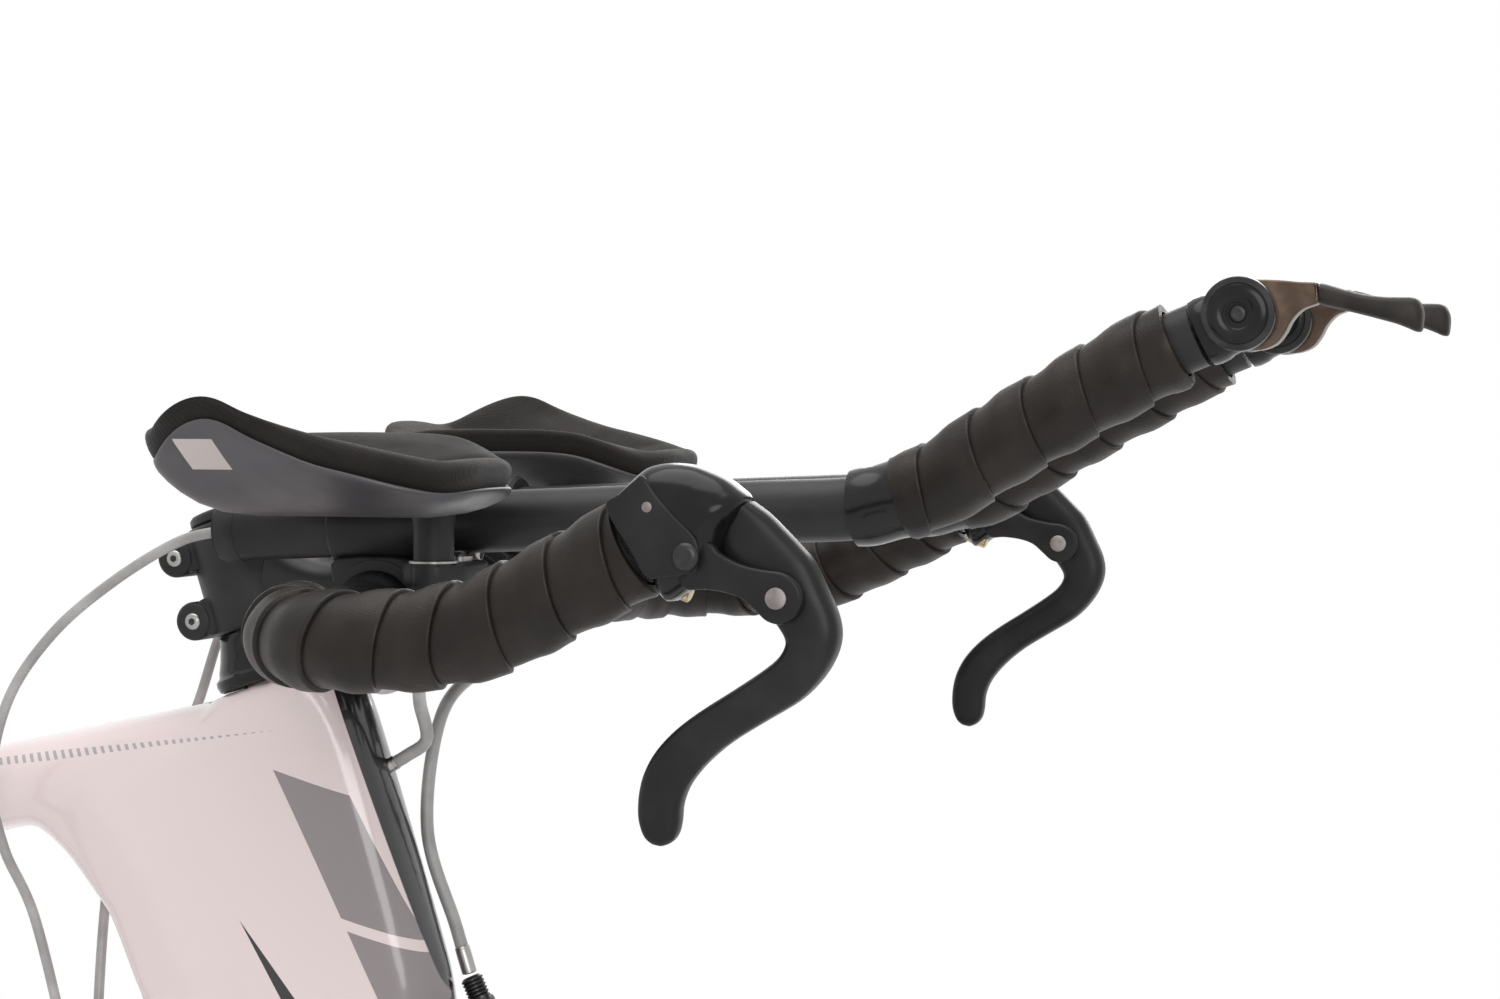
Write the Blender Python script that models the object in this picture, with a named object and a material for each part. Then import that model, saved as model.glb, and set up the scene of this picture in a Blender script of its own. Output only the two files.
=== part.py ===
"""Road bike with a time-trial cockpit.

Metres. +X is forward, +Y the rider's left, +Z up. The ground is Z = 0 and X = 0 lies halfway
between the axles. Angles are degrees where a name ends in DEG.
"""

from math import acos, asin, atan2, cos, degrees, hypot, pi, radians, sin

import bmesh
import bpy
from mathutils import Matrix, Vector

for old in list(bpy.data.objects):
    bpy.data.objects.remove(old)

# Running gap between pieces that touch on the real bike
GAP = 0.0003

# Wheels
RIM_SEAT_RADIUS = 0.311
TYRE_WIDTH = 0.023
WHEEL_RADIUS = RIM_SEAT_RADIUS + TYRE_WIDTH
WHEELBASE = 0.985
RIM_WIDTH = 0.0200
RIM_DEPTH = 0.040
RIM_FLANGE = 0.0050
WHEEL_SEGMENTS = 32
SPOKE_RADIUS = 0.0010
SPOKE_STAGGER = 0.0012
FRONT_SPOKES = 16
REAR_SPOKES = 20
FRONT_HUB_WIDTH = 0.100
REAR_HUB_WIDTH = 0.130
FRONT_AXLE_RADIUS = 0.0044
REAR_AXLE_RADIUS = 0.0048
DROPOUT_THICKNESS = 0.0065

# Frame layout
HEAD_ANGLE_DEG = 72.5
SEAT_ANGLE_DEG = 76.0
FORK_LENGTH = 0.367
FORK_RAKE = 0.043
LOWER_STACK = 0.001
HEAD_TUBE_LENGTH = 0.150
HEAD_TUBE_WIDTH = 0.046
HEAD_TUBE_NOSE = 0.0325
STEERER_RADIUS = 0.0143
HEAD_BORE_RADIUS = 0.0165
BB_DROP = 0.068
CHAINSTAY_LENGTH = 0.405
BB_SHELL_RADIUS = 0.022
BB_SHELL_WIDTH = 0.068
BB_BORE_RADIUS = 0.0175
TOP_TUBE_SLOPE_DEG = 12.0
TOP_TUBE_DEPTH = 0.034
TOP_TUBE_WIDTH = 0.037
DOWN_TUBE_DEPTH = 0.072
DOWN_TUBE_END_DEPTH = 0.060
SEAT_TUBE_LENGTH = 0.462
SADDLE_HEIGHT = 0.745

# Drivetrain
CHAIN_PITCH = 0.0127
OUTER_RING_TEETH = 53
INNER_RING_TEETH = 39
COGS = (11, 12, 13, 14, 15, 16, 17, 19, 21, 23)
DRIVEN_COG = 4
COG_PITCH = 0.00395
SMALLEST_COG_Y = -0.0605
PULLEY_TEETH = 11
TOOTH_THICKNESS = 0.0018
CHAIN_HALF_WIDTH = 0.0028
CHAIN_HALF_GAP = 0.0012
CHAIN_PLATE_HALF = 0.0042
RING_SPACING = 0.0058
CRANK_LENGTH = 0.1725
PEDAL_FACE_Y = 0.073
SPINDLE_RADIUS = 0.012

# Cockpit: the lever pivots lie this far in front of and above the top of the head tube
LEVER_REACH = 0.2608
LEVER_RISE = 0.0470
HORN_Y = 0.200
TUBE_SIDES = 8
TAPE_START = 2
BAR_CLAMP_RADIUS = 0.0159
BAR_RADIUS = 0.0119
BAR_TAPE_RADIUS = 0.0158
TAPE_PITCH = 0.0170
EXTENSION_Y = 0.0426
EXTENSION_RADIUS = 0.0111
EXTENSION_TAPE_RADIUS = 0.0150
ARM_REST_Y = 0.1037

# Cables
BRAKE_HOUSING_RADIUS = 0.0025
SHIFT_HOUSING_RADIUS = 0.0020

SIDE = Vector((0, 1, 0))
UP = Vector((0, 0, 1))
HEAD_UP = Vector((-cos(radians(HEAD_ANGLE_DEG)), 0, sin(radians(HEAD_ANGLE_DEG))))
HEAD_FORE = Vector((sin(radians(HEAD_ANGLE_DEG)), 0, cos(radians(HEAD_ANGLE_DEG))))
SEAT_UP = Vector((-cos(radians(SEAT_ANGLE_DEG)), 0, sin(radians(SEAT_ANGLE_DEG))))
SEAT_FORE = Vector((sin(radians(SEAT_ANGLE_DEG)), 0, cos(radians(SEAT_ANGLE_DEG))))
FRONT_AXLE = Vector((WHEELBASE / 2, 0, WHEEL_RADIUS))
REAR_AXLE = Vector((-WHEELBASE / 2, 0, WHEEL_RADIUS))
CROWN = FRONT_AXLE + FORK_LENGTH * HEAD_UP - FORK_RAKE * HEAD_FORE
HEAD_BASE = CROWN + LOWER_STACK * HEAD_UP
HEAD_TOP = HEAD_BASE + HEAD_TUBE_LENGTH * HEAD_UP
BB = REAR_AXLE + Vector(((CHAINSTAY_LENGTH**2 - BB_DROP**2) ** 0.5, 0, -BB_DROP))
LEVER_PIVOT = Vector((HEAD_TOP.x + LEVER_REACH, 0, HEAD_TOP.z + LEVER_RISE))
CHAIN_Y = SMALLEST_COG_Y + DRIVEN_COG * COG_PITCH


def head(along, fore=0.0, left=0.0):
    """A point by its distance up the steering axis, in front of it and to the left."""
    return HEAD_BASE + along * HEAD_UP + fore * HEAD_FORE + left * SIDE


def seat(along, fore=0.0, left=0.0):
    """A point by its distance up the seat tube from the bottom bracket."""
    return BB + along * SEAT_UP + fore * SEAT_FORE + left * SIDE


def cockpit(x, z, y=0.0):
    """A point by its distance in front of and above the brake lever pivots."""
    return LEVER_PIVOT + Vector((x, y, z))


# Materials


def make_material(name, colour, roughness, metallic=0.0):
    made = bpy.data.materials.new(name)
    made.use_nodes = True
    shader = made.node_tree.nodes["Principled BSDF"]
    shader.inputs["Base Color"].default_value = (*colour, 1.0)
    shader.inputs["Roughness"].default_value = roughness
    shader.inputs["Metallic"].default_value = metallic
    return made


WHITE_PAINT = make_material("white_paint", (0.86, 0.84, 0.84), 0.18)
BLACK_PAINT = make_material("black_paint", (0.02, 0.02, 0.022), 0.25)
BLACK_ALLOY = make_material("black_alloy", (0.035, 0.035, 0.038), 0.38, 0.6)
CORK_TAPE = make_material("cork_tape", (0.060, 0.050, 0.045), 0.62)
GLOSS_TAPE = make_material("gloss_tape", (0.030, 0.028, 0.030), 0.28)
LEVER_PLASTIC = make_material("lever_plastic", (0.028, 0.027, 0.028), 0.35)
FOAM = make_material("foam", (0.038, 0.034, 0.032), 0.9)
CUP_PLASTIC = make_material("cup_plastic", (0.045, 0.044, 0.046), 0.42)
BRONZE = make_material("bronze", (0.20, 0.17, 0.15), 0.35, 0.8)
HOUSING = make_material("housing", (0.42, 0.42, 0.41), 0.4)
SILVER = make_material("silver", (0.62, 0.62, 0.62), 0.3, 1.0)
STEEL = make_material("steel", (0.45, 0.45, 0.46), 0.35, 1.0)
RUBBER = make_material("rubber", (0.025, 0.025, 0.025), 0.8)
SADDLE_COVER = make_material("saddle_cover", (0.030, 0.030, 0.032), 0.55)


# Making solids


def make_solid(name, points, faces, material, sharp_deg=38.0):
    mesh = bpy.data.meshes.new(name)
    mesh.from_pydata([tuple(p) for p in points], [], faces)
    shaped = bmesh.new()
    shaped.from_mesh(mesh)
    bmesh.ops.recalc_face_normals(shaped, faces=shaped.faces)
    if shaped.calc_volume(signed=True) < 0:
        bmesh.ops.reverse_faces(shaped, faces=shaped.faces)
    shaped.to_mesh(mesh)
    shaped.free()
    mesh.shade_smooth()
    mesh.set_sharp_from_angle(angle=radians(sharp_deg))
    mesh.materials.append(material)
    made = bpy.data.objects.new(name, mesh)
    bpy.context.scene.collection.objects.link(made)
    return made


def loft(name, rings, material, looped=False):
    """A skin over rings of points, capped at both ends or joined into a loop."""
    count = len(rings[0])
    points = [p for ring in rings for p in ring]
    faces = []
    spans = len(rings) if looped else len(rings) - 1
    for r in range(spans):
        a = r * count
        b = (r + 1) % len(rings) * count
        for i in range(count):
            j = (i + 1) % count
            faces.append((a + i, a + j, b + j, b + i))
    if not looped:
        faces.append(tuple(range(count))[::-1])
        faces.append(tuple(range((len(rings) - 1) * count, len(rings) * count)))
    return make_solid(name, points, faces, material)


def section(nose, tail, width, count=16, square=1.0):
    """An aero outline: how far it reaches forward, back and across. Below 1, square fills its corners."""
    outline = []
    for i in range(count):
        turn = 2 * pi * i / count
        c, s = cos(turn), sin(turn)
        reach = nose if c >= 0 else -tail
        half = width / 2 if s >= 0 else -width / 2
        outline.append((reach * abs(c) ** square, half * abs(s) ** square))
    return outline


def ring_at(centre, along, across, outline):
    return [centre + along * a + across * b for a, b in outline]


def crosswise(axis):
    """Two directions square to an axis: forward and up for a crosswise axis, left and its square otherwise."""
    first = Vector((1, 0, 0)) if abs(axis.y) > 0.9 else SIDE
    first = (first - axis * axis.dot(first)).normalized()
    return first, axis.cross(first)


def circle(centre, axis, radius, count):
    across, along = crosswise(axis.normalized())
    turns = [2 * pi * i / count for i in range(count)]
    return [centre + radius * (cos(t) * across + sin(t) * along) for t in turns]


def turned(name, origin, axis, profile, material, count=16):
    """A solid of revolution: profile is (distance along the axis, radius) from end to end."""
    return loft(name, [circle(origin + axis * h, axis, r, count) for h, r in profile], material)


def turned_ring(name, origin, axis, profile, material, count=16):
    """A ring of revolution: profile is a closed outline of (distance along the axis, radius)."""
    rings = []
    across, along = crosswise(axis)
    for i in range(count):
        turn = 2 * pi * i / count
        out = cos(turn) * across + sin(turn) * along
        rings.append([origin + axis * h + out * r for h, r in profile])
    return loft(name, rings, material, looped=True)


def smooth_path(points, steps):
    """Points along a Catmull-Rom curve through the given ones."""
    ends = [2 * points[0] - points[1], *points, 2 * points[-1] - points[-2]]
    path = []
    for a, b, c, d in zip(ends, ends[1:], ends[2:], ends[3:]):
        for i in range(steps):
            t = i / steps
            path.append(
                0.5 * (2 * b + (c - a) * t + (2 * a - 5 * b + 4 * c - d) * t**2 + (3 * b - a - 3 * c + d) * t**3)
            )
    path.append(points[-1])
    return path


def path_frames(path, reference=None):
    """The direction and a crosswise vector at each point of a path, square to one reference if given."""
    frames = []
    across = reference
    for i, point in enumerate(path):
        before = path[max(i - 1, 0)]
        after = path[min(i + 1, len(path) - 1)]
        ahead = (after - before).normalized()
        across = reference or across or ahead.orthogonal()
        across = (across - ahead * across.dot(ahead)).normalized()
        frames.append((point, ahead, across))
    return frames


def swept(name, path, outlines, material, reference=None):
    """A loft along a path with one outline, or one for each point."""
    rings = []
    for i, (point, ahead, across) in enumerate(path_frames(path, reference)):
        outline = outlines[i] if isinstance(outlines[0], list) else outlines
        rings.append(ring_at(point, ahead.cross(across), across, outline))
    return loft(name, rings, material)


def round_outline(radius, count=8):
    return section(radius, radius, 2 * radius, count)


def plate(name, loops, origin, right, up, thickness, material):
    """A flat plate: an outline and any holes, drawn on right and up, centred on its thickness."""
    shaped = bmesh.new()
    for loop in loops:
        corners = [shaped.verts.new(origin + right * a + up * b) for a, b in loop]
        for one, two in zip(corners, corners[1:] + corners[:1]):
            shaped.edges.new((one, two))
    bmesh.ops.triangle_fill(shaped, use_beauty=True, use_dissolve=False, edges=shaped.edges[:])
    normal = right.cross(up).normalized()
    bmesh.ops.translate(shaped, verts=shaped.verts[:], vec=-normal * thickness / 2)
    lifted = bmesh.ops.extrude_face_region(shaped, geom=shaped.faces[:])
    moved = [item for item in lifted["geom"] if isinstance(item, bmesh.types.BMVert)]
    bmesh.ops.translate(shaped, verts=moved, vec=normal * thickness)
    shaped.verts.index_update()
    points = [v.co.copy() for v in shaped.verts]
    faces = [[v.index for v in face.verts] for face in shaped.faces]
    shaped.free()
    return make_solid(name, points, faces, material, 30.0)


def box(name, low, high, material):
    corners = [(x, y) for x, y in ((0, 0), (1, 0), (1, 1), (0, 1))]
    ends = (low, high)
    rings = [[Vector((ends[a].x, ends[b].y, end.z)) for a, b in corners] for end in ends]
    return loft(name, rings, material)


def arc(centre, radius, start_deg, end_deg, count):
    steps = [radians(start_deg + (end_deg - start_deg) * i / (count - 1)) for i in range(count)]
    return [(centre[0] + radius * cos(t), centre[1] + radius * sin(t)) for t in steps]


def boolean(target, tool, operation):
    tool.hide_render = True
    tool.display_type = "WIRE"
    step = target.modifiers.new(f"{operation.lower()} {tool.name}", "BOOLEAN")
    step.operation = operation
    step.solver = "EXACT"
    step.object = tool


def join(target, *tools):
    for tool in tools:
        boolean(target, tool, "UNION")


def cut(target, *tools):
    for tool in tools:
        boolean(target, tool, "DIFFERENCE")


def rod(name, start, end, radius, material, count=None):
    axis = (end - start).normalized()
    count = count or (8 if radius < 0.006 else 12)
    return turned(name, start, axis, [(0.0, radius), ((end - start).length, radius)], material, count)


# Joint axes: an empty at each pivot, which carries what turns about it


PIVOTS = {}


def pivot(name, place, parent=None):
    made = bpy.data.objects.new(name, None)
    made.empty_display_size = 0.03
    bpy.context.scene.collection.objects.link(made)
    made.location = place - (PIVOTS[parent] if parent else Vector((0, 0, 0)))
    if parent:
        made.parent = bpy.data.objects[parent]
    PIVOTS[name] = place
    return made


def hang(name, *pieces):
    for piece in pieces:
        piece.parent = bpy.data.objects[name]
        piece.matrix_parent_inverse = Matrix.Translation(-PIVOTS[name])


# Frame


def top_tube_edge(back):
    """A point on the top tube's upper edge, by its distance behind the head tube."""
    start = head(HEAD_TUBE_LENGTH - 2 * GAP, -0.024)
    slope = radians(TOP_TUBE_SLOPE_DEG)
    return start + back * Vector((-cos(slope), 0, -sin(slope)))


def head_block():
    """Head tube and the gusset behind it, as sections across the steering axis."""
    shapes = (
        (0.000, 0.0290, 0.045, 0.046, 1.0),
        (0.025, 0.0325, 0.075, 0.044, 0.85),
        (0.050, 0.0325, 0.0955, 0.042, 0.75),
        (0.082, 0.0325, 0.0980, 0.041, 0.70),
        (0.110, 0.0325, 0.1090, 0.041, 0.70),
        (0.126, 0.0325, 0.1200, 0.042, 0.75),
        (0.141, 0.0320, 0.0500, 0.046, 0.90),
        (0.150, 0.0310, 0.0260, 0.046, 1.0),
    )
    rings = []
    for share, nose, tail, width, square in shapes:
        along = share / 0.150 * HEAD_TUBE_LENGTH
        outline = section(
            nose * HEAD_TUBE_NOSE / 0.0325, tail, width * HEAD_TUBE_WIDTH / 0.046, 14, square
        )
        rings.append(ring_at(head(along), HEAD_FORE, SIDE, outline))
    return loft("frame", rings, WHITE_PAINT)


def straight_tube(name, stations, ahead, material, square=0.8, count=10):
    """A tube of sections square to one direction: each station is (centre, nose, tail, width)."""
    across = SIDE.cross(ahead).normalized()
    rings = []
    for centre, nose, tail, width in stations:
        rings.append(ring_at(centre, across, SIDE, section(nose, tail, width, count, square)))
    return loft(name, rings, material)


def top_tube():
    slope = radians(TOP_TUBE_SLOPE_DEG)
    ahead = Vector((-cos(slope), 0, -sin(slope)))
    down = Vector((sin(slope), 0, -cos(slope)))
    half = TOP_TUBE_DEPTH / 2
    length = (top_tube_edge(0).x - seat(SEAT_TUBE_LENGTH).x) / cos(slope)
    stations = [
        (top_tube_edge(back) + down * half, half, half, width)
        for back, width in ((-0.010, TOP_TUBE_WIDTH), (length * 0.6, 0.034), (length, 0.030))
    ]
    return straight_tube("top_tube", stations, ahead, WHITE_PAINT, 0.75)


def down_tube_line():
    start = head(0.041, -0.034)
    return start, (BB - start).normalized(), (BB - start).length


def down_tube():
    start, ahead, length = down_tube_line()
    stations = []
    for share, width in ((0.0, 0.038), (0.3, 0.037), (0.7, 0.039), (1.0, 0.048)):
        half = (DOWN_TUBE_DEPTH + (DOWN_TUBE_END_DEPTH - DOWN_TUBE_DEPTH) * share) / 2
        half = min(half, BB_SHELL_RADIUS + 0.006) if share == 1.0 else half
        stations.append((start + ahead * length * share, half, half, width))
    return straight_tube("down_tube", stations, ahead, WHITE_PAINT, 0.8)


def seat_tube():
    stations = [
        (seat(0.0), 0.022, 0.020, 0.046),
        (seat(0.060), 0.027, 0.025, 0.038),
        (seat(0.120), 0.030, 0.027, 0.032),
        (seat(SEAT_TUBE_LENGTH), 0.030, 0.027, 0.031),
    ]
    return straight_tube("seat_tube", stations, SEAT_UP, WHITE_PAINT, 0.85)


def stay(name, points, sizes):
    """A tapering stay: points from the middle of the bike to the dropout, sizes (depth, width)."""
    outlines = [section(depth / 2, depth / 2, width, 8, 0.9) for depth, width in sizes]
    return swept(name, points, outlines, WHITE_PAINT, SIDE)


def chain_stay(name, side):
    inner = REAR_HUB_WIDTH / 2 + DROPOUT_THICKNESS / 2
    points = [
        BB + Vector((-0.010, side * 0.0195, 0.0)),
        BB + Vector((-0.057, side * 0.0262, 0.009)),
        BB + Vector((-0.107, side * 0.0318, 0.018)),
        BB + Vector((-0.245, side * 0.0530, 0.042)),
        REAR_AXLE + Vector((0.012, side * inner, -0.003)),
    ]
    sizes = ((0.028, 0.013), (0.027, 0.013), (0.025, 0.0125), (0.018, 0.011), (0.014, 0.0055))
    return stay(name, points, sizes)


def seat_stay_point(out_from_axle, side_y):
    """A point on the line of the seat stays, by its distance from the rear axle."""
    line = (seat(0.352) - REAR_AXLE).normalized()
    return REAR_AXLE + out_from_axle * line + Vector((0, side_y, 0))


def seat_stay(name, side):
    inner = REAR_HUB_WIDTH / 2 + DROPOUT_THICKNESS / 2
    points = [
        seat_stay_point(0.418, side * 0.0105),
        seat_stay_point(0.392, side * 0.0210),
        seat_stay_point(0.357, side * 0.0285),
        seat_stay_point(0.200, side * 0.0480),
        seat_stay_point(0.012, side * inner),
    ]
    sizes = ((0.020, 0.010), (0.020, 0.011), (0.019, 0.011), (0.015, 0.010), (0.012, 0.0055))
    return stay(name, points, sizes)


HANGER_OFFSET = Vector((-0.014, 0, -0.027))


def dropout(name, side):
    middle = side * (REAR_HUB_WIDTH / 2 + DROPOUT_THICKNESS / 2)
    outline = arc((0, 0), 0.017, -60, 190, 9)
    if side < 0:
        outline += arc((HANGER_OFFSET.x, HANGER_OFFSET.z), 0.0095, 170, 330, 6)
    else:
        outline += [(-0.013, -0.014), (0.004, -0.0175)]
    centre = REAR_AXLE + Vector((0, middle, 0))
    return plate(name, [outline], centre, Vector((1, 0, 0)), UP, DROPOUT_THICKNESS, WHITE_PAINT)


def slot_cutter(name, axle, radius, low, high):
    """A slot that opens downward, as wide as the axle with its gap."""
    outline = arc((0, 0), radius, 0, 180, 7) + [(-radius, -0.05), (radius, -0.05)]
    centre = axle + Vector((0, (low + high) / 2, 0))
    return plate(name, [outline], centre, Vector((1, 0, 0)), UP, high - low, STEEL)


REAR_BRAKE_OUT = 0.357
FRONT_BRAKE_DROP = 0.0145
BRAKE_REACH = 0.0460


def brake_frame(axle, bolt, outward):
    """Origin, crosswise, toward-the-axle and outward directions of a brake."""
    reach = (axle - bolt).normalized()
    out = (outward - reach * outward.dot(reach)).normalized()
    return bolt, SIDE.copy(), reach, out


FRONT_BRAKE = brake_frame(FRONT_AXLE, head(-FRONT_BRAKE_DROP), HEAD_FORE)
REAR_BRAKE = brake_frame(REAR_AXLE, seat_stay_point(REAR_BRAKE_OUT, 0.0), -SEAT_FORE + UP)
BRAKE_MOUNT_OUT = 0.0295
BRAKE_ARM_THICKNESS = 0.0068
BRAKE_PIN_RADIUS = 0.0025
BRAKE_SIDE_PIVOT = (-0.0220, -0.0030)


def brake_point(place, across, down, out):
    origin, side, reach, outward = place
    return origin + side * across + reach * down + outward * out


def brake_mount(name, place, start, material):
    """The fixed bridge of a brake with its bolt and its two pivot pins."""
    origin, side, reach, outward = place
    far = BRAKE_MOUNT_OUT + 0.005
    tip = far + 2 * BRAKE_ARM_THICKNESS + 4 * GAP + 0.002
    a, b = BRAKE_SIDE_PIVOT
    outline = arc((0, 0), 0.0075, -90, 90, 7) + arc((a, b), 0.0065, 90, 270, 7)
    bridge = plate(
        f"{name}_bridge", [outline], brake_point(place, 0, 0, far - 0.0025), side, reach, 0.005, material
    )
    bolt = rod(f"{name}_bolt", brake_point(place, 0, 0, start), brake_point(place, 0, 0, tip),
        BRAKE_PIN_RADIUS, material, 6)
    pin = rod(f"{name}_pin", brake_point(place, a, b, far - 0.003), brake_point(place, a, b, tip),
        BRAKE_PIN_RADIUS, material)
    join(bridge, bolt, pin)
    return bridge


def rear_brake_port():
    """Where the rear brake housing enters the nose of the head tube, and its direction."""
    return head(0.1065, HEAD_TUBE_NOSE, 0.0035), (-HEAD_FORE * 0.93 - UP * 0.25 - SIDE * 0.10).normalized()


def shift_port(side):
    """Where a shift housing enters the upper face of the down tube, and its direction."""
    start, ahead, _ = down_tube_line()
    across = SIDE.cross(ahead)
    place = start + ahead * 0.088 + across * (DOWN_TUBE_DEPTH / 2 - 0.0045) + SIDE * side * 0.0100
    return place, (Vector((0.30, -side * 0.10, -0.92))).normalized()


def frame():
    body = head_block()
    join(body, top_tube(), down_tube(), seat_tube())
    shell = rod("bb_shell", BB - SIDE * BB_SHELL_WIDTH / 2, BB + SIDE * BB_SHELL_WIDTH / 2,
        BB_SHELL_RADIUS, WHITE_PAINT, 16)
    join(body, shell)
    for side, word in ((-1, "right"), (1, "left")):
        join(body, chain_stay(f"chain_stay_{word}", side), seat_stay(f"seat_stay_{word}", side))
        join(body, dropout(f"dropout_{word}", side))
    bridge_centre = seat_stay_point(REAR_BRAKE_OUT, 0.0)
    bridge = rod("brake_bridge", bridge_centre - SIDE * 0.0285, bridge_centre + SIDE * 0.0285, 0.0070,
        WHITE_PAINT, 10)
    join(body, bridge, brake_mount("rear_mount", REAR_BRAKE, 0.0, WHITE_PAINT))
    cut(body, rod("head_bore", head(-0.02), head(HEAD_TUBE_LENGTH + 0.03), HEAD_BORE_RADIUS, STEEL, 20))
    cut(body, rod("bb_bore", BB - SIDE * 0.06, BB + SIDE * 0.06, BB_BORE_RADIUS, STEEL, 16))
    post_hole = [
        (seat(0.330), POST_NOSE + GAP, POST_TAIL + GAP, POST_WIDTH + 2 * GAP),
        (seat(SEAT_TUBE_LENGTH + 0.05), POST_NOSE + GAP, POST_TAIL + GAP, POST_WIDTH + 2 * GAP),
    ]
    cut(body, straight_tube("post_hole", post_hole, SEAT_UP, STEEL, 1.0, 14))
    half = REAR_HUB_WIDTH / 2
    cut(body, slot_cutter("slot_right", REAR_AXLE, REAR_AXLE_RADIUS + GAP, -half - 0.02, -half + 0.01))
    cut(body, slot_cutter("slot_left", REAR_AXLE, REAR_AXLE_RADIUS + GAP, half - 0.01, half + 0.02))
    place, ahead = rear_brake_port()
    cut(body, rod("brake_port", place - ahead * 0.02, place + ahead * 0.013, BRAKE_HOUSING_RADIUS + GAP,
        STEEL, 10))
    for side, word in ((-1, "right"), (1, "left")):
        place, ahead = shift_port(side)
        cut(body, rod(f"shift_port_{word}", place - ahead * 0.02, place + ahead * 0.02,
            SHIFT_HOUSING_RADIUS + GAP, STEEL, 10))


POST_NOSE = 0.0200
POST_TAIL = 0.0190
POST_WIDTH = 0.0210
RAIL_RADIUS = 0.0035
RAIL_Y = 0.0220
RAIL_DROP = 0.046


def rail_height():
    return SADDLE_HEIGHT - RAIL_DROP


def seatpost():
    """Aero post with a two-bolt head that grips the saddle rails from both sides."""
    top = rail_height() - 0.016
    stations = [
        (seat(0.335), POST_NOSE, POST_TAIL, POST_WIDTH),
        (seat(top - 0.020), POST_NOSE, POST_TAIL, POST_WIDTH),
        (seat(top), 0.017, 0.017, 0.026),
    ]
    post = straight_tube("seatpost", stations, SEAT_UP, BLACK_PAINT, 1.0, 14)
    centre = seat(rail_height())
    low = centre - Vector((0.019, RAIL_Y + 0.0070, 0.0105))
    high = centre + Vector((0.019, RAIL_Y + 0.0070, 0.0065))
    yoke = box("post_yoke", low, high, BLACK_ALLOY)
    neck = rod("post_neck", seat(top - 0.006), centre, 0.0125, BLACK_ALLOY, 12)
    join(post, yoke, neck)
    for side, word in ((-1, "right"), (1, "left")):
        along = centre + SIDE * side * RAIL_Y
        reach = Vector((0.05, 0, 0))
        cut(post, rod(f"rail_hole_{word}", along - reach, along + reach, RAIL_RADIUS + GAP, STEEL, 10))


# Saddle


SADDLE_LENGTH = 0.272
SADDLE_WIDTH = 0.134
SADDLE_NOSE_WIDTH = 0.040
SADDLE_PAD_THICKNESS = 0.018


def saddle_line(share):
    """Centre, half width and lift of the saddle from its tail (0) to its nose (1)."""
    top = seat(SADDLE_HEIGHT)
    x = top.x - 0.105 + share * SADDLE_LENGTH
    flare = 1 / (1 + (share / 0.46) ** 4)
    half = (SADDLE_NOSE_WIDTH + (SADDLE_WIDTH - SADDLE_NOSE_WIDTH) * flare) / 2
    round_off = min(1.0, (share / 0.10 + 0.02) ** 0.5, ((1 - share) / 0.08 + 0.02) ** 0.5)
    lift = 0.008 * (1 - share / 0.45) ** 2 if share < 0.45 else 0.0
    return Vector((x, 0, top.z + lift)), half * round_off


def saddle_section(share, under, crown):
    """A section of the cushion: crowned top, drawn-in sides, hollow underneath."""
    centre, half = saddle_line(share)
    top = []
    for i in range(9):
        v = -1 + 2 * i / 8
        top.append(centre + Vector((0, half * v, -crown * abs(v) ** 2.4)))
    return top + saddle_under(share, under)[::-1]


def saddle_under(share, drop):
    """The hollow line below the saddle's top, from its right edge to its left."""
    centre, half = saddle_line(share)
    return [centre + Vector((0, half * 0.92 * v, -0.0144 * abs(v) ** 2.4 - drop)) for v in (-1, -0.5, 0,
        0.5, 1)]


def saddle():
    shares = (0.0, 0.03, 0.08, 0.16, 0.28, 0.42, 0.56, 0.70, 0.84, 0.94, 0.98, 1.0)
    rings = [saddle_section(s, SADDLE_PAD_THICKNESS * (0.6 if s in (0.0, 1.0) else 1.0),
        0.016) for s in shares]
    loft("saddle_cushion", rings, SADDLE_COVER)
    shell = []
    for s in shares[2:-2]:
        shell.append(saddle_under(s, SADDLE_PAD_THICKNESS + 0.0055) + saddle_under(s,
            SADDLE_PAD_THICKNESS + 0.0009)[::-1])
    base = loft("saddle_base", shell, BLACK_PAINT)
    centre = seat(rail_height())
    nose, _ = saddle_line(0.90)
    tail, _ = saddle_line(0.12)
    front_roof = SADDLE_PAD_THICKNESS + 0.0075
    rear_roof = SADDLE_PAD_THICKNESS + 0.0100
    for side, word in ((-1, "right"), (1, "left")):
        route = [
            Vector((nose.x, side * 0.0075, nose.z - front_roof)),
            Vector((nose.x - 0.022, side * 0.0105, nose.z - front_roof - 0.008)),
            Vector((centre.x + 0.050, side * RAIL_Y, centre.z)),
            Vector((centre.x - 0.045, side * RAIL_Y, centre.z)),
            Vector((tail.x + 0.018, side * 0.0300, tail.z - rear_roof - 0.010)),
            Vector((tail.x + 0.0075, side * 0.0315, tail.z - rear_roof)),
        ]
        join(base, swept(f"rail_{word}", route, round_outline(RAIL_RADIUS, 6), STEEL, UP))


# Fork and steering assembly


COVER_HEIGHT = 0.0215
STEM_CLAMP_HEIGHT = 0.0420
STEM_CLAMP_RADIUS = 0.0200


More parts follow.
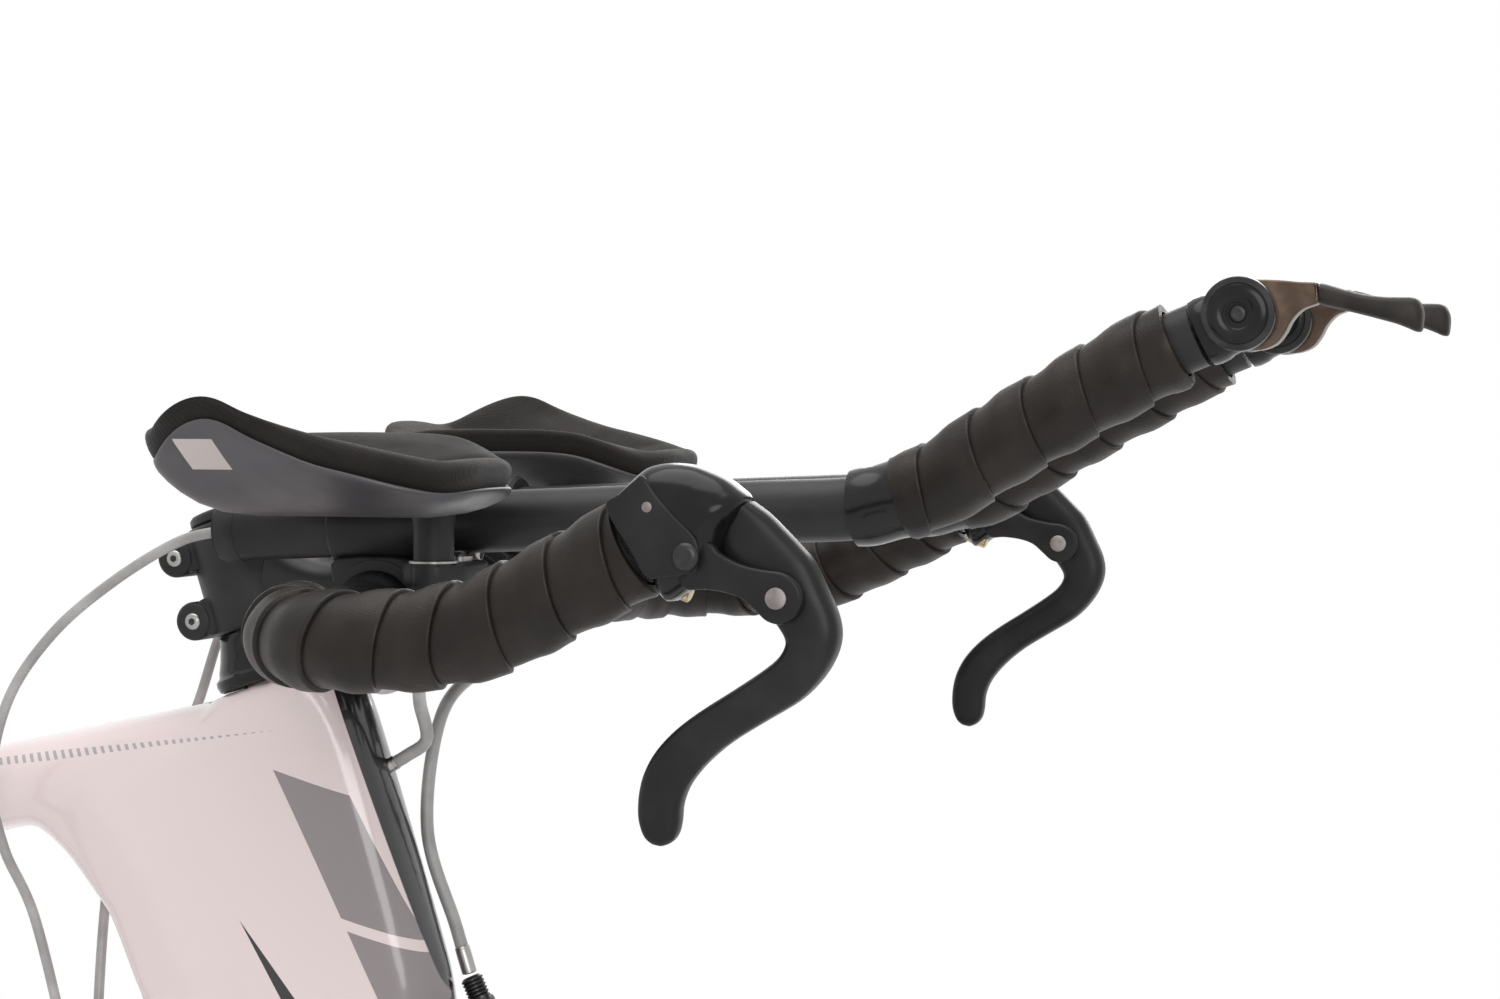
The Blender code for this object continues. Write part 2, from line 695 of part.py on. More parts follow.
def fork_leg(name, side):
    stations = (
        (-0.014, 0.000, 0.0290, 0.0200, 0.0165),
        (-0.100, 0.004, 0.0320, 0.0185, 0.0150),
        (-0.200, 0.013, 0.0390, 0.0150, 0.0120),
        (-0.290, 0.028, 0.0475, 0.0110, 0.0090),
        (-0.354, 0.0405, 0.0532, 0.0080, 0.0062),
    )
    scale = (FORK_LENGTH + LOWER_STACK) / 0.368
    rings = []
    for along, fore, out, half, width in stations:
        outline = section(half, half, width, 8, 0.95)
        rings.append(ring_at(head(along * scale, fore * FORK_RAKE / 0.043, side * out), HEAD_FORE, SIDE,
            outline))
    return loft(name, rings, WHITE_PAINT)


def fork():
    crown = [
        (head(-LOWER_STACK + 0.0004), 0.0235, 0.0235, 0.047),
        (head(-0.012), 0.0230, 0.0225, 0.062),
        (head(-0.026), 0.0200, 0.0195, 0.0745),
    ]
    body = straight_tube("fork", crown, HEAD_UP, WHITE_PAINT, 0.85, 12)
    top = HEAD_TUBE_LENGTH + COVER_HEIGHT + STEM_CLAMP_HEIGHT
    join(body, rod("steerer", head(-0.012), head(top - 0.004), STEERER_RADIUS, BLACK_ALLOY, 12))
    join(body, turned("crown_race", head(0), HEAD_UP, [(-0.006, HEAD_BORE_RADIUS - GAP), (0.009,
        HEAD_BORE_RADIUS - GAP)], STEEL, 14))
    inner = FRONT_HUB_WIDTH / 2
    for side, word in ((-1, "right"), (1, "left")):
        join(body, fork_leg(f"fork_leg_{word}", side))
        ear = plate(
            f"fork_ear_{word}", [arc((0, 0), 0.0145, 0, 330, 12)],
            FRONT_AXLE + SIDE * side * (inner + DROPOUT_THICKNESS / 2), Vector((1, 0,
                0)), UP, DROPOUT_THICKNESS, WHITE_PAINT,
        )
        join(body, ear)
    join(body, brake_mount("front_mount", FRONT_BRAKE, 0.005, WHITE_PAINT))
    reach = FRONT_AXLE_RADIUS + GAP
    cut(body, slot_cutter("fork_slot_right", FRONT_AXLE, reach, -inner - 0.02, -inner + 0.01))
    cut(body, slot_cutter("fork_slot_left", FRONT_AXLE, reach, inner - 0.01, inner + 0.02))
    hang("steering", body)


def headset_cover():
    low = HEAD_TUBE_LENGTH
    bore = STEERER_RADIUS + GAP
    profile = [
        (low - 0.010, bore),
        (low - 0.010, HEAD_BORE_RADIUS - GAP),
        (low + GAP, HEAD_BORE_RADIUS - GAP),
        (low + GAP, 0.0240),
        (low + 0.0045, 0.0245),
        (low + 0.0060, 0.0228),
        (low + COVER_HEIGHT - GAP, 0.0185),
        (low + COVER_HEIGHT - GAP, bore),
    ]
    hang("steering", turned_ring("headset_cover", head(0), HEAD_UP, profile, BLACK_ALLOY, 16))


BAR_X = -0.1980
BAR_Z = -0.0180
FACE_SPLIT = 0.0020


def bar_centre():
    return cockpit(BAR_X, BAR_Z)


def bar_bore(name, across, half):
    """A cutter for a clamp on the middle of the base bar."""
    path = [bar_centre() + SIDE * (across - half), bar_centre() + SIDE * (across + half)]
    return swept(name, path, round_outline(BAR_CLAMP_RADIUS + GAP, TUBE_SIDES), STEEL, UP)


def stem():
    """Steerer clamp with its rear bolt bosses, body, and the rear half of the bar clamp."""
    low = HEAD_TUBE_LENGTH + COVER_HEIGHT
    body = turned("stem", head(low), HEAD_UP, [(0, STEM_CLAMP_RADIUS), (STEM_CLAMP_HEIGHT,
        STEM_CLAMP_RADIUS)], BLACK_ALLOY, 16)
    middle = head(low + STEM_CLAMP_HEIGHT / 2)
    ahead = (bar_centre() - middle).normalized()
    across = SIDE.cross(ahead)
    reach = (bar_centre() - middle).length
    rings = []
    for share, below, above, wide in ((0.10, 0.0180, 0.0185, 0.034), (0.38, 0.0095, 0.0170, 0.034), (0.66,
        0.0150, 0.0165, 0.037),
                                      (0.98, 0.0200, 0.0195, 0.042)):
        rings.append(ring_at(middle + ahead * reach * share, across, SIDE, section(below, above, wide, 12,
            0.6)))
    join(body, loft("stem_arm", rings, BLACK_ALLOY))
    for name, along in (("upper_boss", STEM_CLAMP_HEIGHT - 0.0085), ("lower_boss", 0.0085)):
        at = head(low + along, -STEM_CLAMP_RADIUS - 0.0015)
        join(body, rod(name, at - SIDE * 0.0160, at + SIDE * 0.0160, 0.0078, BLACK_ALLOY, 10))
        web = head(low + along, -STEM_CLAMP_RADIUS + 0.004)
        join(body, rod(f"{name}_web", web - SIDE * 0.0150, web + SIDE * 0.0150, 0.0078, BLACK_ALLOY, 8))
    collar = rod("clamp_barrel", bar_centre() - SIDE * 0.0225, bar_centre() + SIDE * 0.0225,
        BAR_CLAMP_RADIUS + 0.0055, BLACK_ALLOY, 16)
    join(body, collar)
    face = bar_centre() + ahead * (FACE_SPLIT / 2)
    half = [face + ahead * a + across * b + SIDE * c for a, b, c in
            ((0, -0.03, -0.03), (0, 0.03, -0.03), (0.05, 0.03, -0.03), (0.05, -0.03, -0.03))]
    other = [p + SIDE * 0.06 for p in half]
    cut(body, loft("face_cut", [half, other], STEEL))
    cut(body, bar_bore("stem_bar_bore", 0.0, 0.04))
    cut(body, rod("steerer_bore", head(low - 0.01), head(low + STEM_CLAMP_HEIGHT - 0.0035),
        STEERER_RADIUS + GAP, STEEL, 16))
    cap = turned("stem_cap", head(low + STEM_CLAMP_HEIGHT), HEAD_UP, [(-0.001, 0.0160), (0.0035, 0.0160),
        (0.0050, 0.0145)], BLACK_ALLOY)
    join(body, cap)
    hang("steering", body)
    inner = (BAR_CLAMP_RADIUS + GAP) / cos(pi / 16)
    outer = BAR_CLAMP_RADIUS + 0.0055
    wide = degrees(acos(FACE_SPLIT / outer))
    narrow = degrees(acos(FACE_SPLIT / inner))
    half_ring = arc((0, 0), outer, -wide, wide, 9) + arc((0, 0), inner, narrow, -narrow, 9)
    front = plate("stem_face_plate", [half_ring], bar_centre(), ahead, across, 0.045, BLACK_ALLOY)
    hang("steering", front)


def bar_route(side):
    """The centreline of one half of the base bar, from the middle to the end of the horn."""
    half = (
        (BAR_X, BAR_Z, 0.064),
        (BAR_X + 0.003, BAR_Z + 0.0002, 0.095),
        (BAR_X + 0.009, BAR_Z + 0.0005, 0.133),
        (BAR_X + 0.017, BAR_Z + 0.0008, HORN_Y - 0.038),
        (BAR_X + 0.026, BAR_Z + 0.0009, HORN_Y - 0.020),
        (BAR_X + 0.040, BAR_Z + 0.0010, HORN_Y - 0.006),
        (BAR_X + 0.056, BAR_Z + 0.0012, HORN_Y),
        (-0.1200, -0.0155, HORN_Y),
        (-0.0980, -0.0110, HORN_Y),
        (-0.0800, -0.0025, HORN_Y),
        (-0.0480, 0.0142, HORN_Y),
    )
    return [cockpit(x, z, side * y) for x, z, y in half]


def base_bar():
    right = bar_route(-1)
    left = bar_route(1)
    neck = 0.058
    route = right[::-1] + [bar_centre() - SIDE * neck, bar_centre() + SIDE * neck] + left
    outlines = []
    for point in route:
        radius = BAR_CLAMP_RADIUS if abs(point.y) <= neck + 1e-6 else BAR_RADIUS
        outlines.append(round_outline(radius, TUBE_SIDES))
    hang("steering", swept("base_bar", route, outlines, BLACK_ALLOY, UP))


def path_length(path):
    lengths = [0.0]
    for a, b in zip(path, path[1:]):
        lengths.append(lengths[-1] + (b - a).length)
    return lengths


def along_path(path, lengths, run):
    """The point and direction at a distance along a path."""
    j = 0
    while j < len(path) - 2 and lengths[j + 1] < run:
        j += 1
    share = (run - lengths[j]) / (lengths[j + 1] - lengths[j])
    return path[j].lerp(path[j + 1], share), (path[j + 1] - path[j]).normalized()


def wrapped(name, stations, inner, outer, pitch, step, reference, material):
    """Tape wound round a tube. Each turn laps the last one, so the tape steps down along a slanted edge
    once a turn. The bore follows the tube's own stations."""
    fine = smooth_path(stations, 6)
    lengths = path_length(fine)
    outline = round_outline(1.0, TUBE_SIDES)
    turns = round(lengths[-1] / pitch)
    pitch = lengths[-1] / turns
    slant = pitch / pi
    edge = 0.0008
    skin = []
    for i in range(turns):
        for run, radius in ((i * pitch, outer - step), ((i + 1) * pitch - edge, outer)):
            run = min(max(run, 0.0), lengths[-1])
            point, ahead = along_path(fine, lengths, run)
            across = (reference - ahead * reference.dot(ahead)).normalized()
            up = ahead.cross(across)
            lean = 0.0 if run < pitch / 2 or run > lengths[-1] - pitch / 2 else slant
            skin.append([point + (up * a + across * b) * radius + ahead * lean * (b - a) / 2 for a,
                b in outline])
    last, ahead = along_path(fine, lengths, lengths[-1])
    across = (reference - ahead * reference.dot(ahead)).normalized()
    skin[-1] = ring_at(last, ahead.cross(across), across, round_outline(outer, TUBE_SIDES))
    core = [ring_at(point, ahead.cross(across), across, round_outline(inner, TUBE_SIDES))
            for point, ahead, across in path_frames(stations, reference)]
    return loft(name, skin + core[::-1], material, looped=True)


def bar_tape(name, side):
    tape = wrapped(name, bar_route(side)[TAPE_START:], BAR_RADIUS + GAP, BAR_TAPE_RADIUS, TAPE_PITCH,
        0.0013, UP, CORK_TAPE)
    hang("steering", tape)


# Brake levers


LEVER_NOSE_WIDTH = 0.0220
BLADE_WIDTH = 0.0130
LEVER_PIN_RADIUS = 0.0023


def lever_place(side, x, z, y=0.0):
    return cockpit(x, z, side * HORN_Y + y)


def lever_body(name, side):
    """Hood and cheeks of a brake lever: a rounded block at the bar, two arms round the pivot pin."""
    stations = (
        (-0.0455, 0.0130, 0.0150, 0.0270),
        (-0.0400, 0.0175, 0.0168, 0.0275),
        (-0.0335, 0.0205, 0.0185, 0.0268),
        (-0.0260, 0.0205, 0.0182, 0.0255),
        (-0.0190, 0.0195, 0.0168, 0.0240),
        (-0.0150, 0.0190, 0.0140, 0.0228),
    )
    tilt_start, tilt_end = 30.0, -32.0
    bar_end, before = bar_route(side)[-1], bar_route(side)[-2]
    rings = []
    for i, (x, z, half, width) in enumerate(stations):
        tilt = radians(tilt_start + (tilt_end - tilt_start) * i / (len(stations) - 1))
        up = Vector((-sin(tilt), 0, cos(tilt)))
        rings.append(ring_at(lever_place(side, x, z), up, SIDE, section(half, half, width, 10, 0.72)))
    back = (before - bar_end).normalized()
    rings[0] = [p - back * ((p - bar_end).dot(back) + GAP) for p in rings[0]]
    body = loft(name, rings, LEVER_PLASTIC)
    cheek = (
        [(-0.0300, 0.0200), (-0.0300, 0.0035), (-0.0160, 0.0013), (-0.0090, -0.0025)]
        + arc((0, 0), 0.0078, -140, 80, 9)
        + [(-0.0110, 0.0105), (-0.0175, 0.0145), (-0.0190, 0.0230)]
    )
    outside = plate(f"{name}_cheeks", [cheek], lever_place(side, 0, 0), Vector((1, 0, 0)), UP,
        LEVER_NOSE_WIDTH, LEVER_PLASTIC)
    join(body, outside)
    slot = BLADE_WIDTH / 2 + 0.0006
    low = lever_place(side, -0.0215, -0.0300, -slot)
    high = lever_place(side, 0.0300, 0.0600, slot)
    cut(body, box(f"{name}_slot", low, high, STEEL))
    end = LEVER_NOSE_WIDTH / 2 + 0.0004
    pin = rod(f"{name}_pin", lever_place(side, 0, 0, -end), lever_place(side, 0, 0, end),
        LEVER_PIN_RADIUS, SILVER, 10)
    join(body, pin)
    hang("steering", body)


def lever_blade(name, side, joint):
    """The blade: sections between its outer and inner edge, from its nose above the pivot to its tip."""
    stations = (
        (-0.0100, 0.0280, -0.0170, 0.0215, 0.0125),
        (-0.0010, 0.0210, -0.0120, 0.0090, 0.0130),
        (0.0085, 0.0110, -0.0075, -0.0005, 0.0130),
        (0.0150, -0.0020, -0.0050, -0.0075, 0.0130),
        (0.0172, -0.0120, 0.0002, -0.0125, 0.0130),
        (0.0130, -0.0230, -0.0022, -0.0185, 0.0128),
        (0.0020, -0.0333, -0.0100, -0.0245, 0.0122),
        (-0.0170, -0.0447, -0.0262, -0.0352, 0.0115),
        (-0.0290, -0.0560, -0.0405, -0.0475, 0.0108),
        (-0.0333, -0.0680, -0.0467, -0.0610, 0.0102),
        (-0.0345, -0.0735, -0.0468, -0.0700, 0.0096),
        (-0.0380, -0.0770, -0.0445, -0.0757, 0.0080),
    )
    rings = []
    for ox, oz, ix, iz, width in stations:
        outer = lever_place(side, ox, oz)
        inner = lever_place(side, ix, iz)
        middle = (outer + inner) / 2
        half = (outer - inner).length / 2
        rings.append(ring_at(middle, (outer - inner).normalized(), SIDE, section(half, half, width, 10, 0.6)))
    blade = loft(name, rings, LEVER_PLASTIC)
    cut(blade, rod(f"{name}_bore", lever_place(side, 0, 0, -0.02), lever_place(side, 0, 0, 0.02),
        LEVER_PIN_RADIUS + GAP, STEEL, 10))
    hang(joint, blade)


# Clip-on extensions


EXTENSION_BACK = -0.2640


def extension_height(x):
    return 0.0225 + 0.0442 * x


def extension_route(side):
    points = (
        (EXTENSION_BACK, extension_height(EXTENSION_BACK)),
        (-0.0240, extension_height(-0.0240)),
        (-0.0070, 0.0245),
        (0.0110, 0.0325),
        (0.0280, 0.0430),
        (0.0530, 0.0580),
        (0.0720, 0.0685),
        (0.0890, 0.0773),
        (0.0985, 0.0815),
    )
    return [cockpit(x, z, side * EXTENSION_Y) for x, z in points]


def extension(name, side):
    points = extension_route(side)
    tube = swept(name, points, round_outline(EXTENSION_RADIUS, TUBE_SIDES), BLACK_ALLOY, SIDE)
    slope = (points[1] - points[0]).normalized()
    hole = rod(f"{name}_bore", points[0] - slope * 0.01, points[0] + slope * 0.06,
        SHIFT_HOUSING_RADIUS + GAP, STEEL, 8)
    cut(tube, hole)
    hang("steering", tube)


def extension_tape(name, side):
    stations = extension_route(side)[1:-1]
    tape = wrapped(name, stations, EXTENSION_RADIUS + GAP, EXTENSION_TAPE_RADIUS, 0.0180, 0.0010, SIDE,
        GLOSS_TAPE)
    hang("steering", tape)


BRACKET_WIDTH = 0.0260
RISER_X = -0.1660


def bracket(name, side):
    """Clamp round the base bar, with a saddle on top that grips the extension."""
    centre = bar_centre() + SIDE * side * EXTENSION_Y
    half = SIDE * BRACKET_WIDTH / 2
    body = rod(name, centre - half, centre + half, BAR_CLAMP_RADIUS + 0.0048, BLACK_ALLOY, 12)
    slope = Vector((1, 0, 0.0442)).normalized()
    tube_centre = cockpit(BAR_X, extension_height(BAR_X), side * EXTENSION_Y)
    grip = rod(f"{name}_grip", tube_centre - slope * 0.0190, tube_centre + slope * 0.0190,
        EXTENSION_RADIUS + 0.0042, BLACK_ALLOY, 10)
    join(body, grip)
    riser = cockpit(RISER_X, 0.0, side * (ARM_REST_Y - 0.026))
    low = Vector((riser.x - 0.0200, min(centre.y + side * 0.010, riser.y), riser.z - 0.0062))
    high = Vector((riser.x + 0.0080, max(centre.y + side * 0.010, riser.y), riser.z + 0.0018))
    join(body, box(f"{name}_ear", low, high, BLACK_ALLOY))
    share = (RISER_X - CUP_BACK) / CUP_LENGTH
    seat_rise = cup_rise(share, -(0.026 - 0.0072) / cup_half(share))
    ends = [(-0.0075, 0.0078), (0.0020, 0.0078), (0.0020, 0.0072),
        (cup_floor() + seat_rise - LEVER_PIVOT.z - GAP, 0.0072)]
    join(body, turned(f"{name}_riser", riser, UP, ends, BLACK_ALLOY, 10))
    cut(body, bar_bore(f"{name}_bar_bore", side * EXTENSION_Y, 0.02))
    tube = [tube_centre - slope * 0.04, tube_centre + slope * 0.04]
    cut(body, swept(f"{name}_tube_bore", tube, round_outline(EXTENSION_RADIUS + GAP, TUBE_SIDES), STEEL,
        SIDE))
    hang("steering", body)


CUP_BACK = -0.2520
CUP_LENGTH = 0.1190
CUP_HALF_WIDTH = 0.0460
CUP_THICKNESS = 0.0028
PAD_THICKNESS = 0.0115


def cup_floor():
    return LEVER_PIVOT.z + 0.0190


# Height of the arm rest's side walls over its floor, from its back end (-1) to its front (1)
OUTER_WALL = ((-1.0, 0.0150), (-0.85, 0.0245), (-0.72, 0.0300), (-0.54, 0.0336), (-0.38, 0.0328), (-0.19,
    0.0265),
              (0.05, 0.0206), (0.21, 0.0170), (0.45, 0.0140), (0.68, 0.0108), (0.90, 0.0085), (1.0, 0.0080))
INNER_WALL = ((-1.0, 0.0120), (-0.80, 0.0165), (-0.60, 0.0180), (0.30, 0.0180), (0.50, 0.0172), (0.70, 0.0135),
              (0.88, 0.0098), (1.0, 0.0085))
BACK_LIP = 0.0200
FRONT_LIP = 0.0085


def read_off(table, at):
    """The value at a place in a table of (place, value), in straight lines between its rows."""
    for (low, first), (high, second) in zip(table, table[1:]):
        if at <= high:
            return first + (second - first) * (at - low) / (high - low)
    return table[-1][1]


def cup_rise(share, v):
    """Height of the arm rest's surface over its floor; v runs from the inner edge (-1) to the outer (1)."""
    a = 2 * share - 1
    wall = read_off(OUTER_WALL if v > 0 else INNER_WALL, a) * abs(v) ** 2.6
    lip = BACK_LIP * max(0.0, (-a - 0.45) / 0.55) ** 2.2 + FRONT_LIP * max(0.0, (a - 0.6) / 0.4) ** 2
    return (wall**3 + lip**3) ** (1 / 3)


def cup_half(share, grow=0.0):
    """Half width of the arm rest at a share of its length, rounded at both ends."""
    u = abs(2 * share - 1)
    return (CUP_HALF_WIDTH + grow) * (max(0.0, 1 - u**3.2) ** (1 / 3.2) * 0.86 + 0.14)


def rest_grid(side, lift, draw=0.0):
    """Rows of points over the arm rest, lifted off its floor; draw pulls the lift in at the border."""
    count = 8
    grid = []
    for i in range(count + 1):
        share = i / count
        line = []
        for j in range(count + 1):
            v = -1 + 2 * j / count
            edge = max(abs(v), abs(2 * share - 1))
            x = CUP_BACK + CUP_LENGTH * share
            y = side * (ARM_REST_Y + cup_half(share) * v * (1 - 0.05 * draw))
            rise = cup_rise(share, v) + lift * (1 - draw * edge**4)
            line.append(Vector((LEVER_PIVOT.x + x, y, cup_floor() + rise)))
        grid.append(line)
    return grid


def border_of(columns, rows):
    border = [(0, j) for j in range(rows)] + [(i, rows - 1) for i in range(1, columns)]
    return border + [(columns - 1, j) for j in range(rows - 2, -1, -1)] + [(i,
        0) for i in range(columns - 2, 0, -1)]


def shell_between(name, low, high, material, bulge=0.0):
    """A closed skin between two grids of points, whose side wall may bulge outward halfway up."""
    columns, rows = len(low), len(low[0])
    points = [p for line in low for p in line] + [p for line in high for p in line]
    top = columns * rows
    faces = []
    for i in range(columns - 1):
        for j in range(rows - 1):
            a, b, c, d = i * rows + j, i * rows + j + 1, (i + 1) * rows + j + 1, (i + 1) * rows + j
            faces += [(a, b, c), (a, c, d)]
            faces += [(top + c, top + b, top + a), (top + d, top + c, top + a)]
    border = border_of(columns, rows)
    levels = [[i * rows + j for i, j in border], [top + i * rows + j for i, j in border]]
    if bulge:
        middle = sum((low[i][j] for i, j in border), Vector()) / len(border)
        belt = []
        for i, j in border:
            out = low[i][j] - middle
            out.z = 0.0
            points.append(low[i][j].lerp(high[i][j], 0.55) + out.normalized() * bulge)
            belt.append(len(points) - 1)
        levels.insert(1, belt)
    for lower, upper in zip(levels, levels[1:]):
        for k in range(len(border)):
            m = (k + 1) % len(border)
            faces.append((lower[m], lower[k], upper[k], upper[m]))
    return make_solid(name, points, faces, material)


def arm_rest(name, side):
    cup = shell_between(name, rest_grid(side, 0.0), rest_grid(side, CUP_THICKNESS), CUP_PLASTIC)
    hang("steering", cup)


def arm_pad(name, side):
    """Foam pad: crowned over the cup, with its sides drawn in to the rim."""
    under = CUP_THICKNESS + 2 * GAP
    pad = shell_between(name, rest_grid(side, under), rest_grid(side, under + PAD_THICKNESS, 0.45), FOAM,
        0.0025)
    hang("steering", pad)


# End shifters


POD_X = 0.1134
POD_Z = 0.0881
POD_RADIUS = 0.0125
POD_HALF = 0.0140
SHIFTER_PIN_RADIUS = 0.0040


def pod(side, x=0.0, z=0.0, y=0.0):
    return cockpit(POD_X + x, POD_Z + z, side * EXTENSION_Y + y)


def shifter_body(name, side):
    """Plug in the end of the extension, and two cheeks with the pin that the lever turns on."""
    end = extension_route(side)[-1]
    ahead = (pod(side) - end).normalized()
    body = rod(name, end + ahead * GAP, pod(side) - ahead * 0.004, EXTENSION_RADIUS, LEVER_PLASTIC, 14)
    drum = rod(f"{name}_drum", pod(side) - SIDE * POD_HALF, pod(side) + SIDE * POD_HALF, POD_RADIUS,
        LEVER_PLASTIC, 18)
    join(body, drum)
    inner = 0.0052
    reach = POD_RADIUS + 0.004
    gap = turned(f"{name}_gap", pod(side) - SIDE * inner, SIDE, [(0, reach), (2 * inner, reach)], STEEL, 18)
    cut(body, gap)
    pin = rod(f"{name}_pin", pod(side) - SIDE * (inner + 0.002), pod(side) + SIDE * (inner + 0.002),
        SHIFTER_PIN_RADIUS, SILVER, 12)
    join(body, pin)
    hang("steering", body)


def shifter_lever(name, side, joint):
    """Ring on the pin, metal arm, and the paddle that a thumb pushes."""
    wide = 0.0052 - GAP
    hub = turned_ring(name, pod(side), SIDE, [(-wide, SHIFTER_PIN_RADIUS + GAP), (-wide, POD_RADIUS - 0.0005),
                      (wide, POD_RADIUS - 0.0005), (wide, SHIFTER_PIN_RADIUS + GAP)], BRONZE, 16)
    stations = (
        (0.0060, 0.0045, 0.0050, 0.0080),
        (0.0160, 0.0078, 0.0040, 0.0085),
        (0.0250, 0.0066, 0.0038, 0.0090),
        (0.0300, 0.0050, 0.0045, 0.0120),
        (0.0420, 0.0015, 0.0045, 0.0130),
        (0.0520, -0.0002, 0.0050, 0.0135),
        (0.0580, -0.0014, 0.0055, 0.0120),
        (0.0598, -0.0025, 0.0040, 0.0085),
    )
    path = [pod(side, x, z) for x, z, _, _ in stations]
    outlines = [section(half, half, width, 10, 0.8) for _, _, half, width in stations]
    join(hub, swept(f"{name}_arm", path, outlines, BRONZE, SIDE))
    hang(joint, hub)


# Cables


def housing(name, points, radius, steps=2):
    path = smooth_path(points, steps)
    return swept(name, path, round_outline(radius, 6), HOUSING)


def shift_housing(name, side):
    port, ahead = shift_port(side)
    y = side * EXTENSION_Y
    if side < 0:
        middle = [(-0.2840, 0.0060, y), (-0.3110, -0.0095, y), (-0.3350, -0.0290, y - 0.001), (-0.3540,
            -0.0540, y),
                  (-0.3640, -0.0850, -0.0385), (-0.3635, -0.1120, -0.0300), (-0.3560, -0.1400, -0.0200)]
    else:
        middle = [(-0.2800, 0.0070, y), (-0.2960, -0.0080, y), (-0.3080, -0.0350, y), (-0.3200, -0.0700,
            0.0400),
                  (-0.3400, -0.1020, 0.0330), (-0.3470, -0.1300, 0.0230)]
    start = extension_route(side)[0]
    points = [start + Vector((0.012, 0, 0.012 * 0.0442)), start + Vector((-0.002, 0, -0.0003))]
    points += [cockpit(*point) for point in middle]
    points += [port - ahead * 0.012, port, port + ahead * 0.012]
    return housing(name, points, SHIFT_HOUSING_RADIUS, 2)


def front_brake_stop():
    """Top of the front brake's cable adjuster."""
    return brake_point(FRONT_BRAKE, CABLE_ACROSS, CABLE_STOP_DOWN - 0.0125,
        BRAKE_MOUNT_OUT + 0.005 + GAP + BRAKE_ARM_THICKNESS / 2)


CABLE_ACROSS = 0.0140
CABLE_STOP_DOWN = -0.0190


def cables():
    hang("steering", shift_housing("right_shift_housing", -1), shift_housing("left_shift_housing", 1))
    stop = front_brake_stop()
    clear = BAR_RADIUS + BRAKE_HOUSING_RADIUS + GAP
    points = [
        cockpit(BAR_X + 0.0075, BAR_Z - clear, 0.118),
        cockpit(BAR_X + 0.0080, BAR_Z - clear - 0.001, 0.100),
        cockpit(BAR_X - 0.0040, BAR_Z - BAR_CLAMP_RADIUS - 0.012, 0.060),
        cockpit(BAR_X - 0.0080, -0.0620, 0.026),
        stop + HEAD_UP * 0.058,
        stop + HEAD_UP * 0.020,
        stop + HEAD_UP * 0.0004,
    ]
    hang("steering", housing("front_brake_housing", points, BRAKE_HOUSING_RADIUS))
    port, ahead = rear_brake_port()
    points = [
        cockpit(BAR_X + 0.0075, BAR_Z - clear, -0.118),
        cockpit(BAR_X + 0.0080, BAR_Z - clear - 0.001, -0.100),
        cockpit(BAR_X + 0.0040, BAR_Z - BAR_CLAMP_RADIUS - 0.010, -0.060),
        cockpit(BAR_X + 0.0020, -0.0440, -0.025),
        cockpit(-0.2030, -0.0560, -0.002),
        cockpit(-0.2030, -0.0690, 0.0040),
        port - ahead * 0.007,
        port,
        port + ahead * 0.009,
    ]
    hang("steering", housing("rear_brake_housing", points, BRAKE_HOUSING_RADIUS))


# Brakes


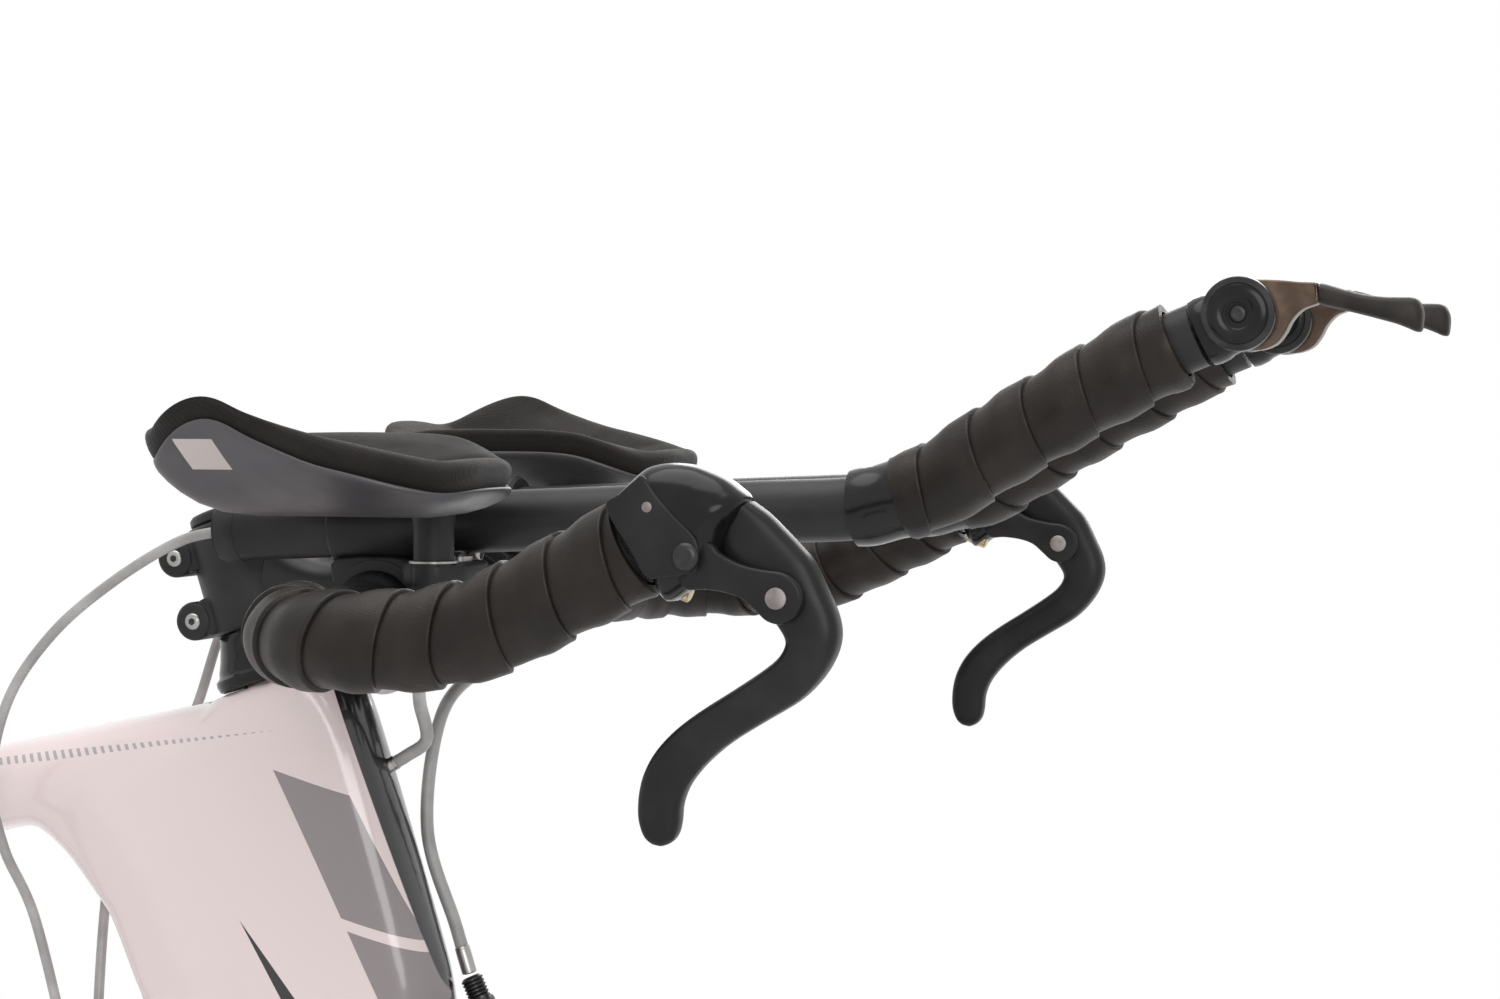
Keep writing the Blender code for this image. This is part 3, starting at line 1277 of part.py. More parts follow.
def brake_arms(front, place, joints):
    """Two arms on their pins, each with its shoe beside the rim. The first arm carries the cable adjuster."""
    word = "front" if front else "rear"
    origin, side, reach, outward = place
    level = BRAKE_MOUNT_OUT + 0.005 + GAP + BRAKE_ARM_THICKNESS / 2
    a, b = BRAKE_SIDE_PIVOT
    pin = BRAKE_PIN_RADIUS + GAP
    far = BRAKE_REACH + 0.006
    near_outline = (
        arc((0, 0), 0.0085, 100, 215, 6)
        + [(0.0045, -0.0190), (0.0075, CABLE_STOP_DOWN - 0.004), (0.0195, CABLE_STOP_DOWN - 0.003),
            (0.0200, -0.0140)]
        + [(0.0270, -0.0030), (0.0335, 0.0120), (0.0340, 0.0300), (0.0300, far), (0.0200, far)]
        + [(0.0235, 0.0330), (0.0225, 0.0190), (0.0150, 0.0110)]
    )
    hole = arc((0, 0), pin, 0, 324, 10)
    arm = plate(f"{word}_brake_arm_left", [near_outline, hole], brake_point(place, 0, 0, level), side,
        reach, BRAKE_ARM_THICKNESS, BLACK_ALLOY)
    stop_low = brake_point(place, CABLE_ACROSS, CABLE_STOP_DOWN + 0.002, level)
    join(arm, rod(f"{word}_adjuster", stop_low, stop_low - reach * 0.0140, 0.0042, SILVER, 10))
    second = level + BRAKE_ARM_THICKNESS + GAP
    far_outline = (
        [(CABLE_ACROSS + 0.005, -0.0140), (CABLE_ACROSS + 0.005, -0.0070), (0.0, -0.0058), (-0.0105, -0.0010)]
        + [(-0.0150, 0.0110), (-0.0225, 0.0190), (-0.0235, 0.0330), (-0.0200, far), (-0.0300, far)]
        + [(-0.0340, 0.0300), (-0.0350, 0.0100), (-0.0305, -0.0075), (-0.0220, -0.0125), (0.0, -0.0145)]
    )
    side_hole = arc((a, b), pin, 0, 324, 10)
    other = plate(f"{word}_brake_arm_right", [far_outline, side_hole], brake_point(place, 0, 0, second),
        side, reach, BRAKE_ARM_THICKNESS, BLACK_ALLOY)
    for name, body, sign, at in (("left", arm, 1, level), ("right", other, -1, second)):
        middle = brake_point(place, sign * (RIM_WIDTH / 2 + 0.0022 + 0.0030), BRAKE_REACH, at - 0.004)
        corners = [(-0.0030, -0.0022), (0.0030, -0.0022), (0.0030, 0.0055), (-0.0030, 0.0055)]
        rings = [[middle + side * p + reach * q + outward * run for p, q in corners] for run in (-0.0200,
            0.0200)]
        join(body, loft(f"{word}_shoe_{name}", rings, RUBBER))
        stud = brake_point(place, sign * (RIM_WIDTH / 2 + 0.0075), BRAKE_REACH, at)
        join(body, rod(f"{word}_stud_{name}", stud, stud + side * sign * 0.008, 0.0032, STEEL, 8))
    hang(joints[0], arm)
    hang(joints[1], other)


# Wheels


def tyre(name, axle, joint):
    """A tyre that sits between the rim's flanges."""
    seat_half = RIM_WIDTH / 2 - 0.0018 - GAP
    edge = RIM_SEAT_RADIUS + RIM_FLANGE
    half = TYRE_WIDTH / 2
    profile = [
        (-seat_half, RIM_SEAT_RADIUS + GAP),
        (-seat_half - 0.0006, edge + GAP),
        (-half, edge + 0.0080),
        (-half * 0.42, WHEEL_RADIUS),
        (half * 0.42, WHEEL_RADIUS),
        (half, edge + 0.0080),
        (seat_half + 0.0006, edge + GAP),
        (seat_half, RIM_SEAT_RADIUS + GAP),
    ]
    hang(joint, turned_ring(name, axle, SIDE, profile, RUBBER, WHEEL_SEGMENTS))


def rim(name, axle):
    half = RIM_WIDTH / 2
    edge = RIM_SEAT_RADIUS + RIM_FLANGE
    inner = edge - RIM_DEPTH
    wall = 0.0016
    profile = [
        (-half, edge),
        (-half, edge - 0.011),
        (0.0, inner),
        (half, edge - 0.011),
        (half, edge),
        (half - wall, RIM_SEAT_RADIUS),
        (-half + wall, RIM_SEAT_RADIUS),
    ]
    return turned_ring(name, axle, SIDE, profile, BLACK_ALLOY, WHEEL_SEGMENTS)


def spokes(body, name, axle, count, flanges, radius, cross_deg):
    """Bladed spokes from both flanges to the rim, laced alternately."""
    tip = RIM_SEAT_RADIUS + RIM_FLANGE - RIM_DEPTH + 0.004
    for i in range(count):
        side = i % 2
        turn = 2 * pi * (i + 0.37) / count
        way = 1 if (i // 2) % 2 else -1
        lean = radians(cross_deg) * way
        seat_y = flanges[side] + (SPOKE_STAGGER * way if cross_deg else 0.0)
        start = axle + Vector((radius * sin(turn + lean), seat_y, radius * cos(turn + lean)))
        end = axle + Vector((tip * sin(turn), 0.0015 * (1 if side else -1), tip * cos(turn)))
        ahead = (end - start).normalized()
        outline = [(SPOKE_RADIUS * 1.3, 0.0), (0.0, SPOKE_RADIUS * 0.8), (-SPOKE_RADIUS * 1.3, 0.0), (0.0,
            -SPOKE_RADIUS * 0.8)]
        across = (SIDE - ahead * ahead.y).normalized()
        rings = [ring_at(p, ahead.cross(across), across, outline) for p in (start, end)]
        join(body, loft(f"{name}_spoke_{i:02d}", rings, STEEL))


def hub(name, axle, profile, bore):
    shell = [(h, r) for h, r in profile] + [(profile[-1][0], bore), (profile[0][0], bore)]
    return turned_ring(name, axle, SIDE, shell, BLACK_ALLOY, 12)


def front_wheel():
    tyre("front_tyre", FRONT_AXLE, "front_wheel_spin")
    wheel = rim("front_wheel", FRONT_AXLE)
    end = FRONT_HUB_WIDTH / 2 - 0.0075
    flange = FRONT_HUB_WIDTH / 2 - 0.0150
    bore = FRONT_AXLE_RADIUS + GAP
    profile = [(-end, 0.0100), (-flange - 0.0020, 0.0120), (-flange - 0.0015, 0.0200), (-flange + 0.0015,
        0.0200),
               (-flange + 0.0040, 0.0110), (flange - 0.0040, 0.0110), (flange - 0.0015, 0.0200),
               (flange + 0.0015, 0.0200), (flange + 0.0020, 0.0120), (end, 0.0100)]
    middle = hub("front_hub", FRONT_AXLE, profile, bore)
    join(wheel, middle)
    spokes(wheel, "front", FRONT_AXLE, FRONT_SPOKES, (-flange, flange), 0.0175, 0.0)
    hang("front_wheel_spin", wheel)


FREEHUB_RADIUS = 0.0165


def rear_wheel():
    tyre("rear_tyre", REAR_AXLE, "rear_wheel_spin")
    wheel = rim("rear_wheel", REAR_AXLE)
    right = -0.0180
    left = 0.0350
    bore = REAR_AXLE_RADIUS + GAP
    profile = [(right - 0.0025, 0.0150), (right - 0.0020, 0.0240), (right + 0.0015, 0.0240),
        (right + 0.0060, 0.0130),
               (left - 0.0050, 0.0120), (left - 0.0015, 0.0220), (left + 0.0015, 0.0220), (left + 0.0025,
                   0.0130),
               (REAR_HUB_WIDTH / 2 - 0.0080, 0.0110)]
    middle = hub("rear_hub", REAR_AXLE, profile, bore)
    join(wheel, middle)
    spokes(wheel, "rear", REAR_AXLE, REAR_SPOKES, (right, left), 0.0205, 40.0)
    hang("rear_wheel_spin", wheel)


def axle_set(name, axle, width, radius, right_nut, parent):
    """Fixed axle with its lock nuts, skewer nut and the head that the quick-release lever turns in."""
    half = width / 2
    over = half + DROPOUT_THICKNESS
    sign = -1
    profile = [
        (sign * (over + 0.0130), 0.0055),
        (sign * (over + 0.0120), 0.0085),
        (sign * (over + GAP), 0.0085),
        (sign * (over + GAP), radius),
        (sign * (half - GAP), radius),
        (sign * (half - GAP), 0.0080),
        (sign * (half - right_nut), 0.0080),
        (sign * (half - right_nut), radius),
        (-sign * (half - 0.0060), radius),
        (-sign * (half - 0.0060), 0.0080),
        (-sign * (half - GAP), 0.0080),
        (-sign * (half - GAP), radius),
        (-sign * (over + GAP), radius),
        (-sign * (over + GAP), 0.0088),
        (-sign * (over + 0.0050), 0.0088),
        (-sign * (over + 0.0055), 0.0075),
    ]
    body = turned(name, axle, SIDE, profile, STEEL, 8)
    fork_y = -sign * (over + 0.0115)
    low = axle + Vector((-0.0075, min(-sign * (over + 0.0052), fork_y - sign * 0.006), -0.0075))
    high = axle + Vector((0.0075, max(-sign * (over + 0.0052), fork_y - sign * 0.006), 0.0075))
    join(body, box(f"{name}_head", low, high, STEEL))
    bore = rod(f"{name}_cam_bore", axle + Vector((0, fork_y, -0.012)), axle + Vector((0, fork_y, 0.012)),
        0.0042, STEEL, 12)
    cut(body, bore)
    if parent:
        hang(parent, body)


def release_lever(name, axle, width, side, joint):
    """Quick-release lever: a cam barrel across the skewer head with a curved handle."""
    y = side * (width / 2 + DROPOUT_THICKNESS + 0.0115)
    centre = axle + Vector((0, y, 0))
    barrel = rod(name, centre - UP * 0.0090, centre + UP * 0.0120, 0.0042 - GAP, STEEL, 12)
    path = [centre + Vector(p) for p in ((0.0050, 0.0, 0.0115), (-0.0130, 0.0, 0.0122), (-0.0240, 0.0,
        0.0095),
                                         (-0.0420, -side * 0.0010, 0.0050), (-0.0540, -side * 0.0010,
                                             0.0030))]
    widths = ((0.0030, 0.0075), (0.0038, 0.0075), (0.0045, 0.0060), (0.0060, 0.0045), (0.0045, 0.0035))
    outlines = [section(half, half, wide, 8, 0.85) for half, wide in widths]
    join(barrel, swept(f"{name}_handle", path, outlines, STEEL, SIDE))
    hang(joint, barrel)


# Drivetrain


def pitch_radius(teeth):
    return CHAIN_PITCH / 2 / sin(pi / teeth)


TOOTH_TIP = 0.0024
TOOTH_ROOT = 0.0049


def toothed(teeth, phase=0.0, detail=3):
    """The outline of a sprocket. Its first roller pocket lies at phase, a share of a full turn."""
    radius = pitch_radius(teeth)
    outline = []
    shape = ((0.25, -TOOTH_ROOT), (0.5, TOOTH_TIP), (0.75, -TOOTH_ROOT))
    if detail == 2:
        shape = ((0.0, -TOOTH_ROOT), (0.5, TOOTH_TIP))
    for i in range(teeth):
        for share, rise in shape:
            turn = 2 * pi * (phase + (i + share) / teeth)
            outline.append(((radius + rise) * sin(turn), (radius + rise) * cos(turn)))
    return outline


X_AXIS = Vector((1, 0, 0))


def chain_path():
    """Straight runs and arcs of the chain, as (kind, data) in the order it travels."""
    guide, tension = pulley_centres()
    wheels = [
        (BB, pitch_radius(OUTER_RING_TEETH), -1),
        (tension, pitch_radius(PULLEY_TEETH), -1),
        (guide, pitch_radius(PULLEY_TEETH), 1),
        (REAR_AXLE, pitch_radius(COGS[DRIVEN_COG]), -1),
    ]
    lines = []
    for (c1, r1, s1), (c2, r2, s2) in zip(wheels, wheels[1:] + wheels[:1]):
        gap = Vector((c2.x - c1.x, c2.z - c1.z))
        swing = s2 * r2 - s1 * r1
        angle = atan2(gap.y, gap.x) - asin(swing / gap.length)
        run = Vector((cos(angle), sin(angle)))
        left = Vector((-run.y, run.x))
        lines.append((Vector((c1.x, c1.z)) - s1 * r1 * left, Vector((c2.x, c2.z)) - s2 * r2 * left))
    return wheels, lines


GUIDE_OFFSET = Vector((0.006, 0, -0.070))
CAGE_LENGTH = 0.056
CAGE_ANGLE_DEG = -68.0


def pulley_centres():
    guide = REAR_AXLE + GUIDE_OFFSET
    lean = radians(CAGE_ANGLE_DEG)
    return guide, guide + CAGE_LENGTH * Vector((cos(lean), 0, sin(lean)))


def chain_pins():
    """Pin centres round the loop, each with its direction of travel and the sprocket that it lies on."""
    wheels, lines = chain_path()
    teeth = (OUTER_RING_TEETH, PULLEY_TEETH, PULLEY_TEETH, COGS[DRIVEN_COG])
    arcs = []
    for k, (centre, radius, sense) in enumerate(wheels):
        arrive, leave = lines[k - 1][1], lines[k][0]
        start = atan2(arrive.y - centre.z, arrive.x - centre.x)
        end = atan2(leave.y - centre.z, leave.x - centre.x)
        sweep = (end - start) * sense % (2 * pi)
        step = 2 * pi / teeth[k]
        count = int(sweep / step + 0.25)
        first = start + sense * (sweep - count * step) / 2
        turns = [first + sense * step * i for i in range(count + 1)]
        pins = []
        for turn in turns:
            out = Vector((cos(turn), sin(turn)))
            pins.append((Vector((centre.x, centre.z)) + out * radius, Vector((-sense * out.y,
                sense * out.x)), k))
        arcs.append(pins)
    pins = []
    for k in range(4):
        pins += arcs[k]
        start, end = arcs[k][-1][0], arcs[(k + 1) % 4][0][0]
        ahead = (end - start).normalized()
        count = round((end - start).length / CHAIN_PITCH)
        pins += [(start.lerp(end, i / count), ahead, None) for i in range(1, count)]
    return pins


ROLLER_HALF = 0.0028


def near_teeth(place):
    """Whether the teeth of a sprocket reach the chain here."""
    wheels, _ = chain_path()
    reach = TOOTH_TIP + CHAIN_PLATE_HALF + 2 * GAP
    return any(hypot(place.x - c.x, place.y - c.z) < radius + reach for c, radius, _ in wheels)


def chain():
    """Roller chain as one body. Near the sprockets it has a window for each tooth between its side plates;
    on the straight runs inner and outer links alternate."""
    wheels, _ = chain_path()
    pins = chain_pins()
    points = []
    faces = []

    def station(place, ahead, half_height, widths):
        normal = Vector((-ahead.y, ahead.x))
        base = len(points)
        for sign in (1, -1):
            edge = place + normal * half_height * sign
            points.extend(Vector((edge.x, CHAIN_Y + y, edge.y)) for y in widths)
        return [base + i for i in range(len(widths))], [base + len(widths) + i for i in range(len(widths))]

    ladder = (-CHAIN_HALF_WIDTH, -CHAIN_HALF_GAP, CHAIN_HALF_GAP, CHAIN_HALF_WIDTH)
    open_cell = []
    for i, (place, _, _) in enumerate(pins):
        following = pins[(i + 1) % len(pins)][0]
        open_cell.append(any(near_teeth(place.lerp(following, t)) for t in (0.25, 0.5, 0.75)))
    stations = []
    for i, (place, ahead, wheel) in enumerate(pins):
        if not (open_cell[i] or open_cell[i - 1]):
            slim = i % 2
            half = CHAIN_HALF_WIDTH - (0.0006 if slim else 0.0)
            stations.append((station(place, ahead, CHAIN_PLATE_HALF - (0.0008 if slim else 0.0), (-half,
                half)), False))
            continue
        for sign in (-1, 1):
            at, run = place + ahead * sign * ROLLER_HALF, ahead
            if wheel is not None:
                centre, radius, sense = wheels[wheel]
                arm = place - Vector((centre.x, centre.z))
                arm.rotate(Matrix.Rotation(sense * sign * ROLLER_HALF / radius, 2))
                out = arm.normalized()
                at = Vector((centre.x, centre.z)) + out * radius
                run = Vector((-sense * out.y, sense * out.x))
            stations.append((station(at, run, CHAIN_PLATE_HALF, ladder), sign == 1 and open_cell[i]))
    for k, ((top, low), windowed) in enumerate(stations):
        far_top, far_low = stations[(k + 1) % len(stations)][0]
        faces.append((top[0], far_top[0], far_low[0], low[0]))
        faces.append((far_top[-1], top[-1], low[-1], far_low[-1]))
        if not windowed:
            faces.append((*top, *far_top[::-1]))
            faces.append((*low[::-1], *far_low))
            continue
        for i, j in ((0, 1), (2, 3)):
            faces.append((top[i], top[j], far_top[j], far_top[i]))
            faces.append((low[j], low[i], far_low[i], far_low[j]))
        faces.append((far_top[1], top[1], low[1], far_low[1]))
        faces.append((top[2], far_top[2], far_low[2], low[2]))
        faces.append((top[1], top[2], low[2], low[1]))
        faces.append((far_top[2], far_top[1], far_low[1], far_low[2]))
    make_solid("chain", points, faces, STEEL)


def tooth_phase(centre, teeth):
    """Turn of a sprocket, as a share of a full turn, that puts its pockets under the chain's pins."""
    radius = pitch_radius(teeth)
    for place, _, wheel in chain_pins():
        if wheel is not None and abs(hypot(place.x - centre.x, place.y - centre.z) - radius) < 1e-6:
            return atan2(place.x - centre.x, place.y - centre.z) / (2 * pi)
    return 0.0


def ring_holes(radius, count, hole, offset_deg=0.0):
    loops = []
    for i in range(count):
        turn = radians(offset_deg) + 2 * pi * i / count
        loops.append(arc((radius * sin(turn), radius * cos(turn)), hole, 0, 300, 6))
    return loops


def crankset():
    phase = tooth_phase(BB, OUTER_RING_TEETH)
    centre = BB + SIDE * CHAIN_Y
    inner_hole = arc((0, 0), 0.0580, 0, 342, 20)
    outer = plate("outer_chainring", [toothed(OUTER_RING_TEETH, phase), inner_hole] + ring_holes(0.065, 5,
        0.0042),
                  centre, X_AXIS, UP, TOOTH_THICKNESS, BLACK_ALLOY)
    hang("crank_spin", outer)
    inner_y = CHAIN_Y + RING_SPACING
    inner = plate("inner_chainring", [toothed(INNER_RING_TEETH, 0.0, 2), arc((0, 0), 0.0585, 0, 337.5, 16)],
                  BB + SIDE * inner_y, X_AXIS, UP, TOOTH_THICKNESS, BLACK_ALLOY)
    spider = []
    for i in range(5):
        turn = 360 / 5 * i
        for offset, reach in ((-8.5, 0.0695), (8.5, 0.0695), (15, 0.0580), (36, 0.0300)):
            angle = radians(turn + offset)
            spider.append((reach * sin(angle), reach * cos(angle)))
    top = inner_y - TOOTH_THICKNESS / 2 + 0.0006
    low = CHAIN_Y + TOOTH_THICKNESS / 2 + GAP
    arms = plate("crank_right", [spider, arc((0, 0), 0.0265, 0, 345, 12)],
                 BB + SIDE * (top + low) / 2, X_AXIS, UP, top - low, BLACK_ALLOY)
    join(arms, inner, crank_arm("crank_arm_right", -1, Vector((1, 0, 0))))
    pegs = []
    for i in range(5):
        turn = 2 * pi * i / 5
        at = BB + Vector((0.065 * sin(turn), 0, 0.065 * cos(turn)))
        pegs.append(rod(f"ring_bolt_{i}", at + SIDE * (low + 0.001),
            at + SIDE * (CHAIN_Y - TOOTH_THICKNESS / 2 - 0.0022), 0.0036, STEEL, 6))
    join(arms, *pegs)
    boss = turned("crank_boss", BB, SIDE, [(-0.0505, 0.0285), (top, 0.0310)], BLACK_ALLOY, 16)
    hollow = turned("boss_hollow", BB, SIDE, [(-BB_SHELL_WIDTH / 2 - 0.0105, 0.0225), (0.0, 0.0225)],
        STEEL, 16)
    cut(boss, hollow)
    spindle = rod("crank_spindle", BB - SIDE * 0.0465, BB + SIDE * (BB_SHELL_WIDTH / 2 + 0.0262),
        SPINDLE_RADIUS, STEEL, 16)
    join(arms, boss, spindle)
    hang("crank_spin", arms)


def crank_arm(name, side, direction):
    """A tapered crank arm with a pedal axle at its end."""
    base_y = BB_SHELL_WIDTH / 2 + 0.0115
    end = BB + direction * CRANK_LENGTH
    stations = (
        (-0.019, base_y + 0.0080, 0.0040, 0.0110),
        (-0.012, base_y + 0.0080, 0.0160, 0.0155),
        (0.012, base_y + 0.0085, 0.0170, 0.0155),
        (0.050, base_y + 0.0125, 0.0140, 0.0130),
        (0.130, PEDAL_FACE_Y - 0.0070, 0.0120, 0.0125),
        (CRANK_LENGTH + 0.006, PEDAL_FACE_Y - 0.0065, 0.0135, 0.0130),
        (CRANK_LENGTH + 0.0145, PEDAL_FACE_Y - 0.0065, 0.0060, 0.0100),
    )
    up = direction.cross(SIDE)
    rings = []
    for run, y, half, width in stations:
        rings.append(ring_at(BB + direction * run + SIDE * side * y, up, SIDE, section(half, half, width,
            8, 0.65)))
    arm = loft(name, rings, BLACK_ALLOY)
    axle = rod(f"{name}_pedal_axle", end + SIDE * side * (PEDAL_FACE_Y - 0.006),
        end + SIDE * side * (PEDAL_FACE_Y + 0.055), 0.0045, STEEL, 10)
    join(arm, axle)
    return arm


def left_crank():
    arm = crank_arm("crank_left", 1, Vector((-1, 0, 0)))
    cut(arm, rod("left_arm_bore", BB, BB + SIDE * 0.080, SPINDLE_RADIUS + GAP, STEEL, 16))
    hang("crank_spin", arm)


def bottom_bracket():
    half = BB_SHELL_WIDTH / 2
    bore = SPINDLE_RADIUS + GAP
    sleeve = BB_BORE_RADIUS - GAP
    cup = 0.0212
    profile = [(-half - 0.0100, bore), (-half - 0.0100, cup), (-half - GAP, cup), (-half - GAP, sleeve),
               (half + GAP, sleeve), (half + GAP, cup), (half + 0.0100, cup), (half + 0.0100, bore)]
    turned_ring("bottom_bracket", BB, SIDE, profile, BLACK_ALLOY, 16)


def pedal(name, side, direction, joint):
    """Single-sided clipless pedal: a cast body with a tongue in front and a sprung catch behind."""
    end = BB + direction * CRANK_LENGTH
    near = PEDAL_FACE_Y + 0.0060
    outline = [(-0.040, 0.004), (-0.034, 0.010), (-0.016, 0.0085), (0.010, 0.0105), (0.038, 0.0060),
        (0.050, 0.0010),
               (0.046, -0.0030), (0.018, -0.0100), (-0.012, -0.0115), (-0.034, -0.0060)]
    body = plate(name, [outline], end + SIDE * side * (near + 0.0290), X_AXIS, UP, 0.0580, BLACK_PAINT)
    cut(body, rod(f"{name}_bore", end + SIDE * side * (near - 0.01),
        end + SIDE * side * (PEDAL_FACE_Y + 0.0554), 0.0045 + GAP, STEEL, 10))
    window_low = end + Vector((0.0140, side * (near + 0.0290) - 0.0165, -0.03))
    window_high = end + Vector((0.0340, side * (near + 0.0290) + 0.0165, 0.03))
    cut(body, box(f"{name}_window", window_low, window_high, STEEL))
    hang(joint, body)


def cassette():
    """Sprockets on the freehub, each with its own teeth, one shift click apart, as one skin."""
    bore = REAR_AXLE_RADIUS + 3 * GAP
    sides = 8
    shaped = bmesh.new()

    def level(y, loop):
        return [shaped.verts.new(REAR_AXLE + Vector((a, y, b))) for a, b in loop]

    def band(low, high):
        for i in range(len(low)):
            j = (i + 1) % len(low)
            shaped.faces.new((low[i], low[j], high[j], high[i]))

    def cap(outer, inner):
        edges = []
        for loop in (outer, inner):
            for one, two in zip(loop, loop[1:] + loop[:1]):
                edges.append(shaped.edges.get((one, two)) or shaped.edges.new((one, two)))
        bmesh.ops.triangle_fill(shaped, use_beauty=True, use_dissolve=False, edges=edges)

    def core(radius):
        return [(radius * sin(2 * pi * i / sides), radius * cos(2 * pi * i / sides)) for i in range(sides)]

    outer_y = SMALLEST_COG_Y - 0.0018
    inner_y = SMALLEST_COG_Y + (len(COGS) - 1) * COG_PITCH + 0.0015
    end = level(outer_y, core(bore))
    below = level(outer_y, core(FREEHUB_RADIUS))
    cap(below, end)
    half = TOOTH_THICKNESS / 2 - 0.0001
    for i, teeth in enumerate(COGS):
        phase = tooth_phase(REAR_AXLE, teeth) if i == DRIVEN_COG else 0.03 * i
        outline = toothed(teeth, phase, 3 if i == DRIVEN_COG else 2)
        y = SMALLEST_COG_Y + i * COG_PITCH
        low_core, low_teeth = level(y - half, core(FREEHUB_RADIUS)), level(y - half, outline)
        high_core, high_teeth = level(y + half, core(FREEHUB_RADIUS)), level(y + half, outline)
        band(below, low_core)
        cap(low_teeth, low_core)
        band(low_teeth, high_teeth)
        cap(high_teeth, high_core)
        below = high_core
    last, bottom = level(inner_y, core(FREEHUB_RADIUS)), level(inner_y, core(bore))
    band(below, last)
    cap(last, bottom)
    band(bottom, end)
    shaped.verts.index_update()
    points = [v.co.copy() for v in shaped.verts]
    faces = [[v.index for v in face.verts] for face in shaped.faces]
    shaped.free()
    hang("cassette_spin", make_solid("cassette", points, faces, STEEL, 30.0))


def pulleys():
    for name, centre, joint in (("guide_pulley", pulley_centres()[0], "guide_pulley_spin"),
                                ("tension_pulley", pulley_centres()[1], "tension_pulley_spin")):
        phase = tooth_phase(centre, PULLEY_TEETH)
        hole = arc((0, 0), 0.0025 + GAP, 0, 315, 8)
        wheel = plate(name, [toothed(PULLEY_TEETH, phase), hole], centre + SIDE * CHAIN_Y, X_AXIS, UP,
            TOOTH_THICKNESS, BLACK_PAINT)
        hang(joint, wheel)


CAGE_PIVOT_OFFSET = Vector((-0.0030, 0, 0.0050))
CAGE_HALF = 0.0060
CAGE_PLATE = 0.0016


def rear_derailleur():
    guide, tension = pulley_centres()
    ahead = (tension - guide).normalized()
    across = Vector((-ahead.z, 0, ahead.x))
    outline = arc((0, 0), 0.0110, 90, 270, 5) + [(0.028, -0.0075)] + arc((CAGE_LENGTH, 0), 0.0095, -90, 90, 5)
    outline += [(0.028, 0.0064)]
    outer_y = CHAIN_Y - CAGE_HALF - CAGE_PLATE / 2
    inner_y = CHAIN_Y + CAGE_HALF + CAGE_PLATE / 2
    cage = plate("derailleur_cage", [outline], guide + SIDE * outer_y, ahead, across, CAGE_PLATE, BLACK_ALLOY)
    join(cage, plate("cage_inner", [outline], guide + SIDE * inner_y, ahead, across, CAGE_PLATE, BLACK_ALLOY))
    for name, centre in (("cage_pin_guide", guide), ("cage_pin_tension", tension)):
        join(cage, rod(name, centre + SIDE * (outer_y - 0.002), centre + SIDE * (inner_y + 0.002), 0.0025,
            STEEL, 8))
    hang("cage_tension", cage)
    axis = guide + CAGE_PIVOT_OFFSET
    top = outer_y - 0.002 - GAP
    knuckle = turned("derailleur_pulley_knuckle", axis, SIDE, [(top - 0.0150, 0.0085), (top - 0.0135,
        0.0100), (top, 0.0100)], BLACK_ALLOY, 14)
    hang("derailleur_shift", knuckle)
    bolt = REAR_AXLE + HANGER_OFFSET + SIDE * (-REAR_HUB_WIDTH / 2 - DROPOUT_THICKNESS - GAP)
    body = turned("derailleur_link", bolt, -SIDE, [(0, 0.0090), (0.0100, 0.0095), (0.0120, 0.0080)],
        BLACK_ALLOY, 14)
    start = bolt + Vector((-0.002, -0.0062, -0.003))
    end = axis + Vector((-0.0150, top - 0.0085, 0.0030))
    path = [start, bolt + Vector((-0.0065, -0.0060, -0.0155)), end + Vector((-0.0055, -0.0030, 0.0070)), end]
    outlines = [section(a, a, b, 10, 0.75) for a, b in ((0.0070, 0.0090), (0.0065, 0.0090), (0.0050,
        0.0110), (0.0040, 0.0120))]
    join(body, swept("link_arm", path, outlines, BLACK_ALLOY, SIDE))


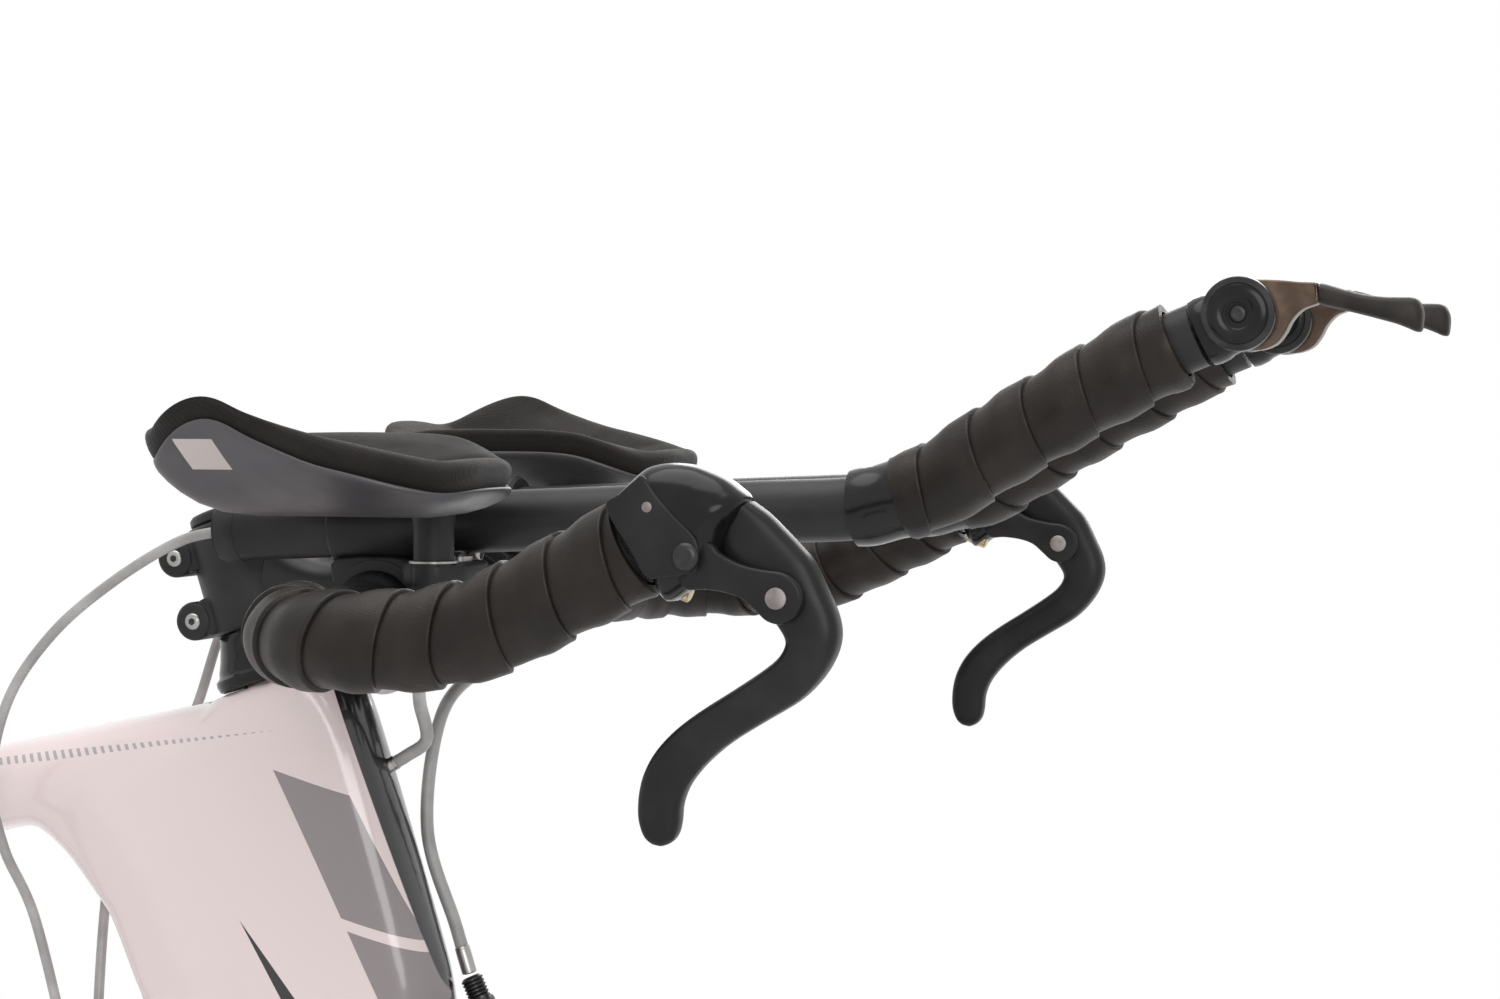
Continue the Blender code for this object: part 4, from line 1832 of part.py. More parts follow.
def front_derailleur():
    """Cage over the outer chainring, and the body that carries it on the seat tube."""
    tip = pitch_radius(OUTER_RING_TEETH) + TOOTH_TIP
    low, high = tip + 0.0020, tip + 0.0175
    outline = arc((0, 0), low, 70, 124, 9) + arc((0, 0), high, 121, 72, 7)
    inner_outline = arc((0, 0), low, 72, 124, 9) + arc((0, 0), high + 0.002, 118, 74, 7)
    outer_y = CHAIN_Y - 0.0044
    inner_y = CHAIN_Y + 0.0056
    cage = plate("front_derailleur_cage", [outline], BB + SIDE * outer_y, X_AXIS, UP, 0.0014, STEEL)
    join(cage, plate("cage_inner_plate", [inner_outline], BB + SIDE * inner_y, X_AXIS, UP, 0.0014, STEEL))
    bridge = arc((0, 0), high - 0.0014, 84, 100, 4) + arc((0, 0), high, 100, 84, 4)
    join(cage, plate("cage_bridge", [bridge], BB + SIDE * (outer_y + inner_y) / 2, X_AXIS, UP,
        inner_y - outer_y, STEEL))
    hang("front_derailleur_shift", cage)
    body_x = BB.x + (high + 0.004) * cos(radians(105))
    body_z = BB.z + (high + 0.004) * sin(radians(105))
    low_corner = Vector((body_x - 0.0130, inner_y + 0.0007 + GAP, body_z - 0.0080))
    high_corner = Vector((body_x + 0.0130, -0.0175, body_z + 0.0110))
    body = box("front_derailleur_body", low_corner, high_corner, BLACK_ALLOY)
    at = seat((body_z - BB.z + 0.004) / SEAT_UP.z)
    band = [(at, 0.0335, 0.0305, 0.0395), (at + SEAT_UP * 0.012, 0.0335, 0.0305, 0.0395)]
    strap = straight_tube("derailleur_band", band, SEAT_UP, BLACK_ALLOY, 0.85, 14)
    join(body, strap)
    tube = [(at - SEAT_UP * 0.03, 0.0300 + GAP + 0.0006, 0.0270 + GAP + 0.0006, 0.0320 + 0.0018),
        (at + SEAT_UP * 0.05, 0.0300 + GAP + 0.0006, 0.0270 + GAP + 0.0006, 0.0320 + 0.0018)]
    cut(body, straight_tube("band_bore", tube, SEAT_UP, STEEL, 0.85, 14))


# Joint axes


def make_pivots():
    pivot("steering", HEAD_BASE)
    pivot("front_wheel_spin", FRONT_AXLE, "steering")
    pivot("rear_wheel_spin", REAR_AXLE)
    pivot("cassette_spin", REAR_AXLE)
    pivot("crank_spin", BB)
    pivot("right_pedal_spin", BB + Vector((CRANK_LENGTH, -PEDAL_FACE_Y, 0)), "crank_spin")
    pivot("left_pedal_spin", BB + Vector((-CRANK_LENGTH, PEDAL_FACE_Y, 0)), "crank_spin")
    for side, word in ((-1, "right"), (1, "left")):
        pivot(f"{word}_brake_lever_pull", lever_place(side, 0, 0), "steering")
        pivot(f"{word}_shift_lever_turn", pod(side), "steering")
    a, b = BRAKE_SIDE_PIVOT
    pivot("front_brake_left", brake_point(FRONT_BRAKE, 0, 0, BRAKE_MOUNT_OUT), "steering")
    pivot("front_brake_right", brake_point(FRONT_BRAKE, a, b, BRAKE_MOUNT_OUT), "steering")
    pivot("rear_brake_left", brake_point(REAR_BRAKE, 0, 0, BRAKE_MOUNT_OUT))
    pivot("rear_brake_right", brake_point(REAR_BRAKE, a, b, BRAKE_MOUNT_OUT))
    pivot("front_release_turn", FRONT_AXLE + SIDE * (FRONT_HUB_WIDTH / 2 + DROPOUT_THICKNESS + 0.0115),
        "steering")
    pivot("rear_release_turn", REAR_AXLE + SIDE * (REAR_HUB_WIDTH / 2 + DROPOUT_THICKNESS + 0.0115))
    guide, tension = pulley_centres()
    pivot("derailleur_shift", guide + CAGE_PIVOT_OFFSET)
    pivot("cage_tension", guide + CAGE_PIVOT_OFFSET, "derailleur_shift")
    pivot("guide_pulley_spin", guide, "cage_tension")
    pivot("tension_pulley_spin", tension, "cage_tension")
    pivot("front_derailleur_shift", BB)


make_pivots()
frame()
seatpost()
saddle()
fork()
headset_cover()
stem()
base_bar()
for side, word in ((-1, "right"), (1, "left")):
    bar_tape(f"{word}_bar_tape", side)
    lever_body(f"{word}_brake_lever_body", side)
    lever_blade(f"{word}_brake_lever", side, f"{word}_brake_lever_pull")
    extension(f"{word}_extension", side)
    extension_tape(f"{word}_extension_tape", side)
    bracket(f"{word}_extension_bracket", side)
    arm_rest(f"{word}_arm_rest", side)
    arm_pad(f"{word}_arm_pad", side)
    shifter_body(f"{word}_shifter_body", side)
    shifter_lever(f"{word}_shift_lever", side, f"{word}_shift_lever_turn")
cables()
brake_arms(True, FRONT_BRAKE, ("front_brake_left", "front_brake_right"))
brake_arms(False, REAR_BRAKE, ("rear_brake_left", "rear_brake_right"))
front_wheel()
rear_wheel()
axle_set("front_axle", FRONT_AXLE, FRONT_HUB_WIDTH, FRONT_AXLE_RADIUS, 0.0060, "steering")
axle_set("rear_axle", REAR_AXLE, REAR_HUB_WIDTH, REAR_AXLE_RADIUS, 0.0022, None)
release_lever("front_release_lever", FRONT_AXLE, FRONT_HUB_WIDTH, 1, "front_release_turn")
release_lever("rear_release_lever", REAR_AXLE, REAR_HUB_WIDTH, 1, "rear_release_turn")
crankset()
left_crank()
bottom_bracket()
pedal("right_pedal", -1, Vector((1, 0, 0)), "right_pedal_spin")
pedal("left_pedal", 1, Vector((-1, 0, 0)), "left_pedal_spin")
cassette()
chain()
pulleys()
rear_derailleur()
front_derailleur()
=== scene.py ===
from math import asin, atan2, cos, pi, radians, sin

import bmesh
import bpy
import numpy as np
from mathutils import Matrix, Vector, noise


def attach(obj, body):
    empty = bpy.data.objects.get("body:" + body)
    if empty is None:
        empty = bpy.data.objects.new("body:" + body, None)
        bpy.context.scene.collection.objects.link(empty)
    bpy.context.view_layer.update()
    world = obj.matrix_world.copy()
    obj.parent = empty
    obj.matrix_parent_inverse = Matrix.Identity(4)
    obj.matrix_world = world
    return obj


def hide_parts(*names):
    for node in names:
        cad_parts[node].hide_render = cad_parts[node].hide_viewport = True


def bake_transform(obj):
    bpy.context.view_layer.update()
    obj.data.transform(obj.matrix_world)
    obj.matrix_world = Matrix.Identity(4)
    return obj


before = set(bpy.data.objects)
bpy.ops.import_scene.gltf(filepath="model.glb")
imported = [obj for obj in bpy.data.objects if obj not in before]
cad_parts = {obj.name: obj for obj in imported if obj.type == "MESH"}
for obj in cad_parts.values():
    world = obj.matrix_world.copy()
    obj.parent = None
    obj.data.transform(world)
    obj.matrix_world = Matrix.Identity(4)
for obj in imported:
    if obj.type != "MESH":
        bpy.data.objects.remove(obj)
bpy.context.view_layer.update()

# Studio
# A pale floor that fades into a white surround, a large soft lamp overhead and one at each side.
# The camera stands at the photograph's angle, on the right of the bicycle and a little in front of it.


class Wire:
    """A socket in a finish. Arithmetic on it adds Math nodes."""

    def __init__(self, finish, socket):
        self.finish = finish
        self.socket = socket

    def maths(self, operation, first, second=0.0, third=0.0):
        return self.finish.node("ShaderNodeMath", {"operation": operation}, {0: first, 1: second, 2: third})

    def part(self, name):
        """Another output of the same node."""
        return Wire(self.finish, self.socket.node.outputs[name])


for word, operation in (("add", "ADD"), ("sub", "SUBTRACT"), ("mul", "MULTIPLY"), ("truediv", "DIVIDE")):
    setattr(Wire, f"__{word}__", lambda self, other, kind=operation: self.maths(kind, self, other))
    setattr(Wire, f"__r{word}__", lambda self, other, kind=operation: self.maths(kind, other, self))
for word, operation in (("gt", "GREATER_THAN"), ("lt", "LESS_THAN")):
    setattr(Wire, f"__{word}__", lambda self, other, kind=operation: self.maths(kind, self, other))


class Finish:
    """One material: its shader's fixed values, and the nodes that vary them over the surface."""

    def __init__(self, name, colour, roughness, metallic=0.0, **fixed):
        self.material = bpy.data.materials.new(name)
        self.material.use_nodes = True
        self.tree = self.material.node_tree
        self.shader = self.tree.nodes["Principled BSDF"]
        values = {"Base Color": (*colour, 1.0), "Roughness": roughness, "Metallic": metallic}
        values.update({word.replace("_", " ").title(): value for word, value in fixed.items()})
        for socket, value in values.items():
            self.shader.inputs[socket.replace("Ior", "IOR")].default_value = value

    def node(self, kind, settings=None, sockets=None, output=0):
        made = self.tree.nodes.new(kind)
        for word, value in (settings or {}).items():
            if word == "stops":
                stops = made.color_ramp.elements
                while len(stops) < len(value):
                    stops.new(1.0)
                for stop, (place, tone) in zip(stops, value):
                    stop.position = place
                    stop.color = (*tone, 1.0) if len(tone) == 3 else tone
            else:
                setattr(made, word, value)
        for socket, value in (sockets or {}).items():
            if isinstance(value, Wire):
                self.tree.links.new(value.socket, made.inputs[socket])
            else:
                made.inputs[socket].default_value = value
        return Wire(self, made.outputs[output])

    def feed(self, socket, wire):
        self.tree.links.new(wire.socket, self.shader.inputs[socket])

    def place(self):
        """Where a point of the surface lies at rest, in metres."""
        return self.node("ShaderNodeTexCoord", output=3)

    def cloud(self, scale, detail=3.0, where=None):
        where = where or self.place()
        return self.node("ShaderNodeTexNoise", None, {"Vector": where, "Scale": scale, "Detail": detail})

    def band(self, value, low, high):
        """0 below low, 1 above high, with a smooth rise between."""
        settings = {"interpolation_type": "SMOOTHSTEP"}
        return self.node("ShaderNodeMapRange", settings, {"Value": value, "From Min": low, "From Max": high})

    def blend(self, factor, first, second, way="MIX"):
        first = first if isinstance(first, Wire) else (*first, 1.0)
        second = second if isinstance(second, Wire) else (*second, 1.0)
        settings = {"data_type": "RGBA", "blend_type": way}
        return self.node("ShaderNodeMix", settings, {0: factor, 6: first, 7: second}, 2)

    def relief(self, height, strength, distance):
        bump = self.node("ShaderNodeBump", None,
                         {"Height": height, "Strength": strength, "Distance": distance})
        self.feed("Normal", bump)


def floor_finish():
    pale = Finish("studio_floor", (0.93, 0.93, 0.94), roughness=0.9)
    across = pale.node("ShaderNodeVectorMath", {"operation": "LENGTH"}, {0: pale.place()}, 1)
    edge = pale.band(across, 1.6, 3.4)
    clear = pale.node("ShaderNodeBsdfTransparent")
    ground = Wire(pale, pale.shader.outputs[0])
    both = pale.node("ShaderNodeMixShader", None, {0: edge, 1: ground, 2: clear})
    pale.tree.links.new(both.socket, pale.tree.nodes["Material Output"].inputs["Surface"])
    return pale.material


ground = bmesh.new()
bmesh.ops.create_circle(ground, cap_ends=True, segments=96, radius=3.5)
ground_mesh = bpy.data.meshes.new("studio_floor")
ground.to_mesh(ground_mesh)
ground.free()
ground_mesh.materials.append(floor_finish())
ground_object = bpy.data.objects.new("studio_floor", ground_mesh)
ground_object.location.z = -0.0005
bpy.context.scene.collection.objects.link(ground_object)

surround = bpy.data.worlds.new("studio")
bpy.context.scene.world = surround
surround.use_nodes = True
nodes, links = surround.node_tree.nodes, surround.node_tree.links
path = nodes.new("ShaderNodeLightPath")
seen = nodes.new("ShaderNodeMath")
seen.operation = "MAXIMUM"
links.new(path.outputs["Is Camera Ray"], seen.inputs[0])
through = nodes.new("ShaderNodeMath")
through.operation = "MAXIMUM"
links.new(path.outputs["Is Glossy Ray"], through.inputs[0])
links.new(path.outputs["Is Transmission Ray"], through.inputs[1])
links.new(through.outputs[0], seen.inputs[1])
level = nodes.new("ShaderNodeMapRange")
level.inputs["To Min"].default_value = 0.55
level.inputs["To Max"].default_value = 1.0
links.new(seen.outputs[0], level.inputs["Value"])
backdrop = nodes["Background"]
backdrop.inputs["Color"].default_value = (1.0, 1.0, 1.0, 1.0)
links.new(level.outputs[0], backdrop.inputs["Strength"])

for name, place, aim, size, power in (
    ("overhead_lamp", (0.2, -0.2, 3.2), (0.0, 0.0, 0.6), 2.6, 42.0),
    ("right_lamp", (1.6, -2.6, 1.7), (0.3, 0.0, 0.8), 1.8, 30.0),
    ("left_lamp", (0.4, 2.8, 2.0), (0.2, 0.0, 0.7), 2.0, 34.0),
):
    lamp = bpy.data.lights.new(name, "AREA")
    lamp.shape = "DISK"
    lamp.size = size
    lamp.energy = power
    lamp_object = bpy.data.objects.new(name, lamp)
    lamp_object.location = place
    lamp_object.rotation_euler = (Vector(aim) - Vector(place)).to_track_quat("-Z", "Y").to_euler()
    bpy.context.scene.collection.objects.link(lamp_object)

bpy.context.scene.view_settings.view_transform = "Standard"
camera = bpy.data.cameras.new("camera")
camera.sensor_width = 36.0
camera.lens = 82.69
camera.clip_start = 0.05
camera_object = bpy.data.objects.new("camera", camera)
camera_object.location = (0.8560, -1.1993, 0.9234)
camera_object.rotation_euler = (radians(88.25), 0.0, radians(17.29))
bpy.context.scene.collection.objects.link(camera_object)
bpy.context.scene.camera = camera_object

# Frame
# One hollow composite moulding, sanded and painted gloss white, with a row of grey ticks along the top tube,
# slanted grey blocks beside the head tube and a black nose. The tubes run into each other in smooth fillets.

SIDE = Vector((0, 1, 0))
UP = Vector((0, 0, 1))
FORE = Vector((1, 0, 0))
HEAD_BASE = Vector((0.34083, 0, 0.67204))
HEAD_UP = Vector((-0.30071, 0, 0.95372))
HEAD_FORE = Vector((0.95372, 0, 0.30071))


def kept_mesh(obj, name):
    """The mesh that an object's modifiers make."""
    shown = obj.evaluated_get(bpy.context.evaluated_depsgraph_get())
    mesh = bpy.data.meshes.new_from_object(shown)
    mesh.name = name
    return mesh


def moulded(node, voxel, passes, name):
    """A smooth casting over a CAD node's shape: one skin, with its edges and inner corners rounded."""
    rough = bpy.data.objects.new(name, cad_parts[node].data.copy())
    bpy.context.scene.collection.objects.link(rough)
    skin = rough.modifiers.new("skin", "REMESH")
    skin.mode = "VOXEL"
    skin.voxel_size = voxel
    rounding = rough.modifiers.new("rounding", "SMOOTH")
    rounding.factor = 0.5
    rounding.iterations = passes
    mesh = kept_mesh(rough, name)
    rough.modifiers.clear()
    rough.data = mesh
    mesh.materials.clear()
    mesh.shade_smooth()
    return rough


def paint_finish():
    paint = Finish("white_paint", (0.75, 0.66, 0.66), roughness=0.16, coat_weight=0.5, coat_roughness=0.05)
    place = paint.place()
    apart = paint.node("ShaderNodeSeparateXYZ", None, {0: place})
    x, z = apart.part("X"), apart.part("Z")
    along = (x - HEAD_BASE.x) * HEAD_UP.x + (z - HEAD_BASE.z) * HEAD_UP.z
    fore = (x - HEAD_BASE.x) * HEAD_FORE.x + (z - HEAD_BASE.z) * HEAD_FORE.z
    # ticks on the flank of the top tube, in a row that follows its slope and is tallest at its middle
    row = z - 0.7930 - (x - 0.2700) * 0.135
    steps = ((x + row * 0.5) * 290.0).maths("FRACT", (x + row * 0.5) * 290.0)
    middle = x - 0.205
    reach = 0.0018 - middle.maths("ABSOLUTE", middle) * 0.018
    ticks = (row.maths("ABSOLUTE", row) < reach) * (steps < 0.42)
    # two slanted blocks on the flank of the head tube
    lean = fore - (0.1172 - along) * 0.164
    rank = (0.1141 - along - fore * 0.68) * 17.1
    share = rank.maths("FRACT", rank)
    blocks = (lean > -0.0045) * (lean < 0.0185) * (share < 0.92) * (rank > 0.0) * (rank < 1.92)
    # a black flash that starts in a point below the head tube and widens towards the down tube's front edge
    drop = 0.72511 - z
    lead = x - 0.28698
    flash = (drop > 0.0) * (lead > drop * 0.599) * (lead < drop * 0.813) * (along > 0.003)
    # the black nose, widest at the top
    dark = paint.band(fore + along * 0.045, 0.0318, 0.0321) * (along > -0.004) * (along < 0.16)
    drift = paint.cloud(3.0, 2.0, place)
    colour = paint.blend(drift, (0.735, 0.615, 0.605), (0.795, 0.68, 0.675))
    colour = paint.blend(ticks, colour, (0.40, 0.38, 0.39))
    colour = paint.blend(blocks, colour, (0.26, 0.225, 0.225))
    colour = paint.blend(flash.maths("MAXIMUM", flash, dark), colour, (0.012, 0.012, 0.014))
    paint.feed("Base Color", colour)
    paint.feed("Roughness", 0.14 + paint.cloud(40.0, 4.0, place) * 0.08)
    paint.relief(paint.cloud(90.0, 1.0, place), 0.04, 0.0004)
    return paint.material


white_paint = paint_finish()
frame_skin = moulded("frame", voxel=0.0022, passes=18, name="frame_moulding")
frame_skin.data.materials.append(white_paint)
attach(frame_skin, "frame_body")
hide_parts("frame")

# Fork
# Two blades and a crown moulded in one piece and painted white, on a bare steerer that runs up through the
# head tube.

fork_skin = moulded("fork", voxel=0.0020, passes=16, name="fork_moulding")
fork_skin.data.materials.append(white_paint)
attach(fork_skin, "steering_body")
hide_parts("fork")

# Headset cover
# A turned aluminium cone, anodised gloss black, that closes the top bearing and carries the stem.

HEAD_LENGTH = 0.150


def head(along, fore=0.0, left=0.0):
    """A point by its distance up the steering axis, in front of it and to the left."""
    return HEAD_BASE + along * HEAD_UP + fore * HEAD_FORE + left * SIDE


def between(points, share):
    """A point on the smooth curve through a list of points, by its share of the way along the list."""
    last = len(points) - 1
    at = min(max(share * last, 0.0), last - 1e-9)
    i = int(at)
    t = at - i
    a, b = points[max(i - 1, 0)], points[i]
    c, d = points[i + 1], points[min(i + 2, last)]
    return 0.5 * (2 * b + (c - a) * t + (2 * a - 5 * b + 4 * c - d) * t**2 + (3 * b - a - 3 * c + d) * t**3)


def smooth_loop(points, steps=4):
    """A closed outline with points added on the smooth curve through the given ones."""
    count = len(points)
    loop = []
    for i in range(count):
        a, b, c, d = (Vector(points[(i + k) % count]) for k in (-1, 0, 1, 2))
        for k in range(steps):
            t = k / steps
            loop.append(0.5 * (2 * b + (c - a) * t + (2 * a - 5 * b + 4 * c - d) * t**2
                               + (3 * b - a - 3 * c + d) * t**3))
    return loop


class Route:
    """A smooth centreline through points, read by the length run along it."""

    def __init__(self, points, reference=UP, steps=14):
        points = [Vector(p) for p in points]
        count = steps * (len(points) - 1)
        dense = [between(points, i / count) for i in range(count + 1)]
        self.places = np.array([tuple(p) for p in dense])
        legs = np.linalg.norm(np.diff(self.places, axis=0), axis=1)
        self.runs = np.concatenate([[0.0], np.cumsum(legs)])
        self.length = float(self.runs[-1])
        ahead = np.gradient(self.places, axis=0)
        self.ahead = ahead / np.linalg.norm(ahead, axis=1)[:, None]
        normal = np.array(tuple(reference), float)
        normals = []
        for direction in self.ahead:
            normal = normal - direction * (normal @ direction)
            normal = normal / np.linalg.norm(normal)
            normals.append(normal)
        self.normals = np.array(normals)

    def at(self, run):
        """The point, the way ahead, and two directions across it."""
        run = min(max(run, 0.0), self.length)
        i = min(int(np.searchsorted(self.runs, run)), len(self.runs) - 1)
        i = max(i, 1)
        t = (run - self.runs[i - 1]) / max(self.runs[i] - self.runs[i - 1], 1e-12)
        point = Vector(self.places[i - 1] * (1 - t) + self.places[i] * t)
        ahead = Vector(self.ahead[i - 1] * (1 - t) + self.ahead[i] * t).normalized()
        up = Vector(self.normals[i - 1] * (1 - t) + self.normals[i] * t).normalized()
        return point, ahead, up, ahead.cross(up)


def hoop(point, up, side, radius, count):
    return [point + (up * cos(2 * pi * j / count) + side * sin(2 * pi * j / count)) * radius
            for j in range(count)]


class Form:
    """The skins of one piece, gathered before they become its mesh. tone is the finish of what comes next,
    or None for the first of the piece's finishes."""

    def __init__(self):
        self.points = []
        self.faces = []
        self.tones = []
        self.tone = None

    def skin(self, rings, capped=True, looped=False):
        first = len(self.points)
        width = len(rings[0])
        for ring in rings:
            self.points += [Vector(p) for p in ring]
        for i in range(len(rings) if looped else len(rings) - 1):
            for j in range(width):
                k = (j + 1) % width
                a = first + i * width
                b = first + (i + 1) % len(rings) * width
                self.faces.append((a + j, a + k, b + k, b + j))
        if capped and not looped:
            self.faces.append(tuple(range(first + width - 1, first - 1, -1)))
            end = first + (len(rings) - 1) * width
            self.faces.append(tuple(range(end, end + width)))
        self.tones += [self.tone] * (len(self.faces) - len(self.tones))

    def lathe(self, origin, axis, profile, steps=48, start=0.0):
        """Turned about an axis: distances along it, and radii. A ring if the profile returns to its start."""
        axis = Vector(axis).normalized()
        across = (UP if abs(axis.z) < 0.9 else FORE)
        across = (across - axis * axis.dot(across)).normalized()
        third = axis.cross(across)
        turn = [start + 2 * pi * j / steps for j in range(steps)]
        rings = [[origin + axis * a + (across * cos(t) + third * sin(t)) * max(r, 1e-5) for t in turn]
                 for a, r in profile]
        looped = profile[0] == profile[-1]
        self.skin(rings[:-1] if looped else rings, looped=looped)

    def rod(self, a, b, radius, steps=24, edge=0.0006):
        """A straight pin from a to b with broken edges."""
        a, b = Vector(a), Vector(b)
        long = (b - a).length
        edge = min(edge, long / 3, radius / 2)
        profile = [(0, radius - edge), (edge * 0.35, radius - edge * 0.3), (edge, radius)]
        profile += [(long - edge, radius), (long - edge * 0.35, radius - edge * 0.3), (long, radius - edge)]
        self.lathe(a, b - a, profile, steps)

    def tube(self, route, radius, sides=24, start=0.0, end=None, pace=0.004):
        """Swept round section; radius is a number or a function of the share of the way."""
        end = route.length if end is None else end
        count = max(2, round((end - start) / pace))
        rings = []
        for i in range(count + 1):
            share = i / count
            point, _, up, side = route.at(start + (end - start) * share)
            rings.append(hoop(point, up, side, radius(share) if callable(radius) else radius, sides))
        self.skin(rings)

    def slab(self, outline, origin, u, v, low, high, soft, steps=4):
        """A flat piece with a closed outline along u and v, from low to high across it, edges rounded."""
        across = u.cross(v).normalized()
        count = len(outline)
        normals = []
        area = sum(outline[i][0] * outline[(i + 1) % count][1] - outline[(i + 1) % count][0] * outline[i][1]
                   for i in range(count))
        hand = 1.0 if area > 0 else -1.0
        for i in range(count):
            a, b = Vector(outline[i - 1]), Vector(outline[(i + 1) % count])
            d = (b - a).normalized()
            normals.append(Vector((d.y, -d.x)) * hand)
        soft = min(soft, (high - low) / 2 - 1e-6)
        rings = []
        turns = [pi / 2 * k / steps for k in range(steps + 1)]
        for level, way in ((low, -1), (high, 1)):
            for t in (turns if way < 0 else turns[::-1]):
                inset = soft * (1 - sin(t))
                height = level - way * soft * (1 - cos(t))
                rings.append([origin + u * (p[0] - n.x * inset) + v * (p[1] - n.y * inset) + across * height
                              for p, n in zip(outline, normals)])
        self.skin(rings)

    def object(self, name, finishes, sharp=40.0):
        """The gathered skins as one object, its edges hard where they turn by more than the sharp angle."""
        mesh = bpy.data.meshes.new(name)
        mesh.from_pydata([tuple(p) for p in self.points], [], self.faces)
        for finish in finishes:
            mesh.materials.append(finish)
        numbers = {finish: i for i, finish in enumerate(finishes)}
        numbers[None] = 0
        mesh.polygons.foreach_set("material_index", [numbers[tone] for tone in self.tones])
        shaped = bmesh.new()
        shaped.from_mesh(mesh)
        bmesh.ops.remove_doubles(shaped, verts=shaped.verts, dist=2e-6)
        bmesh.ops.recalc_face_normals(shaped, faces=shaped.faces)
        shaped.to_mesh(mesh)
        shaped.free()
        mesh.shade_smooth()
        mesh.set_sharp_from_angle(angle=radians(sharp))
        made = bpy.data.objects.new(name, mesh)
        bpy.context.scene.collection.objects.link(made)
        return made


def mm(*rows):
    """Rows of lengths given in millimetres."""
    return [tuple(value / 1000 for value in row) for row in rows]


def fitted(obj, body, slot, *nodes):
    """Hangs a finished piece on its body and hides the CAD nodes that it stands for."""
    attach(obj, body)
    if nodes:
        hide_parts(*nodes)
    return obj


def worn_finish(name, colour, roughness, dark, light, low, high, scale, metallic=0.0, grain=None, **fixed):
    """Colour and roughness drift over the surface. grain is scale, detail, strength and depth of a relief."""
    made = Finish(name, colour, roughness, metallic, **fixed)
    drift = made.band(made.cloud(scale), 0.35, 0.7)
    made.feed("Base Color", made.blend(drift, dark, light))
    made.feed("Roughness", low + made.cloud(scale * 2.3) * (high - low))
    if grain:
        scale, detail, strength, depth = grain
        made.relief(made.cloud(scale, detail), strength, depth)
    return made.material


gloss_black = worn_finish(
    "gloss_black", (0.007, 0.007, 0.0075), roughness=0.2, dark=(0.006, 0.006, 0.0065),
    light=(0.012, 0.0115, 0.0115), low=0.14, high=0.28, scale=60.0, grain=(900.0, 2.0, 0.08, 0.0001),
    specular_ior_level=0.18, coat_weight=0.1, coat_roughness=0.1)
cover = Form()
cover.lathe(head(HEAD_LENGTH), HEAD_UP, mm((0.3, 15), (0.3, 22.5), (1, 23.8), (3.2, 24.5), (4.8, 24.3),
                                           (5.8, 23.2), (6.6, 22.6), (7.8, 22.4), (12, 20.8), (18, 19),
                                           (20.8, 18.6), (21.2, 18.2), (21.2, 15), (0.3, 15)), steps=72)
fitted(cover.object("headset_cover_turned", [gloss_black]), "steering_body", "black_alloy", "headset_cover")

# Stem
# A forged and anodised aluminium clamp on the steerer with two silver bolts behind it, and a body that
# reaches forward to the bar, where four small bolts pull a face plate over it. Satin black.

LEVER_X = 0.55652
LEVER_Z = 0.86209


def cockpit(x, z, y=0.0):
    """A point by its distance in front of and above the brake lever pivots."""
    return Vector((LEVER_X + x, y, LEVER_Z + z))


def grained_finish(name, colour, roughness, metallic, dark, light, low, rise, scale, detail=3.0):
    """Colour and roughness follow one fine cloud."""
    made = Finish(name, colour, roughness, metallic)
    drift = made.cloud(scale, detail)
    made.feed("Base Color", made.blend(drift, dark, light))
    made.feed("Roughness", low + drift * rise)
    return made


satin_black = worn_finish("satin_black", (0.016, 0.016, 0.017), roughness=0.42,
                          dark=(0.014, 0.014, 0.015), light=(0.024, 0.023, 0.023), low=0.34, high=0.52,
                          scale=35.0, grain=(1400.0, 2.0, 0.15, 0.0001), specular_ior_level=0.26)
bolt_steel = grained_finish("bolt_steel", (0.60, 0.59, 0.57), roughness=0.28, metallic=1.0,
                            dark=(0.30, 0.295, 0.285), light=(0.44, 0.43, 0.415), low=0.2, rise=0.25,
                            scale=300.0).material
bolt_black = grained_finish("bolt_black", (0.030, 0.030, 0.032), roughness=0.3, metallic=0.7,
                            dark=(0.022, 0.022, 0.024), light=(0.050, 0.049, 0.050), low=0.24, rise=0.2,
                            scale=400.0).material
BAR_X, BAR_Z = -0.1980, -0.0180
BAR_CENTRE = cockpit(BAR_X, BAR_Z)
BAR_CLAMP_RADIUS = 0.0159


def socket_bolt(form, at, out, radius, deep, head_finish, hollow_finish):
    """A button head with a hexagon socket; at is the seat, out the way that it faces."""
    out = Vector(out).normalized()
    form.tone = head_finish
    form.lathe(at, out, [(-0.001, radius * 0.92), (0, radius), (deep * 0.45, radius),
                         (deep * 0.85, radius * 0.84), (deep, radius * 0.62), (deep, radius * 0.50),
                         (deep * 0.98, radius * 0.46)], steps=32)
    form.tone = hollow_finish
    form.lathe(at + out * deep * 0.3, out, [(0, radius * 0.2), (deep * 0.705, radius * 0.46)], steps=6)


def squarish(width, height, square, count=32):
    """Half widths and a squareness give a rounded outline."""
    loop = []
    for j in range(count):
        t = 2 * pi * j / count
        c, s = cos(t), sin(t)
        loop.append((width * (abs(c) ** square) * (1 if c >= 0 else -1),
                     height * (abs(s) ** square) * (1 if s >= 0 else -1)))
    return loop


